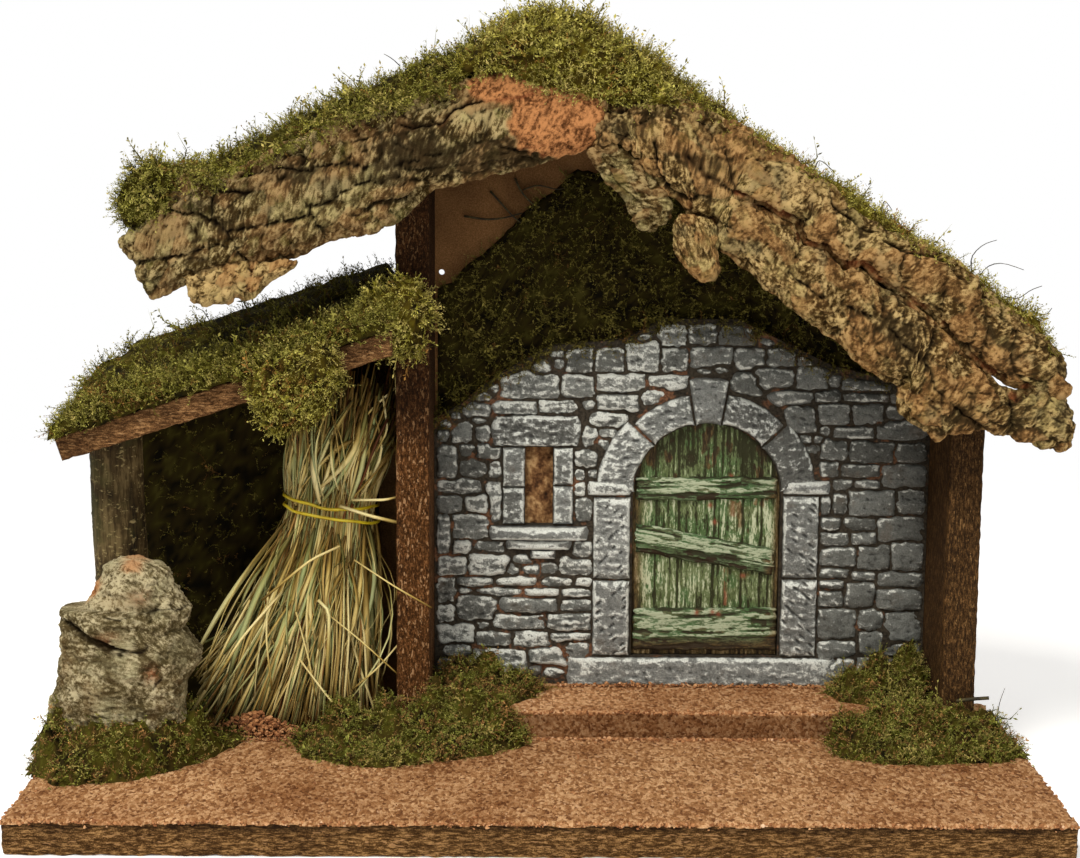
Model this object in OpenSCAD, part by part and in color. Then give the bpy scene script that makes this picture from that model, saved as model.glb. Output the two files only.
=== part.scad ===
// Wooden nativity stable: a base board with a raised step, a house niche between two
// chipboard walls with a cast stone front, and an open lean-to shed with a log post.
// Millimetres. The origin is the middle of the base board's underside, X to the right,
// Y to the back and Z up.

/* [Base] */
// Width of the base board
base_w = 500; // [460:1:600]
// Depth of the base board
base_d = 200; // [190:1:260]
// Thickness of the base board
base_t = 15; // [12:0.5:25]
// Radius of the base board's corners
base_corner_r = 3; // [1:0.5:8]
// Thickness of the cork granule skins
cork_t = 2; // [1:0.25:4]
// How far the ground skin stays inside the base board's edge
cork_inset = 0.6; // [0.3:0.1:3]
// Thickness of the step board
step_t = 14.3; // [8:0.1:22]

/* [House walls] */
// Place of the left wall's inner face, from the middle of the base
house_x = -58; // [-80:1:-40]
// Clear width between the two walls
house_w = 269; // [240:1:272]
// Thickness of the two chipboard walls
wall_t = 17; // [12:0.5:22]
// Open ground between the base's front edge and the walls
forecourt_d = 130; // [115:1:140]
// Thickness of the back panels
back_t = 5; // [3:0.5:8]
// Height of the small hole for a lamp lead in the back panel
wire_hole_h = 257; // [240:1:280]
// Radius of the hole for a lamp lead
wire_hole_r = 1.6; // [1:0.1:2.5]
// Wood left between that hole and the left wall
wire_hole_land = 2; // [1:0.25:8]

/* [Main roof] */
// Height of the ridge, on top of the roof boards
ridge_h = 373; // [360:1:400]
// Place of the ridge, from the middle of the base
ridge_x = 14; // [0:1:30]
// Slope of the left roof board, in degrees
left_slope = 21; // [18:0.5:24]
// Slope of the right roof board, in degrees
right_slope = 33.4; // [30:0.1:36]
// Thickness of the main roof boards
roof_t = 12; // [8:0.5:16]
// Level reach of the left roof board from the ridge
roof_left_run = 214; // [190:1:230]
// Level reach of the right roof board from the ridge
roof_right_run = 241; // [240:1:260]
// How far the roof boards stand out in front of the walls
roof_front_reach = 18; // [10:1:24]
// How far all roof boards stand out behind the back panels
roof_back_reach = 6; // [0:1:20]

/* [Shed] */
// Height of the shed roof board's underside at its left end
shed_eave_h = 167.4; // [150:0.2:180]
// Slope of the shed roof board, in degrees
shed_slope = 18.1; // [14:0.1:20]
// Thickness of the shed roof board
shed_roof_t = 12; // [8:0.5:16]
// How far the shed roof board stays inside the base's left edge
shed_edge_in = 9; // [4:0.5:20]
// How far the shed roof board stands out in front of the walls
shed_front_reach = 25; // [15:1:30]
// How far the shed's back panel stays inside the base's left edge
shed_back_in = 18; // [12:1:30]
// Radius of the log post
log_r = 14; // [8:0.5:15]
// Distance from the base's left edge to the log's middle
log_in = 29; // [24:1:34]
// Distance from the walls' front plane back to the log's middle
log_back = 15; // [15:1:30]

/* [Stone front] */
// Height of the stone front above the step
front_h = 202.4; // [180:0.2:210]
// Thickness of the cast slab that carries the stones
slab_t = 11; // [9:0.5:15]
// How far the wall stones stand out of the slab
stone_proud = 4; // [2:0.25:6]
// Joint left round each wall stone
stone_joint = 0.35; // [0.2:0.05:0.6]
// How far the dressed stones round the door stand out
dressed_proud = 5; // [3:0.25:8]
// How far the window sill stands out
sill_proud = 10; // [6:0.5:14]
// Depth of the door and window recesses in the slab
recess_d = 6; // [4:0.25:8]
// Thickness of the door planks
plank_t = 3.5; // [2:0.25:4]
// Thickness of the door's battens and brace
batten_t = 2.5; // [1:0.25:3]
// Clearance round the door in its recess
door_gap = 0.3; // [0.2:0.05:0.6]
// Thickness of the cork panel in the window
pane_t = 2; // [1:0.25:3]

/* [Bark] */
// Thickness of the bark strips on the roof's front edge
bark_t = 17; // [10:0.5:20]
// Width of the left bark strip
bark_left_w = 60; // [50:1:70]
// Width of the right bark strips together
bark_right_w = 75; // [60:1:80]
// Roughness of the bark's face
bark_rough = 3; // [1:0.25:5]
// Width of the bark stump
stump_w = 74; // [60:1:75]
// Depth of the bark stump
stump_d = 44; // [30:1:50]
// Height of the bark stump above the ground
stump_h = 102; // [80:1:110]

/* [Moss] */
// Thickness of the moss on the main roof
roof_moss_t = 22; // [12:0.5:30]
// Thickness of the moss on the shed roof, at its thickest
shed_moss_t = 34; // [20:0.5:38]
// Thickness of the moss on the house's back wall
wall_moss_t = 13; // [6:0.5:16]
// Thickness of the moss on the shed's back panel
shed_wall_moss_t = 7; // [3:0.5:8]
// Height of the moss clumps on the ground
ground_moss_h = 30; // [16:0.5:34]

/* [Sheaf] */
// Radius of the sheaf at its bands
sheaf_waist_r = 24; // [18:0.5:24]
// Half width of the sheaf at its foot
sheaf_foot_r = 51; // [36:0.5:54]
// Height of the sheaf's upper end above the ground
sheaf_h = 188; // [170:1:190]
// Radius of the two elastic bands' cord
band_r = 1.1; // [0.6:0.1:1.6]

/* [Fasteners] */
// Radius of the base screws' shanks
screw_r = 1.75; // [1.25:0.25:2.5]
// Length of the base screws
screw_l = 45; // [35:1:60]
// Radius of the brads
brad_r = 0.8; // [0.5:0.1:1.2]
// Length of the brads
brad_l = 30; // [20:1:40]
// Clearance of a screw or brad in its hole
fastener_gap = 0.05; // [0.03:0.01:0.1]

/* [Hidden] */
$fn = 48;

// Clearance between soft pieces and what they lie beside
soft_gap = 0.3;
// Overrun of every cutting tool past the face that it cuts
over = 1;

// Levels and planes
ground_z = base_t + cork_t;
step_z = base_t + step_t + cork_t;
front_y = -base_d / 2 + forecourt_d;
back_y = base_d / 2;
panel_y = back_y - back_t;
slab_y = panel_y - slab_t;
door_y = slab_y + recess_d;
house_right = house_x + house_w;
wall_left_out = house_x - wall_t;
wall_right_out = house_right + wall_t;
roof_y = front_y - roof_front_reach;
roof_back_y = back_y + roof_back_reach;
shed_y = front_y - shed_front_reach;
shed_x = -base_w / 2 + shed_edge_in;
shed_back_x = -base_w / 2 + shed_back_in;
log_x = -base_w / 2 + log_in;
log_y = front_y + log_back;
roof_left_x = ridge_x - roof_left_run;
roof_right_x = ridge_x + roof_right_run;

// Height of the main roof's upper face over a place x, and of its underside
function roof_top(x) = x < ridge_x ? left_line(x) : right_line(x);
function left_line(x) = ridge_h - (ridge_x - x) * tan(left_slope);
function right_line(x) = ridge_h - (x - ridge_x) * tan(right_slope);
function left_under(x) = left_line(x) - roof_t / cos(left_slope);
function right_under(x) = right_line(x) - roof_t / cos(right_slope);
function roof_under(x) = x < ridge_x ? left_under(x) : right_under(x);

// Height of the shed roof board's underside and upper face over a place x
function shed_under(x) = shed_eave_h + (x - shed_x) * tan(shed_slope);
function shed_top(x) = shed_under(x) + shed_roof_t / cos(shed_slope);

// A value between two ends by a share, and a repeatable wave from -1 to 1
function between(a, b, share) = a + (b - a) * share;
function wave(i, k) = sin(i * 137 + k * 71) * cos(i * 59 - k * 113);

// Draws an outline given in X and Z and extrudes it from y0 back to y1
module from_front(y0, y1) {
    translate([0, y1, 0]) rotate([90, 0, 0]) linear_extrude(y1 - y0) children();
}

// A closed skin over a row of rings that each hold as many points
module loft(rings) {
    n = len(rings[0]);
    m = len(rings);
    faces = concat(
        [for (i = [0:m - 2], k = [0:n - 1])
            [i * n + k, i * n + (k + 1) % n, (i + 1) * n + k]],
        [for (i = [0:m - 2], k = [0:n - 1])
            [i * n + (k + 1) % n, (i + 1) * n + (k + 1) % n, (i + 1) * n + k]],
        [[for (k = [n - 1:-1:0]) k]],
        [[for (k = [0:n - 1]) (m - 1) * n + k]]);
    polyhedron(points = [for (r = rings) for (p = r) p], faces = faces, convexity = 8);
}

// Screws, in pairs under each wall and one under the log
screw_head_r = 2 * screw_r;
screw_head_h = 1.6 * screw_r;
screw_y_shares = [0.25, 0.75];
screw_places = concat(
    [for (s = screw_y_shares, x = [(wall_left_out + house_x) / 2, (house_right + wall_right_out) / 2])
        [x, between(front_y, panel_y, s)]],
    [[log_x, log_y]]);

// Brads through the main roof boards into the walls, and through the back panels
roof_brad_places = [for (s = screw_y_shares, x = [(wall_left_out + house_x) / 2,
    (house_right + wall_right_out) / 2]) [x, between(front_y, panel_y, s)]];
panel_brad_h_shares = [0.24, 0.44, 0.66, 0.88];
panel_brad_places = concat(
    [for (s = panel_brad_h_shares) [(wall_left_out + house_x) / 2,
        between(base_t, left_under(wall_left_out), s)]],
    [for (s = panel_brad_h_shares) [(house_right + wall_right_out) / 2,
        between(base_t, right_under(wall_right_out), s)]]);

module base_screw_shapes(gap = 0) {
    for (p = screw_places) translate([p[0], p[1], 0]) {
        cylinder(r = screw_r + gap, h = screw_l + gap);
        cylinder(r1 = screw_head_r + gap, r2 = screw_r + gap, h = screw_head_h);
    }
}

module roof_brad_shapes(gap = 0, extra = 0) {
    for (p = roof_brad_places)
        translate([p[0], p[1], roof_top(p[0]) - brad_l - gap - brad_r])
            cylinder(r = brad_r + gap, h = brad_l + gap + extra);
}

module panel_brad_shapes(gap = 0, extra = 0) {
    for (p = panel_brad_places)
        translate([p[0], back_y + extra, p[1]]) rotate([90, 0, 0])
            cylinder(r = brad_r + gap, h = brad_l + gap + extra);
}

// Base and step

module rounded_plan(w, d, r) {
    hull() for (x = [-1, 1], y = [-1, 1])
        translate([x * (w / 2 - r), y * (d / 2 - r)]) circle(r, $fn = 32);
}

module base_board() {
    color("saddlebrown") difference() {
        linear_extrude(base_t) rounded_plan(base_w, base_d, base_corner_r);
        base_screw_shapes(fastener_gap);
    }
}

module ground_cork() {
    color("peru") translate([0, 0, base_t]) linear_extrude(cork_t) difference() {
        rounded_plan(base_w - 2 * cork_inset, base_d - 2 * cork_inset, base_corner_r);
        translate([wall_left_out, front_y])
            square([house_w + 2 * wall_t, base_d]);
        translate([shed_back_x, panel_y]) square([wall_left_out - shed_back_x + over, back_t + over]);
        translate([log_x, log_y]) circle(log_r + soft_gap);
    }
}

module step_board() {
    color("sienna") translate([house_x, front_y + cork_t, base_t])
        cube([house_w, panel_y - front_y - cork_t, step_t]);
}

module step_cork() {
    color("peru") difference() {
        translate([house_x, front_y, base_t])
            cube([house_w, slab_y - front_y, step_t + cork_t]);
        translate([house_x - over, front_y + cork_t, base_t - over])
            cube([house_w + 2 * over, base_d, step_t + over]);
    }
}

// Walls, back panels and log

module wall_panel_left() {
    color("saddlebrown") difference() {
        from_front(front_y, panel_y) polygon([[wall_left_out, base_t], [house_x, base_t],
            [house_x, left_under(house_x)], [wall_left_out, left_under(wall_left_out)]]);
        base_screw_shapes(fastener_gap);
        roof_brad_shapes(fastener_gap, over);
        panel_brad_shapes(fastener_gap, over);
    }
}

module wall_panel_right() {
    color("saddlebrown") difference() {
        from_front(front_y, panel_y) polygon([[house_right, base_t], [wall_right_out, base_t],
            [wall_right_out, right_under(wall_right_out)],
            [house_right, right_under(house_right)]]);
        base_screw_shapes(fastener_gap);
        roof_brad_shapes(fastener_gap, over);
        panel_brad_shapes(fastener_gap, over);
    }
}

wire_hole_x = house_x + wire_hole_r + wire_hole_land;

module back_panel() {
    color("sienna") difference() {
        from_front(panel_y, back_y) polygon([[wall_left_out, base_t], [wall_right_out, base_t],
            [wall_right_out, right_under(wall_right_out)], [ridge_x, right_under(ridge_x)],
            [ridge_x - over / 2, left_under(ridge_x - over / 2)],
            [wall_left_out, left_under(wall_left_out)]]);
        translate([wire_hole_x, back_y + over, wire_hole_h]) rotate([90, 0, 0])
            cylinder(r = wire_hole_r, h = back_t + 2 * over);
        panel_brad_shapes(fastener_gap, over);
    }
}

module shed_back_panel() {
    color("sienna") from_front(panel_y, back_y) polygon([[shed_back_x, base_t],
        [wall_left_out, base_t], [wall_left_out, shed_under(wall_left_out)],
        [shed_back_x, shed_under(shed_back_x)]]);
}

module log_post() {
    color("tan") difference() {
        translate([log_x, log_y, base_t]) cylinder(r = log_r, h = shed_under(log_x + 2 * log_r) - base_t);
        from_front(log_y - 2 * log_r, log_y + 2 * log_r) polygon([
            [log_x - 2 * log_r, shed_under(log_x - 2 * log_r)],
            [log_x + 2 * log_r, shed_under(log_x + 2 * log_r)],
            [log_x + 2 * log_r, shed_top(log_x + 4 * log_r)],
            [log_x - 2 * log_r, shed_top(log_x + 4 * log_r)]]);
        base_screw_shapes(fastener_gap);
    }
}

// Roof boards

module roof_board_left() {
    color("saddlebrown") difference() {
        from_front(roof_y, roof_back_y) polygon([
            [roof_left_x + roof_t * sin(left_slope), left_under(roof_left_x + roof_t * sin(left_slope))],
            [ridge_x, left_under(ridge_x)], [ridge_x, ridge_h],
            [roof_left_x, left_line(roof_left_x)]]);
        roof_brad_shapes(fastener_gap, brad_l);
    }
}

module roof_board_right() {
    color("saddlebrown") difference() {
        from_front(roof_y, roof_back_y) polygon([[ridge_x, right_under(ridge_x)],
            [roof_right_x - roof_t * sin(right_slope), right_under(roof_right_x - roof_t * sin(right_slope))],
            [roof_right_x, right_line(roof_right_x)], [ridge_x, ridge_h]]);
        roof_brad_shapes(fastener_gap, brad_l);
    }
}

module shed_roof_board() {
    x0 = shed_x - shed_roof_t * sin(shed_slope);
    color("saddlebrown") from_front(shed_y, roof_back_y) polygon([[shed_x, shed_under(shed_x)],
        [wall_left_out, shed_under(wall_left_out)], [wall_left_out, shed_top(wall_left_out)],
        [x0, shed_top(x0)]]);
}

// Stone front. Its outlines are pixel places, mapped on to the house's width and height
px_left = 432;
px_right = 932;
px_foot = 686;
px_top = 320;
function fx(p) = house_x + house_w * (p - px_left) / (px_right - px_left);
function fz(p) = step_z + front_h * (px_foot - p) / (px_foot - px_top);
function on_front(points) = [for (p = points) [fx(p[0]), fz(p[1])]];

slab_top_px = [[432, 420], [460, 404], [500, 374], [550, 347], [625, 340], [660, 320],
    [735, 320], [790, 345], [830, 364], [890, 379], [932, 398]];

// A place over the stone front: a share of the house's clear width, and a share of the
// height from the stone front's upper edge to the roof's underside
function over_front(across, up) = let(x = between(house_x, house_right, across))
    [x, between(fz(lookup(between(px_left, px_right, across), slab_top_px)), roof_under(x), up)];

door_px = [633, 783];
door_foot_px = 657;
door_spring_px = 495;
window_px = [524, 552, 447, 524];

function arch(x0, x1, foot, spring, grow) = let(c = (x0 + x1) / 2, r = (x1 - x0) / 2 + grow)
    concat([[c - r, foot], [c + r, foot]], [for (a = [0:15:180]) [c + r * cos(a), spring + r * sin(a)]]);

door_outline = arch(fx(door_px[0]), fx(door_px[1]), fz(door_foot_px), fz(door_spring_px), 0);
door_leaf = arch(fx(door_px[0]), fx(door_px[1]), fz(door_foot_px) + door_gap, fz(door_spring_px), -door_gap);

module window_plan(grow = 0) {
    polygon([[fx(window_px[0]) - grow, fz(window_px[3]) - grow],
        [fx(window_px[1]) + grow, fz(window_px[3]) - grow],
        [fx(window_px[1]) + grow, fz(window_px[2]) + grow],
        [fx(window_px[0]) - grow, fz(window_px[2]) + grow]]);
}

module facade_slab() {
    color("dimgray") difference() {
        from_front(slab_y, panel_y) polygon(concat(on_front(slab_top_px),
            [[house_right, step_z - cork_t], [house_x, step_z - cork_t]]));
        from_front(slab_y - over, door_y) polygon(door_outline);
        from_front(slab_y - over, door_y) window_plan();
    }
}

// One wall stone: a block with its corners struck off, from a box of pixel places
stone_corner_share = 0.28;
stone_lean_share = 0.09;

module stone(box, i) {
    x0 = fx(box[0]) + stone_joint;
    x1 = fx(box[1]) - stone_joint;
    z0 = fz(box[3]) + stone_joint;
    z1 = fz(box[2]) - stone_joint;
    c = stone_corner_share * min(x1 - x0, z1 - z0);
    e = stone_lean_share * min(x1 - x0, z1 - z0) * (1 + wave(i, 1));
    from_front(slab_y - stone_proud * (0.8 + 0.2 * wave(i, 2)), slab_y)
        polygon([[x0 + c, z0], [x1 - c, z0 + e], [x1, z0 + c], [x1 - e, z1 - c],
            [x1 - c, z1], [x0 + c, z1 - e], [x0, z1 - c], [x0 + e, z0 + c]]);
}

module stones(boxes) {
    for (i = [0:len(boxes) - 1]) stone(boxes[i], i);
}

// Boxes of pixel places: left, right, top and bottom of each stone
left_stones_px = [[460, 487, 405, 416], [499, 557, 377, 399], [492, 535, 402, 415],
    [451, 471, 424, 441], [474, 490, 427, 440], [433, 454, 449, 478], [458, 486, 462, 475],
    [434, 476, 481, 493], [433, 457, 496, 512], [466, 487, 496, 511],
    [433, 448, 516, 553], [451, 488, 516, 538], [452, 466, 541, 553], [477, 503, 541, 552],
    [574, 593, 541, 556], [433, 464, 558, 575], [468, 503, 555, 575], [560, 593, 559, 575],
    [455, 489, 578, 586], [497, 534, 578, 586], [540, 573, 578, 586], [576, 593, 578, 586],
    [433, 453, 579, 603], [477, 521, 589, 595], [525, 558, 589, 596], [563, 592, 589, 597],
    [503, 557, 599, 613], [561, 593, 600, 611], [455, 491, 597, 619], [433, 452, 606, 623],
    [494, 545, 616, 630], [548, 593, 614, 631], [433, 472, 627, 643], [475, 510, 633, 647],
    [551, 591, 634, 641], [513, 548, 633, 648], [565, 590, 644, 656], [444, 468, 647, 658],
    [530, 562, 650, 664], [433, 470, 661, 682], [474, 526, 651, 680]];
right_stones_px = [[843, 888, 381, 389], [843, 886, 392, 400], [817, 850, 403, 421],
    [853, 884, 403, 422], [834, 875, 426, 436], [878, 930, 422, 438], [824, 848, 439, 457],
    [852, 895, 440, 460], [899, 930, 441, 459], [824, 840, 461, 474], [843, 882, 463, 475],
    [886, 930, 463, 484], [836, 854, 478, 486], [858, 882, 478, 486], [852, 898, 489, 513],
    [901, 930, 488, 511], [824, 833, 495, 512], [836, 850, 493, 511], [824, 844, 516, 528],
    [847, 879, 516, 528], [883, 930, 515, 538], [824, 852, 531, 543], [856, 880, 531, 542],
    [824, 860, 547, 564], [863, 895, 545, 567], [898, 930, 541, 568], [824, 853, 567, 576],
    [857, 881, 571, 578], [884, 930, 571, 585], [824, 849, 579, 587], [824, 847, 590, 605],
    [852, 880, 582, 605], [884, 930, 588, 608], [824, 862, 609, 637], [865, 890, 609, 628],
    [893, 930, 612, 640], [824, 863, 641, 656], [867, 889, 632, 654], [845, 862, 659, 680],
    [865, 895, 658, 682], [893, 930, 643, 655], [898, 930, 659, 682]];
top_stones_px = [[565, 591, 350, 372], [594, 622, 352, 371], [625, 657, 345, 371],
    [660, 684, 326, 346], [660, 684, 349, 370], [687, 714, 326, 344], [717, 750, 329, 344],
    [560, 592, 377, 397], [596, 643, 375, 390], [538, 575, 401, 412], [596, 622, 393, 403],
    [767, 792, 350, 365], [796, 826, 369, 388], [757, 793, 369, 384], [775, 812, 391, 401],
    [815, 840, 391, 401]];

module wall_stones_left() {
    color("slategray") stones(left_stones_px);
}

module wall_stones_right() {
    color("slategray") stones(right_stones_px);
}

module wall_stones_top() {
    color("slategray") stones(top_stones_px);
}

// Ring of dressed stones round the door's arch. Each one runs between two angles
arch_c = (fx(door_px[0]) + fx(door_px[1])) / 2;
arch_z = fz(door_spring_px);
arch_r = (fx(door_px[1]) - fx(door_px[0])) / 2;
arch_ring_w = 14.5;
keystone_half_angle = 11;
arch_cuts = [12, 47];

module arch_block(a0, a1, grow = 0) {
    r0 = arch_r + stone_joint;
    r1 = arch_r + arch_ring_w + grow;
    from_front(slab_y - dressed_proud, slab_y)
        translate([arch_c, arch_z])
            polygon(concat([for (i = [0:4]) let(a = between(a0, a1, i / 4)) [r0 * cos(a), r0 * sin(a)]],
                [for (i = [4:-1:0]) let(a = between(a0, a1, i / 4)) [r1 * cos(a), r1 * sin(a)]]));
}

module arch_stones() {
    gap_angle = 1;
    color("lightslategray") for (m = [0, 1]) translate([2 * m * arch_c, 0, 0]) mirror([m, 0, 0]) {
        arch_block(arch_cuts[0], arch_cuts[1] - gap_angle);
        arch_block(arch_cuts[1], 90 - keystone_half_angle - gap_angle);
    }
}

module keystone() {
    crown = arch_r + arch_ring_w;
    head_share = 0.25;
    foot_share = 0.19;
    color("lightslategray") from_front(slab_y - dressed_proud - stone_joint, slab_y)
        translate([arch_c, arch_z]) polygon([[-foot_share * arch_r, arch_r + stone_joint],
            [foot_share * arch_r, arch_r + stone_joint], [head_share * arch_r, crown],
            [0, crown + arch_ring_w / 8], [-head_share * arch_r, crown]]);
}

// A block on the stone front between pixel places, standing out by a depth
module block(box, proud) {
    x0 = fx(box[0]);
    x1 = fx(box[1]);
    z0 = fz(box[3]);
    z1 = fz(box[2]);
    translate([x0, slab_y - proud, z0]) cube([x1 - x0, proud, z1 - z0]);
}

impost_px = [[587, 631, 481, 494], [785, 832, 479, 492]];
jamb_px = [[594, 630, 497, 578], [594, 630, 581, 656], [786, 821, 495, 576], [786, 821, 579, 656]];
threshold_px = [567, 843, 659, 686];
lintel_px = [490, 580, 416, 446];
window_jamb_px = [[502, 523, 448, 486], [502, 523, 488, 523], [553, 572, 448, 484], [553, 572, 486, 523]];
sill_px = [488, 588, 526, 539];
corbel_px = [[505, 571, 540, 549], [530, 555, 550, 558]];

module impost_blocks() {
    color("lightslategray") for (b = impost_px) block(b, dressed_proud);
}

module jamb_stones() {
    color("lightslategray") for (b = jamb_px) block(b, dressed_proud);
}

module threshold_stone() {
    color("lightslategray") block(threshold_px, dressed_proud);
}

module window_lintel() {
    color("lightslategray") block(lintel_px, dressed_proud);
}

module window_jambs() {
    color("lightslategray") for (b = window_jamb_px) block(b, dressed_proud);
}

module window_sill() {
    color("lightslategray") block(sill_px, sill_proud);
}

module sill_corbels() {
    color("lightslategray") for (i = [0, 1]) block(corbel_px[i], sill_proud * (0.7 - 0.2 * i));
}

module window_panel() {
    color("sienna") from_front(door_y - pane_t, door_y) window_plan(-door_gap);
}

// Door leaf, with its planks parted by grooves, two battens and a slanted brace
plank_seam_px = [680, 716, 745];
groove_share = 0.4;
batten_px = [[637, 779, 477, 499], [636, 780, 609, 651]];
brace_px = [[636, 524], [636, 551], [780, 575], [780, 549]];

module door_planks() {
    groove_w = door_gap * 2;
    color("olivedrab") difference() {
        from_front(door_y - plank_t, door_y) polygon(door_leaf);
        for (p = plank_seam_px) translate([fx(p), door_y - plank_t - over, fz(door_foot_px)])
            cube([groove_w, over + plank_t * groove_share, front_h]);
    }
}

module door_battens() {
    color("darkseagreen") for (b = batten_px) translate([fx(b[0]), door_y - plank_t - batten_t, fz(b[3])])
        cube([fx(b[1]) - fx(b[0]), batten_t, fz(b[2]) - fz(b[3])]);
}

module door_brace() {
    color("darkseagreen") from_front(door_y - plank_t - batten_t, door_y - plank_t)
        polygon(on_front(brace_px));
}

// Bark strips. A strip has as many points on its upper as on its lower edge, each one
// a share of the strip's run and its offset from the roof line, in shares of its width
bark_front_y = roof_y - bark_t;
bark_rows = 6;
bark_edge_share = 0.45;

module bark(upper, lower, y_front, y_back, seed) {
    depth = y_back - y_front;
    loft([for (i = [0:len(upper) - 1]) concat(
        [[lower[i][0], y_back, lower[i][1]]],
        [for (k = [0:bark_rows]) let(t = k / bark_rows, u = 2 * t - 1)
            [between(lower[i][0], upper[i][0], t),
                y_front + bark_rough + bark_edge_share * (depth - bark_rough) * pow(u, 4)
                    + bark_rough * wave(i + seed, k),
                between(lower[i][1], upper[i][1], t)]],
        [[upper[i][0], y_back, upper[i][1]]])]);
}

bark_left_x0 = roof_left_x - bark_left_w / 8;
bark_left_x1 = ridge_x + bark_left_w / 4;
function on_left(p) = let(x = between(bark_left_x0, bark_left_x1, p[0]))
    [x, left_line(x) + p[1] * bark_left_w];
left_upper_shares = [[0, -0.1], [0.06, 0.12], [0.12, 0.2], [0.22, 0.06], [0.34, 0.12],
    [0.46, 0.17], [0.6, 0.1], [0.72, -0.04], [0.85, -0.14], [1, -0.44]];
left_lower_shares = [[0, -0.24], [0.04, -0.5], [0.12, -0.55], [0.22, -0.58], [0.34, -0.6],
    [0.46, -0.62], [0.55, -0.86], [0.72, -0.74], [0.85, -0.76], [0.97, -0.82]];
left_lip_shares = [[0.05, -0.511], [0.12, -0.555], [0.22, -0.585], [0.34, -0.605], [0.46, -0.625], [0.53, -0.812]];
left_lip_low_shares = [[0.07, -0.72], [0.13, -0.85], [0.22, -1.02], [0.34, -0.9], [0.46, -0.87], [0.53, -0.9]];

module bark_left_main() {
    color("darkkhaki") bark([for (p = left_upper_shares) on_left(p)],
        [for (p = left_lower_shares) on_left(p)], bark_front_y, roof_y, 1);
}

module bark_left_lower() {
    color("darkkhaki") bark([for (p = left_lip_shares) on_left(p)],
        [for (p = left_lip_low_shares) on_left(p)], bark_front_y - bark_rough, roof_y, 4);
}

bark_right_x0 = ridge_x + bark_left_w / 4 + soft_gap;
bark_right_x1 = roof_right_x + bark_right_w / 8;
function on_right(p) = let(x = between(bark_right_x0, bark_right_x1, p[0]))
    [x, right_line(x) + p[1] * bark_right_w];
right_upper_shares = [[0.02, -0.3], [0.1, 0.06], [0.24, 0.19], [0.36, 0.2], [0.46, 0.24],
    [0.56, 0.17], [0.66, 0.22], [0.75, 0.31], [0.87, 0.24], [0.97, 0.2], [1, 0.02]];
right_crack_shares = [[0.1, -0.36], [0.17, -0.4], [0.26, -0.27], [0.38, -0.16], [0.46, -0.18],
    [0.56, -0.2], [0.66, -0.17], [0.75, -0.16], [0.87, -0.25], [0.95, -0.14], [0.98, -0.07]];
right_lip_shares = [[0.265, -0.3], [0.38, -0.19], [0.46, -0.21], [0.56, -0.23], [0.66, -0.2],
    [0.75, -0.19], [0.87, -0.28], [0.95, -0.17], [1, -0.12]];
right_lower_shares = [[0.25, -0.6], [0.34, -0.7], [0.44, -0.75], [0.54, -0.78], [0.64, -0.86],
    [0.72, -0.95], [0.82, -0.68], [0.92, -0.53], [0.995, -0.38]];
inner_upper_shares = [[0.03, -0.33], [0.09, -0.37], [0.14, -0.42], [0.16, -0.5]];
inner_lower_shares = [[-0.02, -0.6], [0.02, -0.7], [0.07, -0.84], [0.12, -0.85]];
flake_upper_shares = [[0.165, -0.45], [0.19, -0.44], [0.24, -0.33]];
flake_lower_shares = [[0.155, -0.66], [0.19, -0.8], [0.235, -0.83]];

module bark_right_upper() {
    color("peru") bark([for (p = right_upper_shares) on_right(p)],
        [for (p = right_crack_shares) on_right(p)], bark_front_y, roof_y, 7);
}

module bark_right_lower() {
    color("peru") bark([for (p = right_lip_shares) on_right(p)],
        [for (p = right_lower_shares) on_right(p)], bark_front_y - bark_rough, roof_y, 9);
}

module bark_right_inner() {
    color("peru") bark([for (p = inner_upper_shares) on_right(p)],
        [for (p = inner_lower_shares) on_right(p)], bark_front_y, roof_y, 12);
}

module bark_right_flake() {
    color("peru") bark([for (p = flake_upper_shares) on_right(p)],
        [for (p = flake_lower_shares) on_right(p)], bark_front_y + bark_rough, roof_y, 15);
}

// Upright chunk of cork bark at the left front corner. Each ring has its height share,
// its sideways shift, its half width and its half depth, all in shares
stump_in = 38;
stump_before_walls = 35;
stump_x = -base_w / 2 + stump_in;
stump_y = front_y - stump_before_walls;
stump_sides = 14;
stump_ring_shares = [[0, 0.02, 0.46, 0.86], [0.12, -0.01, 0.46, 0.84], [0.3, -0.01, 0.45, 0.8],
    [0.45, 0.01, 0.47, 0.78], [0.6, 0.02, 0.47, 0.74], [0.7, -0.03, 0.44, 0.72],
    [0.8, 0.0, 0.42, 0.66], [0.9, 0.1, 0.3, 0.56], [1, 0.12, 0.2, 0.4]];

module cork_stump() {
    color("gray") loft([for (i = [0:len(stump_ring_shares) - 1]) let(q = stump_ring_shares[i])
        [for (k = [0:stump_sides - 1])
            let(a = -360 * k / stump_sides, r = 0.93 + 0.07 * wave(i, k))
            [stump_x + stump_w * (q[1] + q[2] * r * cos(a)),
                stump_y + stump_d / 2 * q[3] * r * sin(a),
                ground_z + stump_h * q[0]]]]);
}

// Moss on a level or sloping bed: rings along X over a bed height, each one a share of
// the run, the bulk there as a share, and where it starts and ends in depth
moss_rows = 7;

module moss_on_roof(xs, bulk_shares, thick, y0, y1, seed, back_share = 1) {
    loft([for (i = [0:len(xs) - 1]) concat(
        [[xs[i], y0, roof_top(xs[i])]],
        [for (k = [0:moss_rows]) let(t = k / moss_rows, u = 2 * t - 1)
            [xs[i], between(y0, y1, t), roof_top(xs[i]) + thick * bulk_shares[i]
                * (0.86 - 0.5 * pow(abs(u), 6) + 0.12 * wave(i + seed, k)) * between(1, back_share, t)]],
        [[xs[i], y1, roof_top(xs[i])]])]);
}

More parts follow.
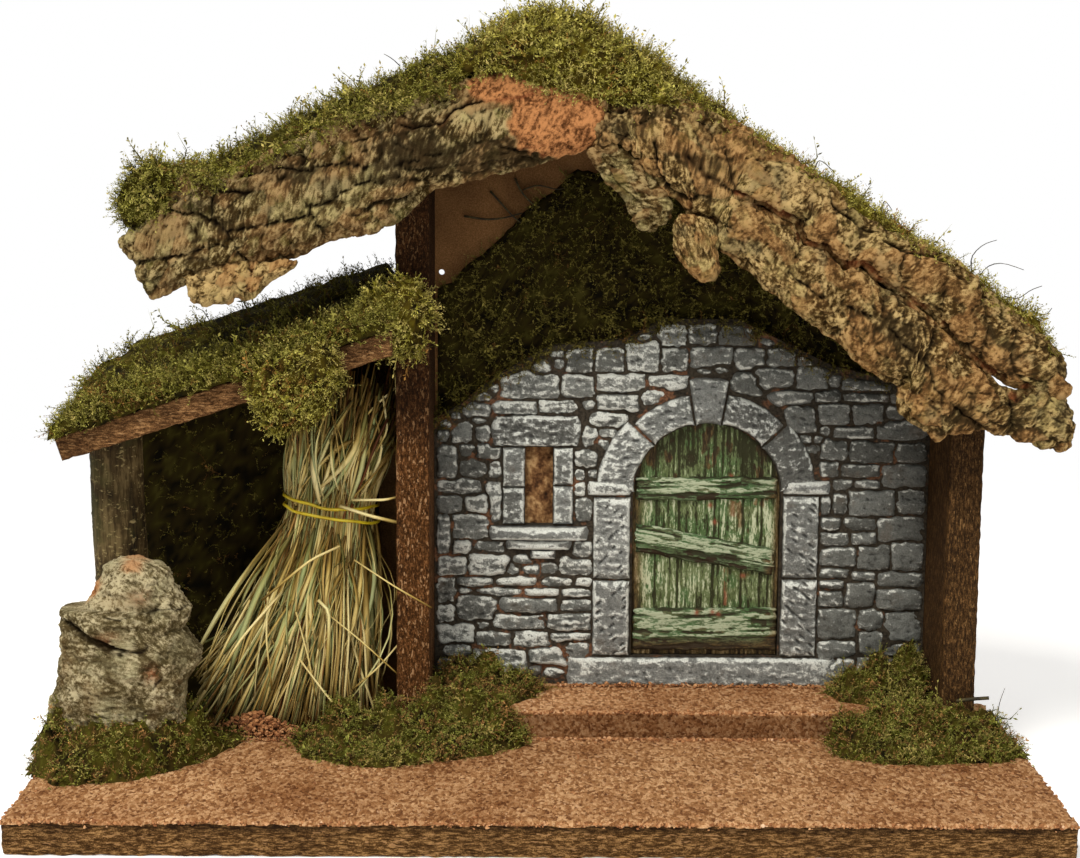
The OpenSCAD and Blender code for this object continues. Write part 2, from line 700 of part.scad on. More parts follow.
moss_left_end = ridge_x - 2 * roof_moss_t;
moss_right_start = ridge_x + 2 * roof_moss_t;
left_moss_x_shares = [0, 0.08, 0.18, 0.3, 0.42, 0.54, 0.66, 0.78, 0.9, 1];
left_moss_bulk_shares = [0.75, 1.05, 0.8, 0.75, 0.85, 0.95, 1, 1, 1.05, 1.05];
right_moss_bulk_shares = [1, 1.05, 0.95, 0.95, 1.1, 1.15, 1.2, 1.25, 1.2, 0.7];
ridge_moss_x_shares = [0, 0.17, 0.34, 0.5, 0.66, 0.83, 1];
ridge_moss_bulk_shares = [1.05, 1.1, 1.2, 0.98, 0.92, 0.95, 1];

module moss_roof_left() {
    color("darkolivegreen") moss_on_roof([for (s = left_moss_x_shares)
        between(roof_left_x, moss_left_end, s)], left_moss_bulk_shares, roof_moss_t,
        roof_y + soft_gap, roof_back_y, 2);
}

module moss_ridge() {
    color("olivedrab") moss_on_roof([for (s = ridge_moss_x_shares)
        between(moss_left_end, moss_right_start, s)], ridge_moss_bulk_shares, roof_moss_t,
        roof_y + soft_gap, roof_back_y, 10);
}

module moss_roof_right() {
    color("darkolivegreen") moss_on_roof([for (s = left_moss_x_shares)
        between(moss_right_start, roof_right_x, s)], right_moss_bulk_shares, roof_moss_t,
        roof_y + soft_gap, roof_back_y, 16);
}

// Moss pressed on the upper back panel, over the stone front's upper edge
moss_wall_top_shares = [[1, 0.261], [0.896, 0.328], [0.736, 0.472], [0.576, 0.551], [0.456, 0.695],
    [0.356, 0.783], [0.276, 0.673], [0.176, 0.582], [0.086, 0.489], [0.036, 0.446], [0, 0.459]];

module moss_back_wall() {
    color("darkolivegreen") from_front(panel_y - wall_moss_t, panel_y)
        polygon(concat(on_front(slab_top_px),
            [for (s = moss_wall_top_shares) over_front(s[0], s[1])]));
}

// Moss on the shed roof, thicker towards the back
shed_moss_x_shares = [0, 0.1, 0.22, 0.34, 0.46, 0.58, 0.7, 0.84, 1];
shed_moss_bulk_shares = [0.42, 0.62, 0.8, 0.82, 0.74, 0.95, 0.98, 0.98, 1];

module moss_shed_roof() {
    front_share = 0.36;
    x0 = shed_x - shed_roof_t * sin(shed_slope);
    xs = [for (s = shed_moss_x_shares) between(x0, wall_left_out, s)];
    color("darkolivegreen") loft([for (i = [0:len(xs) - 1]) concat(
        [[xs[i], shed_y, shed_top(xs[i])]],
        [for (k = [0:moss_rows]) let(t = k / moss_rows)
            [xs[i], between(shed_y, roof_back_y, t), shed_top(xs[i]) + shed_moss_t
                * shed_moss_bulk_shares[i] * (between(front_share, 0.92, t) - 0.3 * pow(t, 12)
                    + 0.07 * wave(i, k))]],
        [[xs[i], roof_back_y, shed_top(xs[i])]])]);
}

// Moss that hangs on a front face: rings along X between an upper and a lower line
module moss_hanging(xs, tops, lows, y0, y1, seed) {
    loft([for (i = [0:len(xs) - 1]) concat(
        [[xs[i], y1, lows[i]]],
        [for (k = [0:4]) let(t = k / 4, u = 2 * t - 1)
            [xs[i], between(y0, y1, 0.12 + 0.5 * pow(u, 2) + 0.1 * wave(i + seed, k)),
                between(lows[i], tops[i], t)]],
        [[xs[i], y1, tops[i]]])]);
}

tuft_depth = 13;
post_tuft_low_shares = [-0.35, -0.55, -0.3, 0.2];
post_tuft_top_shares = [0.78, 1, 0.9, 0.66];

module moss_post_tuft() {
    xs = [for (s = [0, 0.33, 0.7, 1]) between(wall_left_out + soft_gap, house_x, s)];
    color("darkolivegreen") moss_hanging(xs,
        [for (s = post_tuft_top_shares) shed_top(wall_left_out) + s * shed_moss_t * 0.8],
        [for (s = post_tuft_low_shares) shed_top(wall_left_out) + s * shed_roof_t],
        front_y - 1.6 * tuft_depth, front_y, 3);
}

hanging_tuft_run_shares = [0.58, 0.64, 0.72, 0.8, 0.84];
hanging_tuft_top_shares = [0.4, 0.7, 0.8, 0.7, 0.4];
hanging_tuft_low_shares = [-1, -1.9, -2.1, -1.3, -0.6];

module moss_hanging_tuft() {
    xs = [for (s = hanging_tuft_run_shares) between(shed_x, wall_left_out, s)];
    color("darkolivegreen") moss_hanging(xs,
        [for (i = [0:len(xs) - 1]) shed_under(xs[i]) + hanging_tuft_top_shares[i] * shed_roof_t],
        [for (i = [0:len(xs) - 1]) shed_under(xs[i]) + hanging_tuft_low_shares[i] * shed_roof_t],
        shed_y - tuft_depth, shed_y, 5);
}

module moss_shed_wall() {
    bare_strip = 14;
    color("darkolivegreen") from_front(panel_y - shed_wall_moss_t, panel_y)
        polygon([[shed_back_x + soft_gap, ground_z + soft_gap],
            [wall_left_out - bare_strip, ground_z + soft_gap],
            [wall_left_out - bare_strip, shed_under(wall_left_out - bare_strip) - soft_gap],
            [shed_back_x + soft_gap, shed_under(shed_back_x + soft_gap) - soft_gap]]);
}

// A moss clump with an oval foot on a level bed
module clump(x0, x1, y0, y1, z, h, seed) {
    reach_shares = [-0.96, -0.75, -0.4, 0, 0.4, 0.75, 0.96];
    xc = (x0 + x1) / 2;
    yc = (y0 + y1) / 2;
    loft([for (i = [0:len(reach_shares) - 1])
        let(s = reach_shares[i], d = (y1 - y0) / 2 * sqrt(1 - s * s), x = xc + s * (x1 - x0) / 2) concat(
        [[x, yc - d, z]],
        [for (k = [0:5]) let(u = 2 * k / 5 - 1)
            [x, yc + 0.96 * d * u, z + h * (0.12 + sqrt(1 - s * s)
                * (0.74 - 0.6 * pow(abs(u), 3) + 0.12 * wave(i + seed, k)))]],
        [[x, yc + d, z]])]);
}

module stump_foot_cut() {
    grow = 1.06;
    translate([stump_x, stump_y, 0]) linear_extrude(ridge_h)
        polygon([for (k = [0:stump_sides - 1]) let(a = 360 * k / stump_sides)
            [stump_w * (0.01 + 0.48 * grow * cos(a)), stump_d / 2 * 0.86 * grow * sin(a)]]);
}

// Ends of the clumps and crumbs as shares of the ground from the stump to the left wall
function before_shed(share) = between(stump_x + stump_w / 2, wall_left_out, share);
left_clump_share = 0.2;
mid_clump_share = 0.38;
left_clump_reach = 20;

module moss_ground_left() {
    color("olivedrab") difference() {
        clump(-base_w / 2 + soft_gap, before_shed(left_clump_share),
            stump_y - stump_d / 2 - left_clump_reach, stump_y + stump_d / 2 - soft_gap,
            ground_z, ground_moss_h, 1);
        stump_foot_cut();
    }
}

clump_reach = 62;
mid_clump_x0 = before_shed(mid_clump_share);
mid_clump_x1 = house_x + clump_reach;
front_clump_d = 42;

module moss_ground_mid() {
    color("olivedrab") clump(mid_clump_x0, mid_clump_x1, front_y - front_clump_d,
        front_y - soft_gap, ground_z, ground_moss_h, 6);
}

right_clump_x0 = house_right - clump_reach;

module moss_ground_right() {
    color("olivedrab") clump(right_clump_x0, base_w / 2 - cork_t, front_y - front_clump_d,
        front_y - soft_gap, ground_z, ground_moss_h, 11);
}

step_clump_w = 54;

module moss_step_mid() {
    color("olivedrab") clump(house_x + soft_gap, house_x + step_clump_w, front_y + cork_t,
        slab_y - dressed_proud - soft_gap, step_z, ground_moss_h, 3);
}

module moss_step_right() {
    color("olivedrab") clump(house_right - step_clump_w, house_right - soft_gap, front_y + cork_t,
        slab_y - dressed_proud - soft_gap, step_z, ground_moss_h, 8);
}

// Loose cork crumbs on the ground before the sheaf
crumb_r = 1.8;
crumb_count = 16;
crumb_pitch = 5.4;
crumb_start_share = 0.13;
crumb_pitch_share = 0.054;
crumb_y = front_y - crumb_pitch;

module cork_crumbs() {
    color("chocolate") for (i = [0:crumb_count - 1])
        translate([before_shed(crumb_start_share + crumb_pitch_share * (i % 4)) + crumb_r * 0.3 * wave(i, 3),
            crumb_y - crumb_pitch * floor(i / 4) + crumb_r * 0.3 * wave(i, 5), ground_z])
            rotate([0, 0, 40 * i]) cylinder(r = crumb_r, h = crumb_r * (1.2 + 0.5 * wave(i, 1)), $fn = 5);
}

// Dry twigs stuck flat on the bare upper back panel
twig_r = 0.9;
twig_end_shares = [[[0.076, 0.596], [0.136, 0.651]], [[0.104, 0.56], [0.176, 0.656]],
    [[0.06, 0.663], [0.1, 0.708]]];

module dry_twigs() {
    color("darkkhaki") for (t = twig_end_shares) {
        ends = [for (e = t) over_front(e[0], e[1])];
        run = ends[1] - ends[0];
        translate([ends[0][0], panel_y - twig_r, ends[0][1]])
            rotate([0, atan2(run[0], run[1]), 0]) cylinder(r = twig_r, h = norm(run), $fn = 16);
    }
}

// Sheaf of straw, one body: a bound slice at the waist with a square grid of cells on
// its two faces, each second cell drawn out as a straw down to the foot or up to the head
sheaf_back = 31;
sheaf_waist_from_wall = 36.5;
sheaf_foot_from_wall = 60.5;
sheaf_head_from_wall = 27.5;
sheaf_head_r = 25;
waist_share = 0.63;
waist_h = 18;
sheaf_y = front_y + sheaf_back;
sheaf_waist_x = wall_left_out - sheaf_waist_from_wall;
sheaf_foot_x = wall_left_out - sheaf_foot_from_wall;
sheaf_head_x = wall_left_out - sheaf_head_from_wall;
waist_z = ground_z + waist_share * sheaf_h;
sheaf_cells = 27;
straw_cells = (sheaf_cells + 1) / 2;
sheaf_lift = 0.35;
straw_trim = 6;

// A grid corner as a place on the unit disc
function disc(i, j) = let(a = 2 * i / sheaf_cells - 1, b = 2 * j / sheaf_cells - 1)
    [a * sqrt(1 - b * b / 2), b * sqrt(1 - a * a / 2)];
function corner(i, j, z) = let(d = disc(i, j))
    [sheaf_waist_x + sheaf_waist_r * d[0], sheaf_y + sheaf_waist_r * d[1], z];
function grid_points(z) = [for (i = [0:sheaf_cells], j = [0:sheaf_cells]) corner(i, j, z)];
function at(i, j) = i * (sheaf_cells + 1) + j;

// The three corners of a straw at one of its rings, moved from its root without growing
function straw_ring(i, j, x, rx, ry, z) = let(d = (disc(i, j) + disc(i + 1, j) + disc(i, j + 1)) / 3)
    [for (c = [disc(i, j), disc(i + 1, j), disc(i, j + 1)])
        [x + rx * d[0] + sheaf_waist_r * (c[0] - d[0]), sheaf_y + ry * d[1] + sheaf_waist_r * (c[1] - d[1]), z]];

module sheaf_straws() {
    n = sheaf_cells;
    total = (n + 1) * (n + 1);
    low_z = waist_z - waist_h / 2;
    high_z = waist_z + waist_h / 2;
    foot_depth_r = sheaf_waist_r;
    knee_share = 0.45;
    straws = [for (a = [0:straw_cells - 1], b = [0:straw_cells - 1]) [2 * a, 2 * b]];
    foot_rings = [for (s = straws) let(lift = sheaf_lift + straw_trim * abs(wave(s[0], s[1])))
        concat(
            straw_ring(s[0], s[1], between(sheaf_waist_x, sheaf_foot_x, knee_share),
                between(sheaf_waist_r, sheaf_foot_r, knee_share * 0.8), foot_depth_r,
                between(low_z, ground_z, knee_share)),
            straw_ring(s[0], s[1], sheaf_foot_x, sheaf_foot_r, foot_depth_r, ground_z + lift))];
    head_rings = [for (s = straws) let(trim = straw_trim * abs(wave(s[1], s[0])))
        concat(
            straw_ring(s[0], s[1], between(sheaf_waist_x, sheaf_head_x, knee_share),
                between(sheaf_waist_r, sheaf_head_r, knee_share), foot_depth_r,
                between(high_z, ground_z + sheaf_h, knee_share)),
            straw_ring(s[0], s[1], sheaf_head_x, sheaf_head_r, foot_depth_r, ground_z + sheaf_h - trim))];
    points = concat(grid_points(low_z), grid_points(high_z),
        [for (r = foot_rings) for (p = r) p], [for (r = head_rings) for (p = r) p]);
    foot_at = 2 * total;
    head_at = foot_at + 6 * len(straws);
    // Cells of both faces: the half with a straw on it is left open
    cells = [for (i = [0:n - 1], j = [0:n - 1]) [i, j]];
    function rooted(c) = c[0] % 2 == 0 && c[1] % 2 == 0;
    low_faces = [for (c = cells) for (f = concat(
        rooted(c) ? [] : [[at(c[0], c[1]), at(c[0] + 1, c[1]), at(c[0], c[1] + 1)]],
        [[at(c[0] + 1, c[1]), at(c[0] + 1, c[1] + 1), at(c[0], c[1] + 1)]])) f];
    high_faces = [for (c = cells) for (f = concat(
        rooted(c) ? [] : [[at(c[0], c[1] + 1), at(c[0] + 1, c[1]), at(c[0], c[1])]],
        [[at(c[0], c[1] + 1), at(c[0] + 1, c[1] + 1), at(c[0] + 1, c[1])]])) f + [total, total, total]];
    rim = concat([for (i = [0:n - 1]) at(i, 0)], [for (j = [0:n - 1]) at(n, j)],
        [for (i = [n:-1:1]) at(i, n)], [for (j = [n:-1:1]) at(0, j)]);
    wall_faces = [for (k = [0:len(rim) - 1]) let(a = rim[k], b = rim[(k + 1) % len(rim)])
        for (f = [[a, a + total, b], [b, a + total, b + total]]) f];
    foot_faces = [for (s = [0:len(straws) - 1]) let(i = straws[s][0], j = straws[s][1],
        root = [at(i, j), at(i + 1, j), at(i, j + 1)], q = foot_at + 6 * s,
        knee = [q, q + 1, q + 2], tip = [q + 3, q + 4, q + 5])
        for (f = concat(side_faces(root, knee), side_faces(knee, tip), [tip])) f];
    head_faces = [for (s = [0:len(straws) - 1]) let(i = straws[s][0], j = straws[s][1],
        root = [total + at(i, j), total + at(i, j + 1), total + at(i + 1, j)], q = head_at + 6 * s,
        knee = [q, q + 2, q + 1], tip = [q + 3, q + 5, q + 4])
        for (f = concat(side_faces(root, knee), side_faces(knee, tip), [tip])) f];
    color("khaki") polyhedron(points = points,
        faces = concat(low_faces, high_faces, wall_faces, foot_faces, head_faces), convexity = 10);
}
function side_faces(a, b) = [for (k = [0:2]) let(m = (k + 1) % 3)
    for (f = [[a[k], a[m], b[k]], [a[m], b[m], b[k]]]) f];

// Elastic bands round the sheaf's waist
band_tilt = 8;
band_gap = 0.1;
band_pitch = 6.6;

module sheaf_band(z) {
    ring_r = (sheaf_waist_r + band_gap) / cos(band_tilt) + band_r;
    translate([sheaf_waist_x, sheaf_y, z]) rotate([0, band_tilt, 0])
        rotate_extrude($fn = 96) translate([ring_r, 0]) circle(band_r, $fn = 16);
}

module sheaf_band_upper() {
    color("gold") sheaf_band(waist_z + band_pitch / 2);
}

module sheaf_band_lower() {
    color("gold") sheaf_band(waist_z - band_pitch / 2);
}

// Fasteners

module base_screws() {
    color("silver") base_screw_shapes();
}

module roof_brads() {
    color("silver") roof_brad_shapes();
}

module panel_brads() {
    color("silver") panel_brad_shapes();
}

base_board();
ground_cork();
step_board();
step_cork();
wall_panel_left();
wall_panel_right();
back_panel();
shed_back_panel();
log_post();
roof_board_left();
roof_board_right();
shed_roof_board();
facade_slab();
wall_stones_left();
wall_stones_right();
wall_stones_top();
arch_stones();
keystone();
impost_blocks();
jamb_stones();
threshold_stone();
door_planks();
door_battens();
door_brace();
window_lintel();
window_jambs();
window_sill();
sill_corbels();
window_panel();
bark_left_main();
bark_left_lower();
bark_right_upper();
bark_right_lower();
bark_right_inner();
bark_right_flake();
cork_stump();
moss_roof_left();
moss_ridge();
moss_roof_right();
moss_back_wall();
moss_shed_roof();
moss_post_tuft();
moss_hanging_tuft();
moss_shed_wall();
moss_ground_left();
moss_ground_mid();
moss_ground_right();
moss_step_mid();
moss_step_right();
cork_crumbs();
dry_twigs();
sheaf_straws();
sheaf_band_upper();
sheaf_band_lower();
base_screws();
roof_brads();
panel_brads();
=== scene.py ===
# %% [markdown]
# # A wooden nativity stable, dressed over its CAD frame
# The CAD file holds the boards, the cast stone front and plain solids for bark, moss and straw.
# This script gives each of them its real surface: granulated cork, torn chipboard, plated bark,
# brushed stone, flaking paint, thousands of moss shoots and hundreds of straws.

# %% Load the frame
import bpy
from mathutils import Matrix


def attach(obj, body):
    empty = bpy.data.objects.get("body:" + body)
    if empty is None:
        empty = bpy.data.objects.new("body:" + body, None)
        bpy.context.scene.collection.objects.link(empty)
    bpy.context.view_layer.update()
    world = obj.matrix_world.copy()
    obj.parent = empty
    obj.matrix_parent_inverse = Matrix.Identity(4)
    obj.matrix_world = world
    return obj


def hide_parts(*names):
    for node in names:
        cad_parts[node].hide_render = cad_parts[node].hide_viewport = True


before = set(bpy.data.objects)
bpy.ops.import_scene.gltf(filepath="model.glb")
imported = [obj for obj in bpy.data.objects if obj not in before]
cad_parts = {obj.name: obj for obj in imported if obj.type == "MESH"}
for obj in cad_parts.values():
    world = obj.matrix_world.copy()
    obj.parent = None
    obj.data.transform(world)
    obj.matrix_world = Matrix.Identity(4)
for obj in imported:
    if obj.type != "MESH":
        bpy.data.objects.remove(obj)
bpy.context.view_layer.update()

import math

import bpy
import numpy as np
from mathutils import Matrix, Vector

MM = 0.001

# %% [markdown]
# ## The camera that took the photograph
# The lens and the place were fitted to the base board's corners, the walls' edges and the ridge.
# With them a pixel of the photograph becomes a line in space, and a line meets a plane of the
# model in one point. That is how outlines are carried from the picture to the model.

# %% Camera and the way from a pixel to a place
PHOTO_WIDE, PHOTO_MIDDLE = 1080, (540, 429)
FOCAL_PX, SENSOR = 2000, 36
EYE = np.array([-6.0, -987.3, 335.0])
RIGHT = np.array([0.99997, -0.00396, 0.00692])
UP = np.array([-0.00625, 0.14927, 0.98878])
AHEAD = np.array([0.00494, 0.98879, -0.14924])


def meet(px, py, level, axis):
    """Places (x, y, z) in millimetres where the lines through the pixels meet the plane at a level of that
    axis."""
    across = (np.asarray(px, float) - PHOTO_MIDDLE[0]) / FOCAL_PX
    upward = (PHOTO_MIDDLE[1] - np.asarray(py, float)) / FOCAL_PX
    ray = AHEAD + np.multiply.outer(across, RIGHT) + np.multiply.outer(upward, UP)
    return EYE + ray * ((level - EYE[axis]) / ray[..., axis])[..., None]


def at(px, py, y):
    """Places (x, y, z) where the lines through the pixels meet the upright plane of that y."""
    return meet(px, py, y, 1)


def on_level(px, py, z):
    """Places (x, y) where the lines through the pixels meet the level z."""
    return meet(px, py, z, 2)[..., :2]


camera = bpy.data.objects.new("camera", bpy.data.cameras.new("camera"))
bpy.context.scene.collection.objects.link(camera)
camera.data.sensor_width = SENSOR
camera.data.lens = SENSOR * FOCAL_PX / PHOTO_WIDE
camera.matrix_world = Matrix([*np.column_stack([RIGHT, UP, -AHEAD, EYE * MM]), (0, 0, 0, 1)])
bpy.context.scene.camera = camera
print("lens", round(camera.data.lens, 2), "mm; ridge seen at y=-5:", at(545, 90, -5).round(1))

# %% [markdown]
# ## Light, floor and background
# A large soft lamp stands at the front left, as the photograph's brighter left jamb shows, with a
# weaker one at the right and a broad one above. The background is white to the camera only.

# %% Lamps, world and floor


def lamp(name, place, target, size, power, colour):
    """A square soft lamp at place, turned to target, both in metres."""
    data = bpy.data.lights.new(name, "AREA")
    data.size, data.energy, data.color = size, power, colour
    obj = bpy.data.objects.new(name, data)
    bpy.context.scene.collection.objects.link(obj)
    obj.location = place
    obj.rotation_euler = (Vector(target) - Vector(place)).to_track_quat("-Z", "Y").to_euler()


WARM_WHITE = (1, 0.97, 0.92)
lamp("key", (-0.62, -1.1, 1.75), (0, 0, 0.15), 0.6, 38, (1, 0.955, 0.885))
lamp("fill", (1.0, -1.6, 0.6), (0, 0, 0.15), 1.0, 8, WARM_WHITE)
lamp("above", (0.1, 0.1, 1.7), (0, 0, 0.1), 1.2, 4, WARM_WHITE)



def graph_node(tree, kind, settings=(), **links):
    """A shader node. settings are its own values, and links name the inputs by their number: i0, i1 and so
    on."""
    node = tree.nodes.new("ShaderNode" + kind)
    for key, value in settings:
        setattr(node, key, value)
    for key, socket in links.items():
        tree.links.new(socket, node.inputs[int(key[1:])])
    return node


def set_inputs(node, **values):
    """Sets a node's inputs, named in small letters with _ for a space."""
    named = {socket.name.lower().replace(" ", "_"): socket for socket in reversed(node.inputs.values())}
    for key, value in values.items():
        named[key].default_value = value
    return node


world = bpy.data.worlds.new("studio")
bpy.context.scene.world = world
world.use_nodes = True
tree = world.node_tree
path = tree.nodes.new("ShaderNodeLightPath").outputs
clamped_sum = (("operation", "ADD"), ("use_clamp", True))
seen = graph_node(tree, "Math", clamped_sum, i0=path["Is Camera Ray"], i1=path["Is Glossy Ray"])
seen = graph_node(tree, "Math", clamped_sum, i0=seen.outputs[0], i1=path["Is Transmission Ray"])
ambient = set_inputs(tree.nodes["Background"], color=(1, 0.975, 0.925, 1), strength=0.42)
white = set_inputs(tree.nodes.new("ShaderNodeBackground"), color=(1, 1, 1, 1), strength=1)
choose = graph_node(tree, "MixShader", i0=seen.outputs[0], i1=ambient.outputs[0], i2=white.outputs[0])
tree.links.new(choose.outputs[0], tree.nodes["World Output"].inputs["Surface"])
bpy.context.scene.view_settings.view_transform = "Standard"

FLOOR_RADIUS, FLOOR_SIDES, FLOOR_GAP = 3, 96, 0.0004
floor_mesh = bpy.data.meshes.new("floor")
ring = np.linspace(0, 2 * math.pi, FLOOR_SIDES, endpoint=False)
disc = [(FLOOR_RADIUS * math.cos(a), FLOOR_RADIUS * math.sin(a), -FLOOR_GAP) for a in ring]
floor_mesh.from_pydata(disc, [], [list(range(FLOOR_SIDES))])
floor = bpy.data.objects.new("floor", floor_mesh)
bpy.context.scene.collection.objects.link(floor)
floor_look = bpy.data.materials.new("floor")
floor_look.use_nodes = True
tree = floor_look.node_tree
spot = tree.nodes.new("ShaderNodeTexCoord").outputs["Object"]
away = graph_node(tree, "VectorMath", (("operation", "LENGTH"),), i0=spot).outputs["Value"]
fade = graph_node(tree, "MapRange", (("interpolation_type", "SMOOTHSTEP"),), i0=away)
set_inputs(fade, from_min=0.45, from_max=1.3)
clear = tree.nodes.new("ShaderNodeBsdfTransparent")
plain = set_inputs(tree.nodes["Principled BSDF"], base_color=(0.92, 0.92, 0.92, 1), roughness=0.9,
                   specular_ior_level=0.1, emission_color=(1, 1, 1, 1), emission_strength=0.35)
blend = graph_node(tree, "MixShader", i0=fade.outputs[0], i1=plain.outputs[0], i2=clear.outputs[0])
tree.links.new(blend.outputs[0], tree.nodes["Material Output"].inputs["Surface"])
floor_mesh.materials.append(floor_look)
print("3 lamps, a floor disc of", 2 * FLOOR_RADIUS, "m that fades out")

# %% [markdown]
# ## Noise made from whole arrays
# Rough natural surfaces come from three ingredients: smooth lattice noise, sums of it at finer
# and finer scales, and cells that grow round random seeds. All are repeatable.

# %% Noise


def lattice(x, y, z, seed):
    """A repeatable random value from 0 to 1 for every whole-number place."""
    h = (x * 374761393 + y * 668265263 + z * 1440662683 + seed * 1274126177) & 0xFFFFFFFF
    h = ((h ^ (h >> 13)) * 1274126177) & 0xFFFFFFFF
    h = ((h ^ (h >> 16)) * 668265263) & 0xFFFFFFFF
    return (h ^ (h >> 15)) / 2.0**32


def noise(p, seed=0):
    """Noise from -1 to 1 at places p: the 8 values round a place, blended by w = t t (3 - 2 t)."""
    whole = np.floor(p).astype(np.int64)
    t = p - whole
    w = t * t * (3 - 2 * t)
    total = 0
    for k in range(8):
        step = np.array([k & 1, k >> 1 & 1, k >> 2])
        q = whole + step
        share = np.prod(np.where(step == 1, w, 1 - w), axis=-1)
        total = total + share * lattice(q[..., 0], q[..., 1], q[..., 2], seed)
    return 2 * total - 1


def layers(p, seed=0, count=4, fall=0.5):
    """Sum of noise at doubled scales: n(p) + fall n(2p) + fall^2 n(4p) ..., brought back to about -1 to 1."""
    total = sum(fall**k * noise(p * 2.0**k + 17.3 * k, seed + k) for k in range(count))
    return total / sum(fall**k for k in range(count))


def places(*axes):
    """Joins arrays of coordinates to one array of places, with zero for a missing third one."""
    axes = np.broadcast_arrays(*axes)
    return np.stack([*axes, *[np.zeros_like(axes[0])] * (3 - len(axes))], axis=-1).astype(float)


def cells(u, v, seed=0):
    """Random cells in a plane. Returns the distances d1, d2 to the two nearest seeds and a random value for
    the cell."""
    iu, iv = np.floor(u).astype(np.int64), np.floor(v).astype(np.int64)
    d1 = np.full(u.shape, 9.0)
    d2, mark = d1.copy(), np.zeros(u.shape)
    for a in (-1, 0, 1):
        for b in (-1, 0, 1):
            x, y, s = iu + a, iv + b, np.full(iu.shape, seed)
            d = np.hypot(x + lattice(x, y, s, 1) - u, y + lattice(x, y, s, 2) - v)
            near = d < d1
            d2 = np.where(near, d1, np.minimum(d2, d))
            mark = np.where(near, lattice(x, y, s, 3), mark)
            d1 = np.where(near, d, d1)
    return d1, d2, mark


def smooth(x, low, high):
    """0 below low, 1 above high, and t t (3 - 2 t) between."""
    t = np.clip((x - low) / (high - low), 0, 1)
    return t * t * (3 - 2 * t)


def unit(v):
    """Vectors brought to length 1."""
    return v / np.maximum(np.linalg.norm(v, axis=-1, keepdims=True), 1e-9)


def powered(v, power):
    """A value's size to a power, with its own sign: it turns a circle's (cos, sin) into a rounded
    square's."""
    return np.sign(v) * np.abs(v) ** power


def segment_gap(x, y, start, end):
    """Distance of places in a plane from the line between two points of it."""
    dx, dy = end[0] - start[0], end[1] - start[1]
    t = np.clip(((x - start[0]) * dx + (y - start[1]) * dy) / (dx**2 + dy**2), 0, 1)
    return np.hypot(x - start[0] - t * dx, y - start[1] - t * dy)


print("noise mean", round(float(noise(np.random.default_rng(1).random((4000, 3)) * 50).mean()), 3))

# %% [markdown]
# ## Meshes from arrays of points
# A grid of points makes a surface. Closed round and capped, it makes a stick, a strip of bark or a
# mound. With its rim pushed back it makes the front of a stone. Corner coordinates called OFBake
# run with the grid, so that a colour can be laid out on the surface without any unwrapping.

# %% Mesh helpers
made = []


def build(name, points, faces, look, node=None, slot=None, corner_uv=None, values=None, shade_smooth=True):
    """A piece from points in millimetres and faces, a list of arrays with one face a row."""
    groups = [np.atleast_2d(f).astype(np.int64) for f in faces if len(f)]
    corners = np.concatenate([g.ravel() for g in groups])
    sizes = np.concatenate([np.full(len(g), g.shape[1]) for g in groups])
    mesh = bpy.data.meshes.new(name)
    mesh.vertices.add(len(points))
    mesh.vertices.foreach_set("co", (np.asarray(points) * MM).astype(np.float32).ravel())
    mesh.loops.add(len(corners))
    mesh.loops.foreach_set("vertex_index", corners.astype(np.int32))
    mesh.polygons.add(len(sizes))
    mesh.polygons.foreach_set("loop_start", np.concatenate([[0], sizes.cumsum()[:-1]]).astype(np.int32))
    mesh.update(calc_edges=True)
    mesh.validate()
    mesh.polygons.foreach_set("use_smooth", np.full(len(sizes), shade_smooth))
    if corner_uv is not None:
        layer = mesh.uv_layers.new(name="OFBake")
        layer.data.foreach_set("uv", np.asarray(corner_uv, np.float32).ravel())
    for key, value in (values or {}).items():
        attribute = mesh.attributes.new(key, "FLOAT", "POINT")
        attribute.data.foreach_set("value", np.asarray(value, np.float32).ravel())
    mesh.materials.append(look)
    obj = bpy.data.objects.new(name, mesh)
    bpy.context.scene.collection.objects.link(obj)
    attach(obj, "root")
    if node:
        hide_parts(*([node] if isinstance(node, str) else node))
    triangles = int((sizes - 2).sum())
    made.append((name, triangles))
    print(f"{name}: {len(points)} points, {triangles} triangles")
    return obj


def grid_quads(rows, columns, closed=False):
    """Faces of a grid of rows x columns points, and their corners' places (row, column) from 0 to 1."""
    wide = columns if closed else columns - 1
    i, j = (v.ravel() for v in np.meshgrid(np.arange(rows - 1), np.arange(wide), indexing="ij"))
    corners = ((i, j), (i + 1, j), (i + 1, j + 1), (i, j + 1))
    faces = np.stack([row * columns + column % columns for row, column in corners], -1)
    uv = np.stack([np.stack(corner, -1) for corner in corners], 1)
    return faces, uv / [max(rows - 1, 1), max(wide, 1)]


def pair(u, v, shape):
    """Corner coordinates from two arrays, spread over faces of that shape."""
    return np.stack(np.broadcast_arrays(u, v, np.zeros(shape))[:2], -1)


def hemmed(points, axis, level):
    """A grid of points with one more row all round, whose coordinate of that axis is the level: the sheet's
    turned-down hem."""
    wider = np.pad(points, ((1, 1), (1, 1), (0, 0)), mode="edge")
    wider[[0, -1], :, axis] = level
    wider[:, [0, -1], axis] = level
    return wider


def build_grid(name, points, look, node, slot, values=None, flip=True, keep=None):
    """A piece from a grid of points. flip turns its faces over, and keep picks some of them by their
    middles."""
    quads, uv = grid_quads(*points.shape[:2])
    flat = points.reshape(-1, 3)
    if keep:
        kept = keep(*flat[quads].mean(1).T)
        quads, uv = quads[kept], uv[kept]
    if flip:
        quads, uv = quads[:, ::-1], uv[:, ::-1]
    return build(name, flat, [quads], look, node, slot, uv.reshape(-1, 2), values)


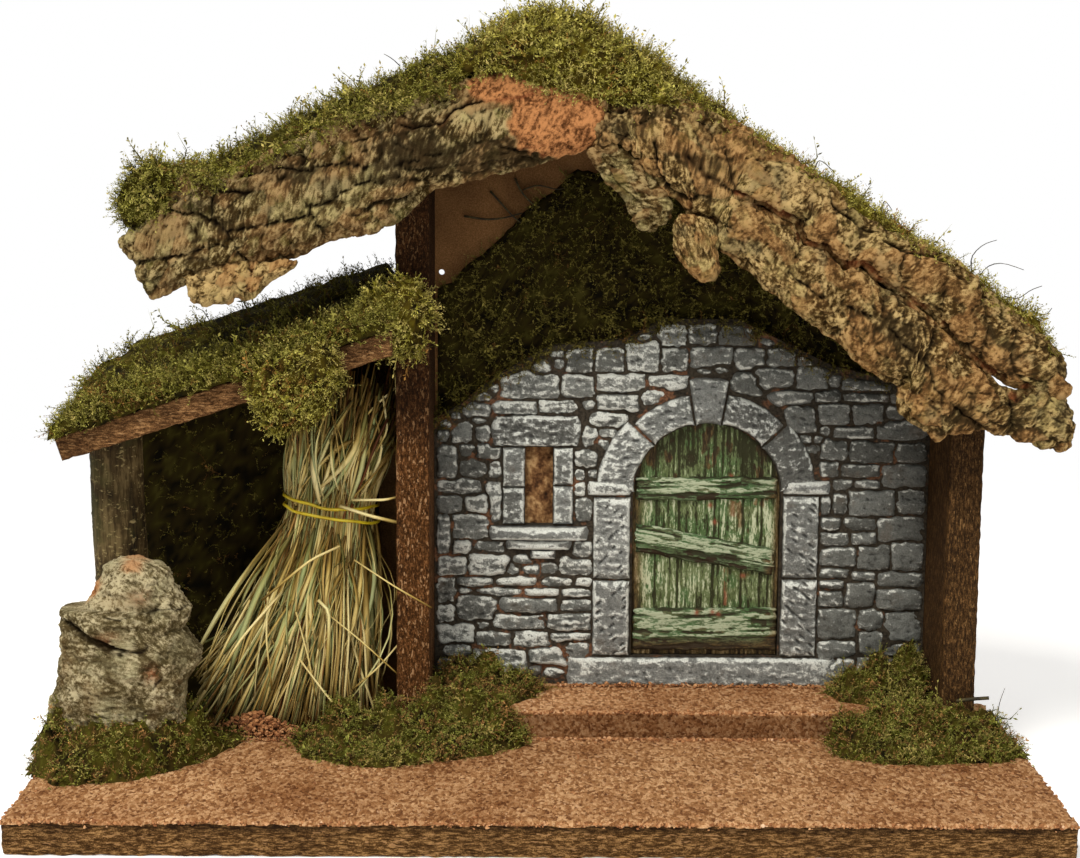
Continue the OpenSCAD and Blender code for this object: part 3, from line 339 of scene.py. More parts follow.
def loft_parts(rings, flip=False):
    """Points, faces and corner coordinates of a skin over closed rings (rings x points x 3), with a pole at
    each end."""
    rows, columns = rings.shape[:2]
    points = np.concatenate([rings.reshape(-1, 3), rings[:1].mean(1), rings[-1:].mean(1)])
    quads, uv = grid_quads(rows, columns, True)
    uv = uv * [0.94, 1] + [0.03, 0]
    j = np.arange(columns)
    k, last = (j + 1) % columns, (rows - 1) * columns
    low = np.stack([np.full(columns, rows * columns), j, k], -1)
    high = np.stack([np.full(columns, rows * columns + 1), last + k, last + j], -1)
    middle, start, end = (j + 0.5) / columns, j / columns, (j + 1) / columns
    low_uv, high_uv = (np.stack([pair(u, v, columns) for u, v in corners], 1) for corners in (
        ((0, middle), (0.03, start), (0.03, end)), ((1, middle), (0.97, end), (0.97, start))))
    faces, uvs = [quads, low, high], [uv, low_uv, high_uv]
    if flip:
        faces, uvs = [f[:, ::-1] for f in faces], [u[:, ::-1] for u in uvs]
    return points, faces, np.concatenate([u.reshape(-1, 2) for u in uvs])


def loft(name, rings, look, flip=False, values=None, **more):
    """A closed piece over rings. A value given for each ring point gets its mean at the two poles."""
    points, faces, uv = loft_parts(rings, flip)
    full = {k: np.concatenate([v.ravel(), v[:1].mean(1), v[-1:].mean(1)]) for k, v in (values or {}).items()}
    return build(name, points, faces, look, corner_uv=uv, values=full, **more)


def grid_normals(p, closed=False):
    """Unit normals of a grid of points: the cross product of its two central differences."""
    du = np.gradient(p, axis=0)
    dv = (np.roll(p, -1, 1) - np.roll(p, 1, 1)) if closed else np.gradient(p, axis=1)
    return unit(np.cross(du, dv))


def resample(line, count):
    """A polyline's points at equal steps of its length."""
    line = np.asarray(line, float)
    run = np.concatenate([[0], np.linalg.norm(np.diff(line, axis=0), axis=1).cumsum()])
    t = np.linspace(0, run[-1], count)
    return np.stack([np.interp(t, run, line[:, k]) for k in range(line.shape[1])], -1)


def join(parts):
    """Joins (points, faces, corner_uv, values) of many small meshes to one, each face list by its size."""
    shift = np.cumsum([0] + [len(part[0]) for part in parts])
    faces = []
    for (_, groups, uv, _), start in zip(parts, shift):
        used = 0
        for group in map(np.atleast_2d, groups):
            faces.append((group.shape[1], group + start, uv.reshape(-1, 2)[used:used + group.size]))
            used += group.size
    by_size = [[f for f in faces if f[0] == size] for size in sorted({f[0] for f in faces})]
    values = {k: np.concatenate([part[3][k].ravel() for part in parts]) for k in parts[0][3]}
    return (np.concatenate([part[0] for part in parts]), [np.concatenate([f[1] for f in group])
            for group in by_size], np.concatenate([f[2] for group in by_size for f in group]), values)


def dress(names, look):
    """Gives CAD pieces that stay as they are their finish."""
    for name in names:
        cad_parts[name].data.materials.clear()
        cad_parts[name].data.materials.append(look)


print("mesh helpers ready")

# %% [markdown]
# ## A short way to write materials
# Each material is a small graph: noise and cells in object coordinates, values that the mesh
# carries (how deep a crack is, which plate a point is on), colour ramps, and a bump from the same
# sources. Colours are written as the photograph's own 0 to 255 values.

# %% Material helper


def srgb(*c):
    """A photograph's 0 to 255 colour as the linear values that a shader needs."""
    c = np.array(c[:3]) / 255
    return (*np.where(c <= 0.04045, c / 12.92, ((c + 0.055) / 1.055) ** 2.4), 1)


def tinted(colour, share):
    """A colour made darker or lighter."""
    return tuple(min(255, c * share) for c in colour)


class Wire:
    """A value on its way through a material's graph. Sums, differences and products of wires are Math
    nodes."""

    def __init__(self, look, socket):
        self.look, self.socket = look, socket

    def __add__(self, other):
        return self.look.math("ADD", self, other)

    def __sub__(self, other):
        return self.look.math("SUBTRACT", self, other)

    def __mul__(self, other):
        return self.look.math("MULTIPLY", self, other)


class Look:
    """One material. Each method adds a node and returns the wire that leaves it."""

    def __init__(self, name, rough=0.8, specular=0.3, metal=0.0):
        self.made = bpy.data.materials.new(name)
        self.made.use_nodes = True
        self.tree = self.made.node_tree
        self.shader = self.tree.nodes["Principled BSDF"]
        for key, value in (("Roughness", rough), ("Specular IOR Level", specular), ("Metallic", metal)):
            self.shader.inputs[key].default_value = value
        self.object = Wire(self, self.tree.nodes.new("ShaderNodeTexCoord").outputs["Object"])

    def put(self, value, socket):
        """Plugs a wire into a socket, or sets the socket's own value."""
        if isinstance(value, Wire):
            self.tree.links.new(value.socket, socket)
        else:
            socket.default_value = value

    def add(self, kind, out=0, settings=None, inputs=(), **named):
        """A node, with its settings, its inputs in order and its named inputs."""
        node = self.tree.nodes.new("ShaderNode" + kind)
        for key, value in (settings or {}).items():
            setattr(node, key, value)
        for key, value in [*enumerate(inputs), *named.items()]:
            self.put(value, node.inputs[key])
        return Wire(self, node.outputs[out])

    def stretch(self, x=1, y=1, z=1, turn=(0, 0, 0)):
        return self.add("Mapping", Vector=self.object, Rotation=turn, Scale=(x, y, z))

    def noise(self, scale, detail=3, rough=0.6, where=None, out=0):
        return self.add("TexNoise", out, Vector=where or self.object, Scale=scale, Detail=detail,
                        Roughness=rough)

    def cells(self, scale, out, where):
        return self.add("TexVoronoi", out, Vector=where, Scale=scale)

    def math(self, kind, a, b=0.0):
        return self.add("Math", 0, {"operation": kind}, (a, b))

    def span(self, value, low, high):
        """0 below low, 1 above high, smooth between."""
        return self.add("MapRange", 0, {"interpolation_type": "SMOOTHSTEP"}, (value, low, high))

    def value(self, name):
        """A value that the mesh carries for each point."""
        return self.add("Attribute", "Fac", {"attribute_name": name})

    def uv(self, axis):
        return self.add("SeparateXYZ", axis, None, (self.add("UVMap", 0, {"uv_map": "OFBake"}),))

    def ramp(self, value, *stops):
        """A colour for each value, from stops (value, colour)."""
        ramp = self.tree.nodes.new("ShaderNodeValToRGB")
        band = ramp.color_ramp
        while len(band.elements) < len(stops):
            band.elements.new(0.5)
        for element, (place, colour) in zip(band.elements, stops):
            element.position, element.color = place, srgb(*colour)
        self.put(value, ramp.inputs[0])
        return Wire(self, ramp.outputs[0])

    def mix(self, share, a, b, kind="MIX"):
        """Colour a with a share of colour b over it."""
        node = self.tree.nodes.new("ShaderNodeMix")
        node.data_type, node.blend_type = "RGBA", kind
        self.put(share, node.inputs[0])
        for socket, value in ((node.inputs[6], a), (node.inputs[7], b)):
            self.put(value if isinstance(value, Wire) else srgb(*value), socket)
        return Wire(self, node.outputs[2])

    def multiply(self, tone, by, share=1.0):
        """A colour darkened by another."""
        return self.mix(share, tone, by, "MULTIPLY")

    def done(self, colour, height=None, depth=0.4, strength=0.7):
        """The finished material: its colour and, from a height, its bumps, depth mm deep."""
        self.put(colour, self.shader.inputs["Base Color"])
        if height is not None:
            bump = self.add("Bump", Height=height, Distance=depth * MM, Strength=strength)
            self.put(bump, self.shader.inputs["Normal"])
        return self.made


print("material helper ready")

# %% [markdown]
# ## Boards
# The boards are pressed chips. A saw tears the edge of such a board, so the edges that show are
# rough and fibrous, while the faces are flat. Each board is a row of rings with most of its points
# on the torn edge, pushed in and out by cells that are drawn out along the chips.

# %% Materials of boards and cork


def chip_look(name, stops, along, scale=1500, lift=0.4, fleck=None, share=0.62):
    """Pressed fibres: noise drawn out along the fibres in browns, with pale flecks. along says how much
    longer x, y, z are."""
    m = Look(name, 0.85, 0.08)
    where = m.stretch(*[1 / a for a in along])
    fibre, fine = m.noise(scale * 0.62, 5, 0.82, where), m.noise(scale * 1.1, 3, 0.75)
    mixed = fibre * 0.72 + fine * 0.28
    tone = m.ramp(mixed, *[(0.5 + (place - 0.5) * 0.62, colour) for place, colour in stops])
    if fleck:
        tone = m.mix(m.span(m.noise(scale * 0.55, 2, 0.6, where), share, share + 0.04) * 0.8, tone, fleck)
    shade = m.ramp(m.noise(30, 3), (0.3, (165, 160, 155)), (0.65, (255, 255, 255)))
    tone = m.multiply(tone, shade, 0.7)
    return m.done(m.multiply(tone, (128, 122, 112), m.value("dim")), mixed, lift, 0.9)


def cork_look(name, stops, scale=720, patch=(188, 166, 146)):
    """Cork granules: a random tone for each grain, dust between, dark crumbs, pale chips and broad stains."""
    m = Look(name, 0.92, 0.08)
    flat = m.stretch(1, 0.55, 1)
    jostle = m.add("VectorMath", 0, {"operation": "SCALE"}, (m.noise(900, 2, out=1),), Scale=0.0011)
    wander = m.add("VectorMath", 0, {"operation": "ADD"}, (flat, jostle))
    grain = m.cells(scale, "Distance", wander)
    mark = m.add("SeparateColor", 0, None, (m.cells(scale, "Color", wander),))
    fine, mid = m.noise(1450, 3, 0.8, flat), m.noise(620, 4, 0.8, flat)
    level = mark * 0.34 + fine * 0.5 + mid * 0.42
    tone = m.ramp(level, *[(0.63 + (place - 0.63) * 0.72, colour) for place, colour in stops])
    tone = m.mix(m.span(m.noise(420, 3, 0.75, flat), 0.63, 0.69) * 0.75, tone, (104, 66, 40))
    tone = m.mix(m.span(m.noise(330, 3, 0.7, flat), 0.65, 0.68) * 0.6, tone, (224, 184, 148))
    stain = m.ramp(m.noise(24, 4, 0.65), (0.32, patch), (0.6, (255, 255, 255)))
    tone = m.multiply(m.multiply(tone, stain, 0.8), (188, 184, 178), m.value("dim"))
    height = mid * 1.2 + fine - grain * 0.4
    return m.done(tone, height, 0.8, 0.9)


post_look = chip_look("post_chips", ((0.3, (36, 18, 3)), (0.44, (62, 38, 16)), (0.55, (96, 60, 29)),
                                     (0.68, (154, 108, 66))), (1, 1, 2.6), 1350, 0.6, fleck=(186, 144, 102),
                      share=0.6)
post_dark_look = chip_look("post_chips_dark", ((0.3, (24, 15, 7)), (0.46, (50, 34, 17)),
        (0.56, (78, 54, 28)), (0.68, (122, 90, 54))), (1, 1, 4), fleck=(136, 104, 64), share=0.65)
rim_look = chip_look("base_chips", ((0.3, (44, 24, 4)), (0.43, (66, 43, 18)), (0.53, (104, 73, 38)),
                                    (0.64, (172, 132, 84))), (4.5, 4.5, 1), 1500, 0.7, (176, 134, 90), 0.63)
eave_look = chip_look("eave_chips", ((0.3, (40, 22, 6)), (0.45, (78, 52, 28)), (0.55, (114, 80, 48)),
                                     (0.67, (164, 124, 80))), (4, 1, 1), fleck=(168, 130, 88))
board_look = chip_look("board_brown", ((0.3, (46, 32, 18)), (0.5, (72, 50, 28)), (0.68, (98, 70, 42))),
                       (1, 1, 1), 1500, 0.15)
panel_look = chip_look("panel_brown", ((0.3, (92, 62, 34)), (0.5, (116, 82, 48)), (0.68, (138, 102, 64))),
                       (1, 1, 1), 1900, 0.1, (92, 58, 30), 0.66)
shed_panel_look = chip_look("shed_panel_dark", ((0.3, (98, 72, 42)), (0.5, (128, 95, 58)),
        (0.68, (156, 118, 76))), (1, 1, 1), 1500, 0.15)
ground_look = cork_look("ground_cork", ((0.36, (110, 70, 42)), (0.53, (160, 112, 70)),
                                        (0.68, (184, 137, 92)), (0.86, (222, 178, 132))))
step_look = cork_look("step_cork", ((0.36, (122, 78, 48)), (0.53, (172, 120, 76)), (0.68, (200, 148, 102)),
                                    (0.86, (230, 186, 140))))
print("materials:", len(bpy.data.materials))

# %% Base board, ground, step and walls
BASE_W, BASE_D, BASE_T = 500, 200, 15
GROUND, STEP, FRONT, PANEL, SLAB, DOOR = 17.0, 31.3, 30.0, 95.0, 84.0, 90.0
WALLS = {"left": (-75.0, -58.0), "right": (211.0, 228.0)}
RIDGE, ROOF_T = (14.0, 373.0), 12
LEFT_PITCH, RIGHT_PITCH, SHED_PITCH = np.radians([21, 33.4, 18.1])
SHED_EAVE, SHED_FRONT, SHED_BACK = (-241, 167.4), 5, 106


def roof_line(x):
    """Upper face of the main roof boards over x: the ridge's height less the pitch's slope times the distance
    from it."""
    x = np.asarray(x, float) - RIDGE[0]
    return RIDGE[1] - np.where(x < 0, -x * math.tan(LEFT_PITCH), x * math.tan(RIGHT_PITCH))


def roof_under(x):
    """Underside of the main roof boards over x."""
    return roof_line(x) - ROOF_T / np.cos(np.where(np.asarray(x) < RIDGE[0], LEFT_PITCH, RIGHT_PITCH))


def shed_under(x):
    """Underside of the shed's roof board over x."""
    return SHED_EAVE[1] + (np.asarray(x, float) - SHED_EAVE[0]) * math.tan(SHED_PITCH)


def shed_top(x):
    """Upper face of the shed's roof board over x."""
    return shed_under(x) + ROOF_T / math.cos(SHED_PITCH)


def box_ring(counts):
    """Shares (s, t) round a unit square from its front left corner, with counts points on each side."""
    sides = []
    for (a, b), n in zip((((0, 0), (1, 0)), ((1, 0), (1, 1)), ((1, 1), (0, 1)), ((0, 1), (0, 0))), counts):
        k = np.arange(n)[:, None] / n
        sides.append(np.array(a) * (1 - k) + np.array(b) * k)
    return np.concatenate(sides)


def torn(points, amount, stretch, size, seed):
    """Pushes a closed grid of points along its normals by chips: noise drawn out by stretch, times amount."""
    q = points / (np.array(stretch) * size)
    chips = noise(q, seed) + 0.6 * noise(q * 2.3 + 5, seed + 1)
    coarse = layers(points / 9, seed + 2, 2)
    return points + grid_normals(points, True) * (amount * (0.7 * chips + 0.5 * coarse))[..., None]


def outward(points):
    """True if the rings of a closed loft turn so that its faces look outwards, from the volume that they
    hold."""
    quads, _ = grid_quads(*points.shape[:2], True)
    p = points.reshape(-1, 3) - points.reshape(-1, 3).mean(0)
    a, b, c = p[quads[:, 0]], p[quads[:, 1]], p[quads[:, 2]]
    return float(np.einsum("ij,ij->i", a, np.cross(b, c)).sum()) > 0


def solid(name, rings, look, amount, stretch, size, seed, **more):
    """A closed loft that is torn by amount and whose faces look outwards."""
    amount = np.broadcast_to(amount, rings.shape[:2])
    if not outward(rings):
        rings, amount = rings[:, ::-1], amount[:, ::-1]
    return loft(name, torn(rings, amount, stretch, size, seed), look, **more)


def rounded_rim(w, d, r, step):
    """Points round a rectangle of w by d about the origin, with corner radius r."""
    corner = np.linspace(0, math.pi / 2, 7)
    line = []
    for k, (x, y) in enumerate(((1, -1), (1, 1), (-1, 1), (-1, -1))):
        a = corner + (k - 1) * math.pi / 2
        line.append(np.stack([x * (w / 2 - r) + r * np.cos(a), y * (d / 2 - r) + r * np.sin(a)], -1))
    line = np.concatenate(line)
    line = np.concatenate([line, line[:1]])
    return resample(line, int((2 * w + 2 * d) / step) + 1)[:-1]


rim = rounded_rim(BASE_W, BASE_D, 3, 1.5)
steps = np.array([0, 0.02, 0.07, 0.14, 0.22, 0.3, 0.38, 0.46, 0.54, 0.62, 0.7, 0.78, 0.86, 0.93, 0.98, 1])
inset = np.array([0.9, 0.35, 0.1] + [0] * 10 + [0.1, 0.3, 0.6])
share = 1 - inset[:, None] / (BASE_W / 2)
rings = places(rim[:, 0] * share, rim[:, 1] * share, BASE_T * steps[:, None])
uneven = 1.5 * layers(rings * [1, 1, 0] / 12, 6, 3)
solid("base_board_chips", rings, rim_look, 0.7, (3.6, 3.6, 1), 1.5, 4, node="base_board", slot="base_wood",
      values={"dim": 0.15 + 0.7 * smooth(rings[..., 2] + uneven, 11, 14)})


def skin(points, lift, seed, grain=2.1):
    """Raises a grid of points along its normals by grains of uneven height, lift high, and by noise from 1 to
    9 mm."""
    u = points[..., 0] / grain + 0.5 * noise(points / 3, seed + 7)
    v = (points[..., 1] + points[..., 2]) / grain + 0.5 * noise(points / 3, seed + 8)
    d1, _, mark = cells(u, v, seed)
    bump = (1 - d1 / 0.9) * np.maximum(mark - 0.35, 0) * 1.3
    bump = bump + 0.5 * layers(points / 1.9, seed + 5, 2, 0.7) + 0.4 * layers(points / 9, seed + 3, 3)
    return points + grid_normals(points) * (lift * bump)[..., None]


def open_ground(x, y, z):
    """True for the ground that the house doesn't stand on."""
    return ~((x > WALLS["left"][0] + 2) & (x < WALLS["right"][1] - 2) & (y > FRONT + 3))


SKIN_X, SKIN_Y, PITCH = BASE_W / 2 - 0.6, BASE_D / 2 - 0.6, 1.8
X, Y = np.meshgrid(np.arange(-SKIN_X, SKIN_X + 0.1, PITCH), np.arange(-SKIN_Y, SKIN_Y + 0.1, PITCH),
                   indexing="ij")
edge = np.minimum(SKIN_X - np.abs(X), SKIN_Y - np.abs(Y))
top = skin(places(X, Y, GROUND - 0.5 * np.exp(-(edge / 1.5) ** 2) - 0.1), 0.75, 21)
wander = 1.5 * layers(places(X / 5, Y / 5), 31, 3) * np.exp(-(edge / 2.5) ** 2)
top[..., 0] += wander * np.sign(X) * (SKIN_X - np.abs(X) < 4)
top[..., 1] += wander * np.sign(Y) * (SKIN_Y - np.abs(Y) < 4)
build_grid("ground_granules", hemmed(top, 2, BASE_T - 0.4), ground_look, "ground_cork", "cork_granules",
           flip=False, keep=open_ground)

x = np.arange(WALLS["left"][1] - 0.5, WALLS["right"][0] + 1, 1.5)
profile = resample([(30.6, 15.5), (30.2, 29.6), (30.6, 30.8), (31.8, STEP), (84.6, STEP)], 56)
P = places(x[:, None], profile[:, 0], profile[:, 1])
P[..., 1] += 0.8 * layers(P[..., [0, 2, 1]] * [1, 1, 0] / 6, 41, 3) * (profile[:, 0] < 32)
P = skin(P, 0.6, 43)
dim = np.clip(1.1 * (P[..., 2] < 30.2) + 0.4 * smooth(P[..., 1], 66, 84), 0, 1)
build_grid("step_granules", P, step_look, "step_cork", "cork_granules", {"dim": dim}, flip=False)

ring = box_ring((18, 12, 4, 12))
front_rough = np.select([ring[:, 1] < 0.02, ring[:, 1] < 0.12], [0.44, 0.15], 0.02)
t = np.linspace(0, 1, 190)[:, None]
for side, (x0, x1) in WALLS.items():
    wx = x0 + (x1 - x0) * ring[:, 0]
    rings = places(wx, FRONT + (PANEL - FRONT) * ring[:, 1], BASE_T + t * (roof_under(wx) - 0.2 - BASE_T))
    lit = side == "left"
    dim = 0.15 + 0.75 * smooth(rings[..., 2], 150, 205) if lit else 0 * rings[..., 2]
    solid(f"wall_{side}_chips", rings, post_look if lit else post_dark_look, front_rough, (1, 1, 3.5), 1.1,
          51 + len(side), node=f"wall_panel_{side}", slot="chipboard", values={"dim": dim})

ring = box_ring((12, 22, 12, 22))
t = np.linspace(0, 1, 150)[:, None]
sx0 = SHED_EAVE[0] - ROOF_T * math.sin(SHED_PITCH) * ring[:, 0]
sx = sx0 + t * (WALLS["left"][0] - 0.2 - sx0)
rings = places(sx, SHED_FRONT + (SHED_BACK - SHED_FRONT) * ring[:, 1],
               shed_under(sx) + ring[:, 0] * ROOF_T / math.cos(SHED_PITCH))
solid("eave_chips", rings, eave_look, np.where(ring[:, 1] < 0.02, 0.5, 0.05), (4, 1, 1), 1.2, 61,
      node="shed_roof_board", slot="chipboard")

dress(("step_board", "roof_board_left", "roof_board_right"), board_look)
dress(("back_panel",), panel_look)
dress(("shed_back_panel",), shed_panel_look)

# %% [markdown]
# ## The stone front
# The front is one casting, painted grey and then brushed with pale paint that only catches the
# high places. Every stone is a grid. Its rim starts at a box read off the photograph and grows
# outwards until it nearly meets its neighbours, its face is hewn from a few random planes, and it
# carries how far each point stands above its surroundings: the brush touches those points.

# %% Materials of the casting


def stone_look(name, dark, mid, pale):
    """Brushed casting: a mottled grey body that varies from stone to stone, a thin wash of pale paint and, on
    the highest places, a thick one."""
    m = Look(name, 0.68, 0.3)
    high, shade, brush = m.value("high"), m.value("shade"), m.value("brush")
    wash, fine, mottle = m.noise(330, 7, 0.78), m.noise(1300, 3, 0.78), m.noise(150, 5, 0.8)
    scratch = m.noise(480, 5, 0.8, m.stretch(0.55, 1, 1.5, turn=(0, 0.5, 0)))
    between = tuple((a + b) / 2 for a, b in zip(dark, mid))
    body = m.ramp(mottle * 0.45 + fine * 0.55, (0.38, between), (0.5, mid), (0.62, tinted(mid, 1.22)))
    body = m.multiply(body, m.ramp(shade, (0, (188, 186, 182)), (1, (255, 255, 255))))
    body = m.mix(m.span(high, 0.3, 0.08) * 0.85, body, tinted(dark, 0.6))
    body = m.mix(m.span(m.noise(38, 4, 0.7), 0.56, 0.7) * 0.3, body, (100, 80, 58))
    cover = high * 0.85 + wash * 0.85 + scratch * 0.5 + fine * 0.35 + brush * 0.15
    tone = m.mix(m.span(cover, 1.33, 1.45) * 0.5, body, tinted(pale, 0.74))
    thick = m.mix(m.span(fine, 0.38, 0.56), tinted(pale, 0.82), pale)
    tone = m.mix(m.span(cover, 1.45, 1.53) * 0.95, tone, thick)
    return m.done(tone, fine * 0.7 + wash, 0.6, 0.9)


rubble_look = stone_look("wall_stone", (50, 49, 44), (110, 112, 107), (216, 218, 209))
dressed_look = stone_look("dressed_stone", (58, 57, 53), (118, 120, 116), (222, 225, 217))


def joint_look():
    """The casting between the stones: dark grey-brown, with rust-brown grout mostly on the left."""
    m = Look("joints", 0.85, 0.2)
    fine = m.noise(600, 4, 0.7)
    red = m.span(m.noise(52, 4, 0.7) + m.value("brush") * 0.04, 0.58, 0.65)
    grey, rust = (m.ramp(fine, (0.35, low), (0.65, high)) for low, high in (
        ((24, 20, 14), (66, 58, 46)), ((60, 36, 22), (134, 92, 64))))
    return m.done(m.mix(red * 0.85, grey, rust), fine, 0.6, 0.8)


mortar_look = joint_look()

# %% Places on the front
SPREAD, DROP = 269 / 500, 202.4 / 366
FRONT_LEFT_PX, FRONT_FOOT_PX = 432, 686


def fx(p):
    """A pixel place across the front, on the model: the clear width is 500 pixels of it."""
    return WALLS["left"][1] + (np.asarray(p, float) - FRONT_LEFT_PX) * SPREAD


def fz(p):
    """A pixel place down the front, on the model."""
    return STEP + (FRONT_FOOT_PX - np.asarray(p, float)) * DROP


LEFT = """460 487 405 416 499 557 377 399 492 535 402 415 451 471 424 441 474 490 427 440 433 454 449 478
458 486 462 475 434 476 481 493 433 457 496 512 466 487 496 511 433 448 516 553 451 488 516 538
452 466 541 553 477 503 541 552 574 593 541 556 433 464 558 575 468 503 555 575 560 593 559 575
455 489 578 586 497 534 578 586 540 573 578 586 576 593 578 586 433 453 579 603 477 521 589 595
525 558 589 596 563 592 589 597 503 557 599 613 561 593 600 611 455 491 597 619 433 452 606 623
494 545 616 630 548 593 614 631 433 472 627 643 475 510 633 647 551 591 634 641 513 548 633 648
565 590 644 656 444 468 647 658 530 562 650 664 433 470 661 682 474 526 651 680 476 499 446 458
488 500 462 476 574 592 451 466 574 584 469 479 574 585 483 495 575 593 498 518 488 500 482 520
581 594 429 444"""
RIGHT_STONES = """843 888 381 389 843 886 392 400 817 850 403 421 853 884 403 422 834 875 426 436
878 930 422 438 824 848 439 457 852 895 440 460 899 930 441 459 824 840 461 474 843 882 463 475
886 930 463 484 836 854 478 486 858 882 478 486 852 898 489 513 901 930 488 511 824 833 495 512
836 850 493 511 824 844 516 528 847 879 516 528 883 930 515 538 824 852 531 543 856 880 531 542
824 860 547 564 863 895 545 567 898 930 541 568 824 853 567 576 857 881 571 578 884 930 571 585
824 849 579 587 824 847 590 605 852 880 582 605 884 930 588 608 824 862 609 637 865 890 609 628
893 930 612 640 824 863 641 656 867 889 632 654 845 862 659 680 865 895 658 682 893 930 643 655
898 930 659 682"""
TOP = """565 591 350 372 594 622 352 371 625 657 345 371 660 684 326 346 660 684 349 370 687 714 326 344
717 750 329 344 560 592 377 397 596 643 375 390 538 575 401 412 596 636 396 409 767 792 350 365
796 826 369 388 757 793 369 384 775 812 391 401 815 840 391 401 642 662 390 403 592 624 413 425
648 688 376 387 734 756 377 392 788 817 406 430 734 762 350 364 690 730 348 364"""


def boxes(text):
    """Pixel boxes written as text, as x0, x1, z0, z1 in millimetres."""
    p = np.array(text.split(), float).reshape(-1, 4)
    return np.stack([fx(p[:, 0]), fx(p[:, 1]), fz(p[:, 3]), fz(p[:, 2])], -1)


DRESSED = {"imposts": "587 631 481 494 785 832 479 492", "jambs": "594 630 497 578 594 630 581 656 786 821 "
    "495 576 786 821 579 656", "threshold": "567 843 659 686", "lintel": "490 580 416 446",
           "casing": "502 523 448 486 502 523 488 523 553 572 448 484 553 572 486 523",
           "sill": "488 588 526 539", "corbels": "505 571 540 549 530 555 550 558",
           "window": "524 552 447 524"}
ARCH_LEFT, ARCH_RIGHT, ARCH_Z = float(fx(633)), float(fx(783)), float(fz(495))
ARCH_C, ARCH_R = (ARCH_LEFT + ARCH_RIGHT) / 2, (ARCH_RIGHT - ARCH_LEFT) / 2
RING_W, KEY_W = 17.0, 25.0
TOP_EDGE = np.array([[432, 420], [460, 404], [500, 374], [550, 347], [625, 340], [660, 320], [735, 320],
                     [790, 345], [830, 364], [890, 379], [932, 398]])


def top_edge(x):
    """Height of the casting's upper edge over x."""
    return np.interp(x, fx(TOP_EDGE[:, 0]), fz(TOP_EDGE[:, 1]))


def box_gap(x, z, box):
    """Distance from places to boxes, one more axis for the boxes."""
    x, z = x[..., None], z[..., None]
    aside = np.maximum(0, np.maximum(box[:, 0] - x, x - box[:, 1]))
    above = np.maximum(0, np.maximum(box[:, 2] - z, z - box[:, 3]))
    return np.hypot(aside, above)


def edge_gap(x, z):
    """Distance to the arch ring, the keystone and the casting's own edge, negative inside them."""
    wide = np.where(np.abs(x - ARCH_C) < 11, KEY_W, RING_W) + 2.6 * (z < ARCH_Z + 24)
    arch = np.where(z > ARCH_Z - 2, np.hypot(x - ARCH_C, z - ARCH_Z) - ARCH_R - wide, 99.0)
    sides = np.minimum(x - WALLS["left"][1] - 0.6, WALLS["right"][0] - 0.6 - x)
    rims = np.minimum(z - STEP - 0.2, top_edge(x) - 1 - z)
    return np.minimum(arch, np.minimum(sides, rims))


listed = {"left": boxes(LEFT), "right": boxes(RIGHT_STONES), "top": boxes(TOP)}
fixed = [boxes(t) for t in DRESSED.values()] + [boxes("633 783 440 657")]
every = np.concatenate([*listed.values(), *fixed])
rng = np.random.default_rng(19)
fill = []
for spot in rng.uniform([-57, 32], [210, 236], (5000, 1, 2)):
    x, z = spot.T
    gap = min(box_gap(x, z, every).min(), edge_gap(x, z)[0])
    if gap > 2.9:
        h = min(gap * 0.6, 3.4)
        fill.append(np.concatenate([x - h * 1.3, x + h * 1.3, z - h * 0.7, z + h * 0.7])[None])
        every = np.concatenate([every, fill[-1]])
print("stones read off:", sum(map(len, listed.values())), "filled in:", len(fill))
listed["fill"] = np.concatenate(fill)

# %% Hewn stones
JOINT, GROWTH, RIM_WORN = 0.55, 5.8, 0.6


def blur(v, r=2):
    """Mean over the (2 r + 1) squared neighbours, with zero outside."""
    for axis in (0, 1):
        p = np.pad(v, [(r, r) if k == axis else (0, 0) for k in (0, 1)])
        n = v.shape[axis]
        v = sum(np.take(p, np.arange(s, s + n), axis) for s in range(2 * r + 1)) / (2 * r + 1)
    return v


def chisel_cuts(x, z, slope, rng, count=16):
    """Depths of short grooves that slope across a stone from its foot to its top."""
    depth = 0 * x
    for cx, cz in zip(rng.uniform(x.min() + 2, x.max() - 2, count), np.linspace(z.min() + 2, z.max() - 2,
            count)):
        u, v = (x - cx) + (z - cz) * slope, (z - cz) - (x - cx) * slope
        depth = depth + 1.5 * np.exp(-((v / 0.7) ** 2) - (u / 2.2) ** 2)
    return depth


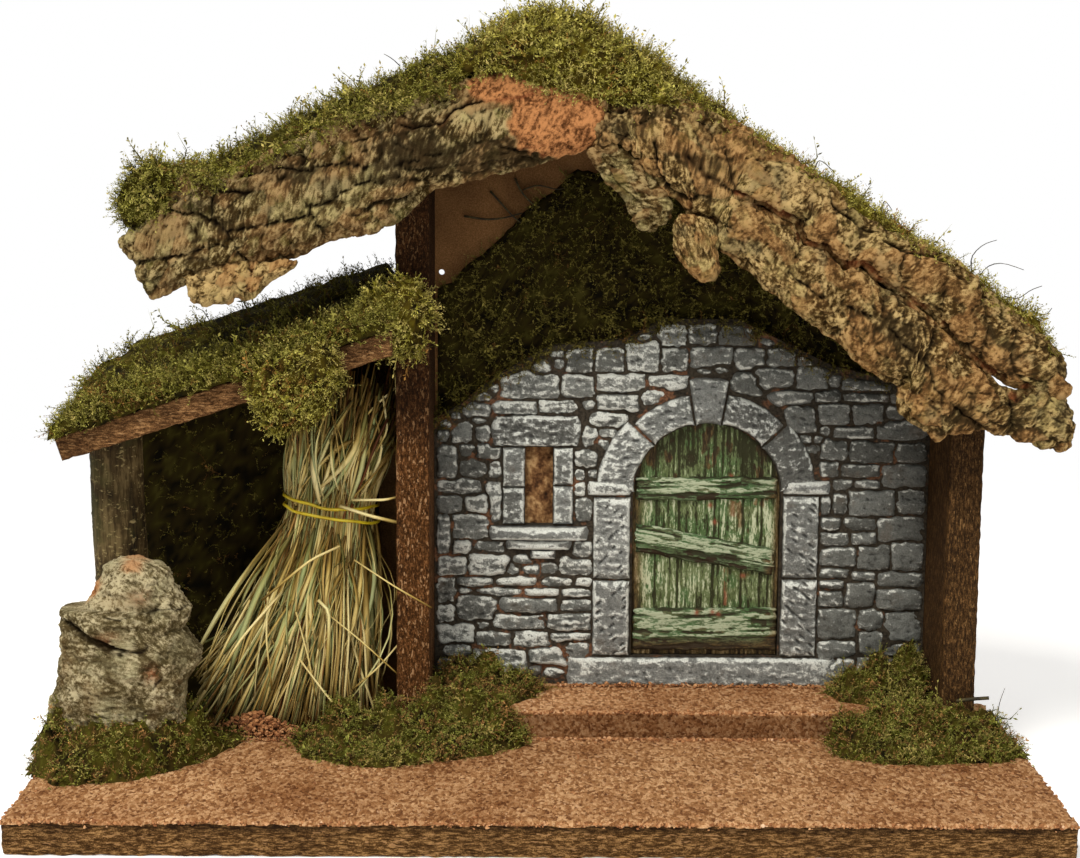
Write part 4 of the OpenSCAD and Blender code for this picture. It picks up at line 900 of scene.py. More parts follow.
def stone_patch(a, b, place, proud, seed, index, count, rough=1.0, brush=1.0, strokes=0.0):
    """One stone, a and b from -1 to 1 over its face. Height = (1 - exp(-e / RIM_WORN)) (proud + least of six
    planes + noise), e being the way in from the rim. strokes is the slope of chisel cuts. The stone's
    coordinates fill one of the squares of a sheet for count stones. Returns points, faces, coordinates and
    values."""
    rng = np.random.default_rng(seed)
    x, z, e = place(a, b)
    rise = 1 - np.exp(-np.maximum(e, 0) / RIM_WORN)
    tilt = rng.normal(0, 0.6, (6, 2, 1, 1))
    planes = np.min(rng.uniform(0.1, 0.75, 6)[:, None, None] + tilt[:, 0] * a + tilt[:, 1] * b, axis=0)
    q = places(x, z)
    strata = layers(q / [6.5, 2.3, 1] + seed, seed, 4, 0.62)
    lumps = layers(q / [2.4, 1.6, 1] + seed, seed + 5, 3, 0.65)
    cut = np.maximum(0, np.abs(noise(q / [5.2, 3.6, 1] + seed, seed + 6)) - 0.55)
    grit = layers(q + seed, seed + 8, 2, 0.7)
    hewn = planes.clip(-1.6, 0.5) + 0.6 * strata + 0.45 * lumps + 0.22 * grit - 0.9 * cut
    height = proud * 0.82 + rough * hewn
    if strokes:
        height = height - chisel_cuts(x, z, strokes, rng)
    height = rise * height
    lip = np.exp(-(((e - 0.9) / 0.7) ** 2)) * (0.35 + 0.65 * (b > 0.1))
    lip = lip * smooth(noise(q / 3.5 + seed, seed + 9), -0.5, 0.2)
    high = np.clip(0.34 + 0.6 * (height - blur(height)) + 0.2 * strata + 0.3 * lip, 0, 1)
    y = SLAB - np.maximum(height, 0.2)
    y[[0, -1], :] = SLAB + 0.4
    y[:, [0, -1]] = SLAB + 0.4
    quads, uv = grid_quads(*a.shape)
    index_grid = np.arange(a.size).reshape(a.shape)
    back = np.concatenate([index_grid[0], index_grid[1:, -1], index_grid[-1, -2::-1],
                           index_grid[-2:0:-1, 0]])[None, ::-1]
    side = math.ceil(math.sqrt(count))
    cell = np.array([index % side, index // side]) / side
    uv = cell + (0.02 + 0.96 * uv) / side
    return (places(x, y, z).reshape(-1, 3), [quads[:, ::-1], back],
            np.concatenate([uv[:, ::-1].reshape(-1, 2), np.tile(cell, (back.size, 1))]),
            {"high": high, "shade": np.full(a.size, rng.random()), "brush": np.full(a.size, brush)})


def face_grid(wide, tall, step=0.68):
    """Two arrays from -1 to 1 over a face, closer together at its rim, with one more row outside for the
    sides."""
    n, m = max(9, int(wide / step)), max(9, int(tall / step))
    u, v = (np.sin(np.linspace(-1, 1, k) * math.pi / 2 * 0.93) / math.sin(math.pi / 2 * 0.93) for k in (n, m))
    u, v = (np.concatenate([[w[0]], w, [w[-1]]]) for w in (u, v))
    return np.meshgrid(u, v, indexing="ij")


def square_run(a, b):
    """Place from 0 to 4 round a square's rim, for points on it: 0 at its lower right corner, up the right
    side first."""
    sides = [a >= np.abs(b), b > np.abs(a), -a >= np.abs(b)]
    return np.select(sides, [(b + 1) / 2, 1 + (1 - a) / 2, 2 + (1 - b) / 2], 3 + (1 + a) / 2)


RUN = (np.arange(160) + 0.5) / 40
RIM_SIDE, RIM_PART = RUN.astype(int), RUN % 1 * 2 - 1
RIM_A = np.choose(RIM_SIDE, [1 + 0 * RIM_PART, -RIM_PART, -1 + 0 * RIM_PART, RIM_PART])
RIM_B = np.choose(RIM_SIDE, [RIM_PART, 1 + 0 * RIM_PART, -RIM_PART, -1 + 0 * RIM_PART])


def grown_rim(box, others, seed, index):
    """How far each of 160 rim points of a box leaves it along its normal: it stops JOINT short of the next
    stone, or after GROWTH, and is then smoothed, with worn corners."""
    rng = np.random.default_rng(seed + index)
    hx, hz, cx, cz = ((box[1] - box[0]) / 2, (box[3] - box[2]) / 2, (box[0] + box[1]) / 2,
                      (box[2] + box[3]) / 2)
    way = unit(np.stack([powered(RIM_A, 3), powered(RIM_B, 3)], -1))
    step = np.linspace(-1.2, GROWTH, 40)
    px, pz = cx + RIM_A[:, None] * hx + way[:, :1] * step, cz + RIM_B[:, None] * hz + way[:, 1:] * step
    rest = others[np.abs(others - box).sum(1) > 0.01]
    near = np.abs((rest[:, [0, 2]] + rest[:, [1, 3]]) / 2 - [cx, cz]) < [60, 40]
    near = rest[near.all(1)]
    free = np.minimum(box_gap(px, pz, near).min(-1), edge_gap(px, pz)) - JOINT - np.maximum(step, 0)
    reach = step[np.where(free < 0, np.arange(40), 99).min(1).clip(0, 39)]
    grow = np.convolve(np.concatenate([reach[-5:], reach, reach[:5]]), np.ones(7) / 7, "same")[5:-5]
    grow = np.minimum(grow, reach + 0.35) - 0.35 * np.abs(RIM_A * RIM_B) ** 4 * rng.uniform(0.6, 3.2)
    turn = np.arctan2(RIM_B, RIM_A)
    ripple = layers(places(2.6 * np.cos(turn), 2.6 * np.sin(turn)) + index * 3.1, seed, 2, 0.6)
    return grow + min(1.0, 0.16 * min(hx, hz) + 0.2) * ripple * 1.3 - 0.2, (hx, hz, cx, cz), rng


def rubble(name, box, others, proud, seed, node, slot, paint=1.0):
    """Wall stones, one for each box. The brush took more paint at the lower left, less at the right."""
    parts = []
    run = np.concatenate([[RUN[-1] - 4], RUN, [RUN[0] + 4]])
    for i, one in enumerate(box):
        grow, (hx, hz, cx, cz), rng = grown_rim(one, others, seed, i)
        grow = np.concatenate([grow[-1:], grow, grow[:1]])

        def place(a, b):
            rim = np.maximum(np.maximum(np.abs(a), np.abs(b)), 1e-6)
            ra, rb = a / rim, b / rim
            g = np.interp(square_run(ra, rb), run, grow)
            wx, wz = powered(ra, 3), powered(rb, 3)
            g = g / np.maximum(np.hypot(wx, wz), 1e-9)
            return cx + rim * (hx * ra + g * wx), cz + rim * (hz * rb + g * wz), (1 - rim) * (min(hx, hz) + 1)

        a, b = face_grid(2 * hx + 3, 2 * hz + 3)
        side = 1.15 - 0.9 * smooth(cx, 40, 180) + 0.25 * (cz < 110) * (cx < 60)
        stands = proud * rng.uniform(0.5, 1.2)
        parts.append(stone_patch(a, b, place, stands, seed + i, i, len(box),
                                 brush=paint * side * rng.uniform(0.3, 1.5)))
    points, faces, uv, values = join(parts)
    build(name, points, faces, rubble_look, node, slot, uv, values)


for seed, side in ((100, "left"), (200, "right"), (300, "top")):
    rubble(f"stones_{side}", listed[side], every, 4, seed, f"wall_stones_{side}", None)
rubble("stones_fill", listed["fill"], every, 2.4, 370, None, "cast_stone", 0.3)

# %% Dressed stones


def dressed(name, pieces, node, proud, seed, rough, brush, strokes=0.0):
    """Dressed stones. Each piece is (width, height, place(a, b)), so that a block, a wedge or a ring stone
    can be given."""
    count = len(pieces)
    brush, strokes = np.broadcast_to(brush, count), np.broadcast_to(strokes, count)
    parts = [stone_patch(*face_grid(wide, tall, 0.66), place, proud, seed + i, i, count, rough, brush[i],
                         strokes[i]) for i, (wide, tall, place) in enumerate(pieces)]
    points, faces, uv, values = join(parts)
    build(name, points, faces, dressed_look, node, None, uv, values)


def way_in(a, b, size):
    """The way in from the rim of a face where a and b run from -1 to 1."""
    return (1 - np.maximum(np.abs(a), np.abs(b))) * size


def block(box, rounding, wander):
    """A dressed block on a box, its corners drawn in a little and its rim not quite straight."""
    cx, cz, hx, hz = ((box[0] + box[1]) / 2, (box[2] + box[3]) / 2, (box[1] - box[0]) / 2 + 0.45,
                      (box[3] - box[2]) / 2 + 0.45)

    def place(a, b):
        u, v = a * np.sqrt(1 - rounding * b * b / 2), b * np.sqrt(1 - rounding * a * a / 2)
        rim = wander * np.maximum(np.abs(a), np.abs(b)) ** 4
        q = places(a * hx / 5 + cx, b * hz / 5 + cz)
        return (cx + hx * u + rim * layers(q, 3, 3, 0.7), cz + hz * v + rim * layers(q, 9, 3, 0.7),
                way_in(a, b, min(hx, hz)))

    return 2 * hx, 2 * hz, place


def blocks(name, node, proud, seed, rough, brush, rounding=0.05, wander=0.5, strokes=0.0):
    """Dressed blocks on the boxes of that name."""
    dressed(name, [block(box, rounding, wander) for box in boxes(DRESSED[name])], node, proud, seed, rough,
            brush, strokes)


def wedge(a0, a1, r0, r1, seed):
    """A ring stone between two angles and two radii about the arch's middle."""
    a0, a1 = math.radians(a0), math.radians(a1)

    def place(a, b):
        turn, r = (a0 + a1) / 2 - a * (a1 - a0) / 2, (r0 + r1) / 2 + b * (r1 - r0) / 2
        rim = np.maximum(np.abs(a), np.abs(b)) ** 4
        r = r + 0.7 * rim * layers(places(turn * 9, b) + seed, 6, 3, 0.7) - 1.0 * np.abs(a * b) ** 5
        return ARCH_C + r * np.cos(turn), ARCH_Z + r * np.sin(turn), way_in(a, b, 7.5)

    return (a1 - a0) * r1, r1 - r0, place


R0 = ARCH_R + 0.3
ring_stones = ((4, 42.5, 19), (43.5, 79.3, 16.6), (100.7, 135.5, 16.2), (136.5, 177, 20))
dressed("arch_ring", [wedge(a0, a1, R0, R0 + deep, k) for k, (a0, a1, deep) in enumerate(ring_stones)],
        "arch_stones", 5, 400, 1.2, (0.7, 1.3, 1.2, 1.5))
dressed("arch_key", [wedge(80.3, 99.7, R0 - 0.5, R0 + 24.5, 9)], "keystone", 5.6, 410, 1.3, 0.5)
blocks("imposts", "impost_blocks", 5.2, 420, 0.6, 1.4, 0.25)
blocks("jambs", "jamb_stones", 5, 430, 0.7, (1.5, 1.35, 1.0, 1.2), 0.04, strokes=(1.0, 0.9, -0.8, -0.8))
blocks("threshold", "threshold_stone", 5, 440, 0.8, 1.4, 0.05, 0.8)
blocks("lintel", "window_lintel", 5, 450, 1.2, 1.3, 0.4, 1.1)
blocks("casing", "window_jambs", 5, 460, 0.8, 1.1, 0.08)
blocks("sill", "window_sill", 10, 470, 0.9, 0.5, 0.12, 0.7)
blocks("corbels", "sill_corbels", 6.4, 480, 0.8, 0.7, 0.2, 0.7)

# %% [markdown]
# ## Door, window and the casting's own face
# The door is part of the casting too. Its planks are a field of heights: seams where planks meet,
# ridges and furrows that run with the grain, a knot and nail heads. The green was brushed on thinly,
# so pale ridges, brown furrows and rust near the nails all follow the same heights.

# %% Door


def door_look(name, along, dark, green, bright, pale):
    """Thin green over wood: brown in the furrows, green between, many thin pale ridges, bare brown and rust
    where the mesh says so."""
    m = Look(name, 0.75, 0.25)
    high, worn, rust = m.value("high"), m.value("worn"), m.value("rust")
    where = m.stretch(*[1 / a for a in along])
    fibre, strand, broad = m.noise(1600, 4, 0.8, where), m.noise(820, 4, 0.8, where), m.noise(80, 4, 0.7)
    level = high * 0.5 + fibre * 0.6 + strand * 0.6
    paint = m.mix(m.span(broad, 0.4, 0.62), green, bright)
    paint = m.mix(m.span(m.noise(46, 3, 0.6), 0.47, 0.58) * 0.55, paint, (62, 100, 54))
    tone = m.mix(m.span(level, 0.65, 0.78), dark, paint)
    tone = m.mix(m.span(level, 0.84, 0.91) * 0.95, tone, pale)
    bare = m.ramp(fibre * 0.6 + high * 0.4, (0.36, (44, 30, 14)), (0.5, (96, 68, 34)), (0.62, (146, 120, 76)))
    tone = m.mix(m.span(worn + strand * 0.6, 0.6, 1.1) * 0.85, tone, bare)
    tone = m.mix(rust, tone, m.ramp(strand, (0.3, (104, 52, 34)), (0.7, (164, 92, 66))))
    return m.done(tone, fibre * 0.6 + strand, 0.6, 0.9)


plank_look = door_look("door_green", (1, 1, 4.5), (42, 42, 18), (86, 98, 58), (106, 118, 78), (190, 195, 162))
batten_look = door_look("door_green_pale", (4.5, 1, 1), (42, 42, 21), (76, 92, 58), (94, 114, 80),
                        (172, 180, 150))


def dent(x, z, place, wide, tall=None, power=1):
    """A bell over a place (x, z): exp(-(u^2 + v^2)^power) with u, v the distances in widths and heights of
    the bell."""
    return np.exp(-((((x - place[0]) / wide) ** 2 + ((z - place[1]) / (tall or wide)) ** 2) ** power))


def spots(x, z, pixels, radius):
    """Bells at each of the listed pixel places of the front."""
    return np.clip(sum(dent(x, z, (fx(p), fz(q)), radius) for p, q in pixels), 0, 1)


def bell_line(x, middle, wide):
    """A bell across an upright line."""
    return np.exp(-(((x - middle) / wide) ** 2))


def pad(v):
    """A value for each point of a grid, and for its hem."""
    return np.pad(np.clip(v, 0, 1), 1, mode="edge")


SEAMS, KNOT = (657, 680, 716, 745, 764), (692, 459)
RUST = ((712, 505), (747, 576), (717, 522), (710, 632), (735, 633), (733, 476))
a, b = np.meshgrid(np.linspace(-1, 1, 160), np.linspace(0, 1, 160), indexing="ij")
half, foot = ARCH_R - 0.3, float(fz(657)) + 0.3
x = ARCH_C + a * half
z = foot + b * (ARCH_Z + half * np.sqrt(1 - a**2) - foot)
bend = 0.5 * noise(places(x / 12, z / 22), 505)
grain = layers(places((x + bend) / 0.72, z / 11), 500, 3, 0.6)
furrow = np.maximum(0, noise(places((x + bend) / 1.25, z / 24), 507)) ** 1.5
chips = smooth(layers(places(x / 1.6, z / 4.5), 509, 3, 0.7), 0.1, 0.35)
sway = 0.5 * noise(places(z / 9, 0 * z), 511)
seam = sum(bell_line(x, fx(p) + sway, 0.62) for p in SEAMS).clip(0, 1)
knot_r = np.hypot(x - fx(KNOT[0]), (z - fz(KNOT[1])) * 0.85)
knot = 0.7 * bell_line(knot_r, 2.9, 0.7) + (knot_r < 2.1)
rise = 0.55 * grain - furrow - 1.3 * seam - knot + 0.3 * noise(places(x / 14, z / 40), 513) - 0.35 * chips
way = np.minimum(half - np.abs(x - ARCH_C), np.minimum(z - foot, 12))
patch = layers(places(x / 10, z / 20), 517, 4, 0.6)
edges = np.exp(-(half * (1 + a)) / 8) + np.exp(-(half * (1 - a)) / 5) + 1.1 * np.exp(-(z - foot) / 9)
bare = edges + 0.85 * smooth(patch, 0.12, 0.5) * (z > fz(505)) + 0.7 * smooth(patch, 0.25, 0.5) + 0.5 * knot
drip = (bell_line(x, fx(729) + 0.4 * noise(places(z / 5), 519), 0.9) * (z < fz(568)) * (z > fz(606))
        * (grain > -0.2))
stain = bell_line(x, fx(735), 1.8) * (z < fz(500)) * (z > fz(516))
rust = np.clip((spots(x, z, RUST, 1.3) + 0.75 * drip) + 0.55 * stain, 0, 1)
y = DOOR - 3.5 - 0.62 * rise.clip(-2.4, 1) + 0.5 * np.exp(-np.maximum(way, 0) / 0.8)
values = {"high": pad(0.5 + 0.5 * rise - 0.25 * smooth(z, fz(500), fz(440))), "worn": pad(bare),
          "rust": pad(rust)}
build_grid("door_leaf", hemmed(places(x, y, z), 1, DOOR - 0.1), plank_look, "door_planks", "door_green",
           values)


def rail(corners, seed):
    """A batten or brace between four pixel corners (upper left, upper right, lower right, lower left): long
    furrows, a broken rim."""
    c = [(float(fx(p)), float(fz(q))) for p, q in corners]
    a, b = np.meshgrid(np.linspace(0, 1, 150), np.linspace(0, 1, 40), indexing="ij")
    x, z = ((c[3][k] * (1 - a) + c[2][k] * a) * (1 - b) + (c[0][k] * (1 - a) + c[1][k] * a) * b
            for k in (0, 1))
    along, across = a * (c[1][0] - c[0][0]), b * (c[0][1] - c[3][1])
    ragged = layers(places(along / 4.5, np.sign(b - 0.5), 0 * along + seed * 9), 520, 3, 0.7) * 1.1
    z = z + (b - 0.5) * 2 * ragged * smooth(np.abs(b - 0.5), 0.2, 0.5)
    x = x + 0.9 * (2 * a - 1) * ((a < 0.02) | (a > 0.98)) * noise(places(across / 1.4, 0 * a + seed), 523)
    sway = 0.8 * noise(places(along / 16, across / 6, 0 * a + seed), 525)
    grain = layers(places(along / 9, (across + sway) / 0.75, 0 * a + seed), 527, 3, 0.65)
    split = np.maximum(0, noise(places(along / 17, (across + sway) / 1.15, 0 * a + seed), 531)) ** 1.2
    flake = smooth(layers(places(along / 6, across / 2.0, 0 * a + seed), 537, 3), 0.2, 0.32)
    ledge = across + 1.3 * noise(places(along / 13, 0 * a, 0 * a + seed), 539)
    ledge = smooth(ledge, 0.3 * across.max(), 0.34 * across.max())
    rise = 0.45 * grain - 1.5 * split - 0.5 * flake + 0.6 * ledge - 0.3
    edge = np.minimum(np.minimum(b, 1 - b) * (c[0][1] - c[3][1]), np.minimum(a, 1 - a) * 60)
    y = DOOR - 3.5 - 2.5 * (1 - np.exp(-(edge + 0.35) / 0.5)) - 0.55 * rise
    P = hemmed(places(x, y, z), 1, DOOR - 3.4)
    quads, uv = grid_quads(*P.shape[:2])
    worn = (0.5 * flake + 0.9 * np.exp(-across / 4) * (seed == 2) + 0.6 * smooth(a, 0.9, 1)
            + 0.35 * (1 - ledge))
    rust = spots(x, z, ((700, 613), (722, 614), (716, 612)), 1.2)
    return P.reshape(-1, 3), [quads[:, ::-1]], uv[:, ::-1].reshape(-1, 2), {
        "high": pad(0.47 + 0.6 * rise), "worn": pad(worn), "rust": pad(rust)}


def rails(name, node, first, corners):
    """One piece of battens or braces, each with its own band of the coordinates' sheet."""
    parts = []
    for k, one in enumerate(corners):
        points, faces, uv, values = rail(one, first + k)
        share = 0.96 if len(corners) > 1 else 1
        parts.append((points, faces, uv * [1, share / len(corners)] + [0, k / len(corners)], values))
    points, faces, uv, values = join(parts)
    build(name, points, faces, batten_look, node, "door_green_pale", uv, values)


rails("door_rails", "door_battens", 1, (((636, 477), (779, 476), (780, 498), (636, 500)),
                                        ((636, 610), (781, 608), (781, 651), (636, 652))))
rails("door_slant", "door_brace", 3, (((636, 523), (779, 549), (777, 575), (636, 551)),))

# %% Window pane and the face between the stones


def pane_look():
    """Rough brown cork behind the window opening."""
    m = Look("window_cork", 0.9, 0.15)
    grain, high = m.noise(420, 4, 0.8), m.value("high")
    level = high * 0.55 + grain * 0.5
    return m.done(m.ramp(level, (0.3, (34, 20, 10)), (0.46, (86, 56, 32)), (0.58, (132, 96, 60)),
                         (0.7, (176, 142, 98))), grain, 0.8, 0.9)


PANE = (fx(524), fx(552), fz(524), fz(447))


def near_arch(x, z, more):
    """True inside the door's opening, made wider by a little."""
    top = ARCH_Z + np.sqrt(np.maximum((ARCH_R + more) ** 2 - (x - ARCH_C) ** 2, 0))
    return (np.abs(x - ARCH_C) < ARCH_R + more) & (z < top)


def between_openings(x, y, z):
    """True for the casting's face, where neither the door nor the pane is."""
    in_pane = (x > PANE[0] - 1.4) & (x < PANE[1] + 1.4) & (z > PANE[2] - 1.4) & (z < PANE[3] + 1.4)
    return ~(near_arch(x, z, 1.6) | in_pane)


x, z = np.meshgrid(np.linspace(PANE[0] - 1, PANE[1] + 1, 40), np.linspace(PANE[2] - 1, PANE[3] + 1, 90),
                   indexing="ij")
rise = layers(places(x / 3.4, z / 4.5), 541, 4, 0.65)
y = SLAB + 4.6 - 1.3 * rise - 1.2 * bell_line(x, fx(537), 4.5)
build_grid("window_pane", places(x, y, z), pane_look(), "window_panel", "cork_pane",
           {"high": np.clip(0.5 + 0.6 * rise, 0, 1)})

x, b = np.meshgrid(np.linspace(-57.8, 210.8, 170), np.linspace(0, 1, 115), indexing="ij")
z = STEP + b * (top_edge(x) - 0.3 - STEP)
y = SLAB - 0.5 - 1.1 * layers(places(x / 4.5, z / 3), 551, 4, 0.6).clip(-0.4, 1)
build_grid("joint_face", places(x, y, z), mortar_look, None, "cast_stone_joint",
           {"brush": np.clip(1 - smooth(x, -20, 60), 0, 1)}, keep=between_openings)
dress(("facade_slab",), mortar_look)

# %% [markdown]
# ## Bark
# Each strip is a skin over closed rings that run from its lower outline to its upper one, both read
# off the photograph. The long cracks are read off it as well: the face sinks towards the nearest
# one, so every plate comes out as a pillow. Finer cracks come from random cells, and fine furrows
# run across the strip as they do on the real bark.

# %% Material of bark


def bark_look(name, dark, mid, light, lichen, warm=(150, 96, 62), moss=0.0):
    """Grey-brown corky bark: pale high places, dark cracks, rust-red walls of deep cracks, cork-orange
    wounds."""
    m = Look(name, 0.95, 0.06)
    low, deep, red, wound, grain, tint = (m.value(k) for k in ("low", "deep", "red", "wound", "grain",
            "tint"))
    broad, patch = m.noise(26, 4, 0.6), m.noise(70, 4, 0.65)
    fine, speck = m.noise(620, 5, 0.8), m.noise(1350, 3, 0.8)
    level = grain * 0.5 + fine * 0.4 + speck * 0.4
    tone = m.ramp(level, (0.54, dark), (0.63, mid), (0.74, light))
    tone = m.mix(m.span(patch, 0.5, 0.68) * 0.6, tone, m.ramp(level, (0.46, mid), (0.71, lichen)))
    tone = m.mix(m.span(broad * 0.7 + tint * 0.3, 0.44, 0.6) * 0.55,
                 tone, m.ramp(level, (0.46, (88, 62, 36)), (0.72, warm)))
    tone = m.mix(m.span(m.noise(48, 3), 0.55, 0.7) * 0.5, tone, m.ramp(level, (0.46, (46, 40, 24)),
            (0.74, (108, 100, 72))))
    if moss:
        tone = m.mix(m.span(m.noise(60, 4, 0.7), 0.56, 0.66) * moss, tone, (86, 88, 36))
    tone = m.mix(m.span(low + fine * 0.45, 0.5, 1.15) * 0.85, tone, (44, 34, 18))
    tone = m.mix(red * 0.75, tone, m.ramp(fine, (0.35, (84, 40, 20)), (0.65, (160, 90, 54))))
    tone = m.mix(m.span(deep + fine * 0.5, 0.55, 1.15) * 0.9, tone, (26, 18, 10))
    cork = m.ramp(fine * 0.7 + grain * 0.4, (0.36, (58, 32, 14)), (0.47, (108, 68, 38)),
                  (0.62, (178, 122, 76)))
    tone = m.mix(wound, tone, m.mix(deep * 0.6, cork, (96, 40, 22)))
    return m.done(tone, fine + speck * 0.5, 0.5, 0.8)


bark_grey_look = bark_look("bark_grey", (50, 36, 12), (92, 77, 46), (160, 142, 99), (164, 153, 102),
                           (136, 100, 62), 0.3)
bark_warm_look = bark_look("bark_warm", (52, 36, 13), (110, 88, 52), (178, 152, 102), (164, 148, 94),
                           (150, 104, 60), 0.15)
bark_stump_look = bark_look("bark_stump", (68, 58, 34), (112, 100, 71), (178, 166, 132), (162, 156, 120),
                            (130, 106, 70), 0.08)

# %% Strips of bark
BARK_STEP = 0.94


def px_line(text, y):
    """Pixel pairs written as text, as (x, z) places in the plane of that y."""
    p = np.array(text.split(), float).reshape(-1, 2)
    return at(p[:, 0], p[:, 1], y)[:, [0, 2]]


def crack_field(x, z, lines, y):
    """Distance from each place to the nearest crack, and its depth and redness. A crack is (pixels, depth,
    redness)."""
    best, depth, red = np.full(x.shape, 99.0), np.zeros(x.shape), np.zeros(x.shape)
    wx = x + 1.6 * layers(places(x / 5, z / 5), 601, 3, 0.6)
    wz = z + 1.6 * layers(places(x / 5, z / 5), 605, 3, 0.6)
    for text, d, r in lines:
        line = px_line(text, y)
        for start, end in zip(line[:-1], line[1:]):
            gap = segment_gap(wx, wz, start, end)
            near = gap < best
            best, depth, red = np.where(near, gap, best), np.where(near, d, depth), np.where(near, r, red)
    return best, depth, red


def patches(x, z, y, listed, power):
    """Sum of bells, each listed as (pixel x, pixel y, width and height in pixels, strength)."""
    return sum([k * dent(x, z, at(px, pz, y)[[0, 2]], wide / 2, tall / 2, power) for px, pz, wide, tall,
                k in listed], 0 * x)


def ridge_lines(q1, q2, width):
    """1 on the borders between cells, where the two nearest seeds are equally far."""
    return np.exp(-(((q2 - q1) / width) ** 2))


def bark(name, low_line, high_line, y0, y1, look, node, slot, seed, cracks=(), wounds=(), power=2.7,
         ragged=1.3, plate=(11, 7), bulge=1.0, darks=(), pales=()):
    """A strip of bark between a lower and an upper line of pixels. Round each ring (w, u) = (|cos a|, |sin
    a|)^(2 / power), so that it is a rounded box from y0 at the front to y1 at the back. The front is h =
    pillow(d) + cells + furrows."""
    low, high = px_line(low_line, y0 + 2), px_line(high_line, y0 + 2)
    length = sum(np.linalg.norm(np.diff(line, axis=0), axis=1).sum() for line in (low, high)) / 2
    rows = int(length / BARK_STEP)
    low, high = resample(low, rows), resample(high, rows)
    wide = np.linalg.norm(high - low, axis=1)
    columns = int((2 * np.percentile(wide, 80) + 2 * (y1 - y0)) / (BARK_STEP * 1.05))
    a = np.linspace(0, 2 * math.pi, columns, endpoint=False)
    w, u = powered(np.cos(a), 2 / power), powered(np.sin(a), 2 / power)
    s = np.linspace(0, 1, rows)
    end = np.minimum(1, np.minimum(s, 1 - s) * length / 6 + 0.55) ** 0.5
    mid, half = (low + high) / 2, (high - low) / 2
    t = np.arange(rows)[:, None] * length / rows
    shake = ragged * layers(places(t / 6, np.sign(w) * 3), seed, 4, 0.6)
    reach = 1 + shake / np.maximum(wide[:, None] / 2, 4)
    x, z = (mid[:, k:k + 1] + half[:, k:k + 1] * w * reach for k in (0, 1))
    y = (y0 + y1) / 2 - u * (y1 - y0) / 2 * end[:, None] * (1 - 0.25 * (np.abs(w) > 0.8))
    front = smooth(u, 0.0, 0.55)[None] * np.ones((rows, 1))
    d, deep, red = crack_field(x, z, cracks, y0) if cracks else (np.full(x.shape, 30.0), 0 * x, 0 * x)
    along = t + 0 * x
    v = w[None] * wide[:, None] / 2
    q1, q2, mark = cells(along / plate[0] + 0.3 * noise(places(along / 8, v / 8), seed + 1), v / plate[1],
                         seed + 2)
    seam, plates = ridge_lines(q1, q2, 0.06), 1 - np.exp(-(q2 - q1) / 0.14)
    q1, q2, small = cells(along / 3.6 + 0.25 * noise(places(along / 3, v / 3), seed + 4), v / 5.4, seed + 5)
    fissure = ridge_lines(q1, q2, 0.08) * (small > 0.3)
    q1, q2, _ = cells(along / 1.7, v / 3.2, seed + 6)
    crackle = ridge_lines(q1, q2, 0.13)
    coarse = layers(places(along / 3.0, v / 3.4), seed + 9, 4, 0.7)
    grit = layers(places(along / 1.1, v / 1.3), seed + 7, 2, 0.7)
    swell = layers(places(along / 17, v / 12), seed + 11, 3)
    deep = deep * smooth(layers(places(along / 13, v / 13), seed + 19, 2), -0.75, 0.05)
    deep_here = np.exp(-(d / (0.75 + 0.35 * swell)) ** 2) * np.clip(deep, 0, 1)
    pillow = (1 - np.exp(-d / 3.4)) * np.where(deep > 0, 0.35 + 0.65 * deep, 0.6)
    body = 3.8 * pillow - 3.4 + 1.7 * swell + 2.1 * plates + 2.0 * (mark - 0.5)
    rise = bulge * body - 0.6 * fissure - 0.22 * crackle + 1.0 * coarse + 0.3 * grit - 2.6 * deep_here
    stain, bleach = patches(x, z, y0, darks, 1), patches(x, z, y0, pales, 2)
    hurt = np.zeros(x.shape)
    for text in wounds:
        ring = px_line(text, y0)
        c, r = ring.mean(0), np.abs(ring - ring.mean(0)).max(0)
        e = np.hypot((x - c[0]) / r[0], (z - c[1]) / r[1]) + 0.22 * layers(places(x / 6, z / 6), seed + 13, 3)
        hurt = np.maximum(hurt, 1 - smooth(e, 0.86, 0.98))
    torn_cork = 0.6 + 0.8 * layers(places(x / 2.2, z / 2.2), seed + 15, 4, 0.7) + 0.9 * swell
    rise = rise * (1 - hurt) + hurt * torn_cork
    back = 0.5 * layers(places(along / 9, v / 1.6), seed + 17, 3)
    rise = rise * front + back * (1 - front)
    P = places(x, y, z)
    n = grid_normals(P, True)
    if not outward(P):
        n = -n
    sense = np.sign(((P - P.mean(1, keepdims=True)) * n).sum(-1, keepdims=True))
    P = P + n * sense * rise[..., None]
    P[..., 1] = np.maximum(P[..., 1], y0 - 4.4)
    sunk = (0.75 * np.exp(-(d / 1.3)) * deep + 0.5 * seam + 0.4 * fissure + 0.2 * crackle - 0.4 * coarse
            - 0.25 * grit + stain)
    near_red = np.exp(-((d / 1.5) ** 2)) * smooth(layers(places(along / 8, v / 8), seed + 23, 3), -0.35, 0.3)
    values = {"low": (np.clip(sunk, 0, 1) * front + 0.3 * (1 - front)) * (1 - hurt),
              "deep": np.clip(np.exp(-((d / 0.65) ** 2)) * deep * (1 - 0.1 * red), 0, 1) * front,
              "red": np.clip(red * near_red, 0, 1) * front, "wound": hurt * front,
              "grain": np.clip(0.5 + 0.5 * coarse + 0.4 * grit - 0.2 * crackle + bleach, 0, 1), "tint": mark}
    return loft(name, P, look, not outward(P), values, node=node, slot=slot)


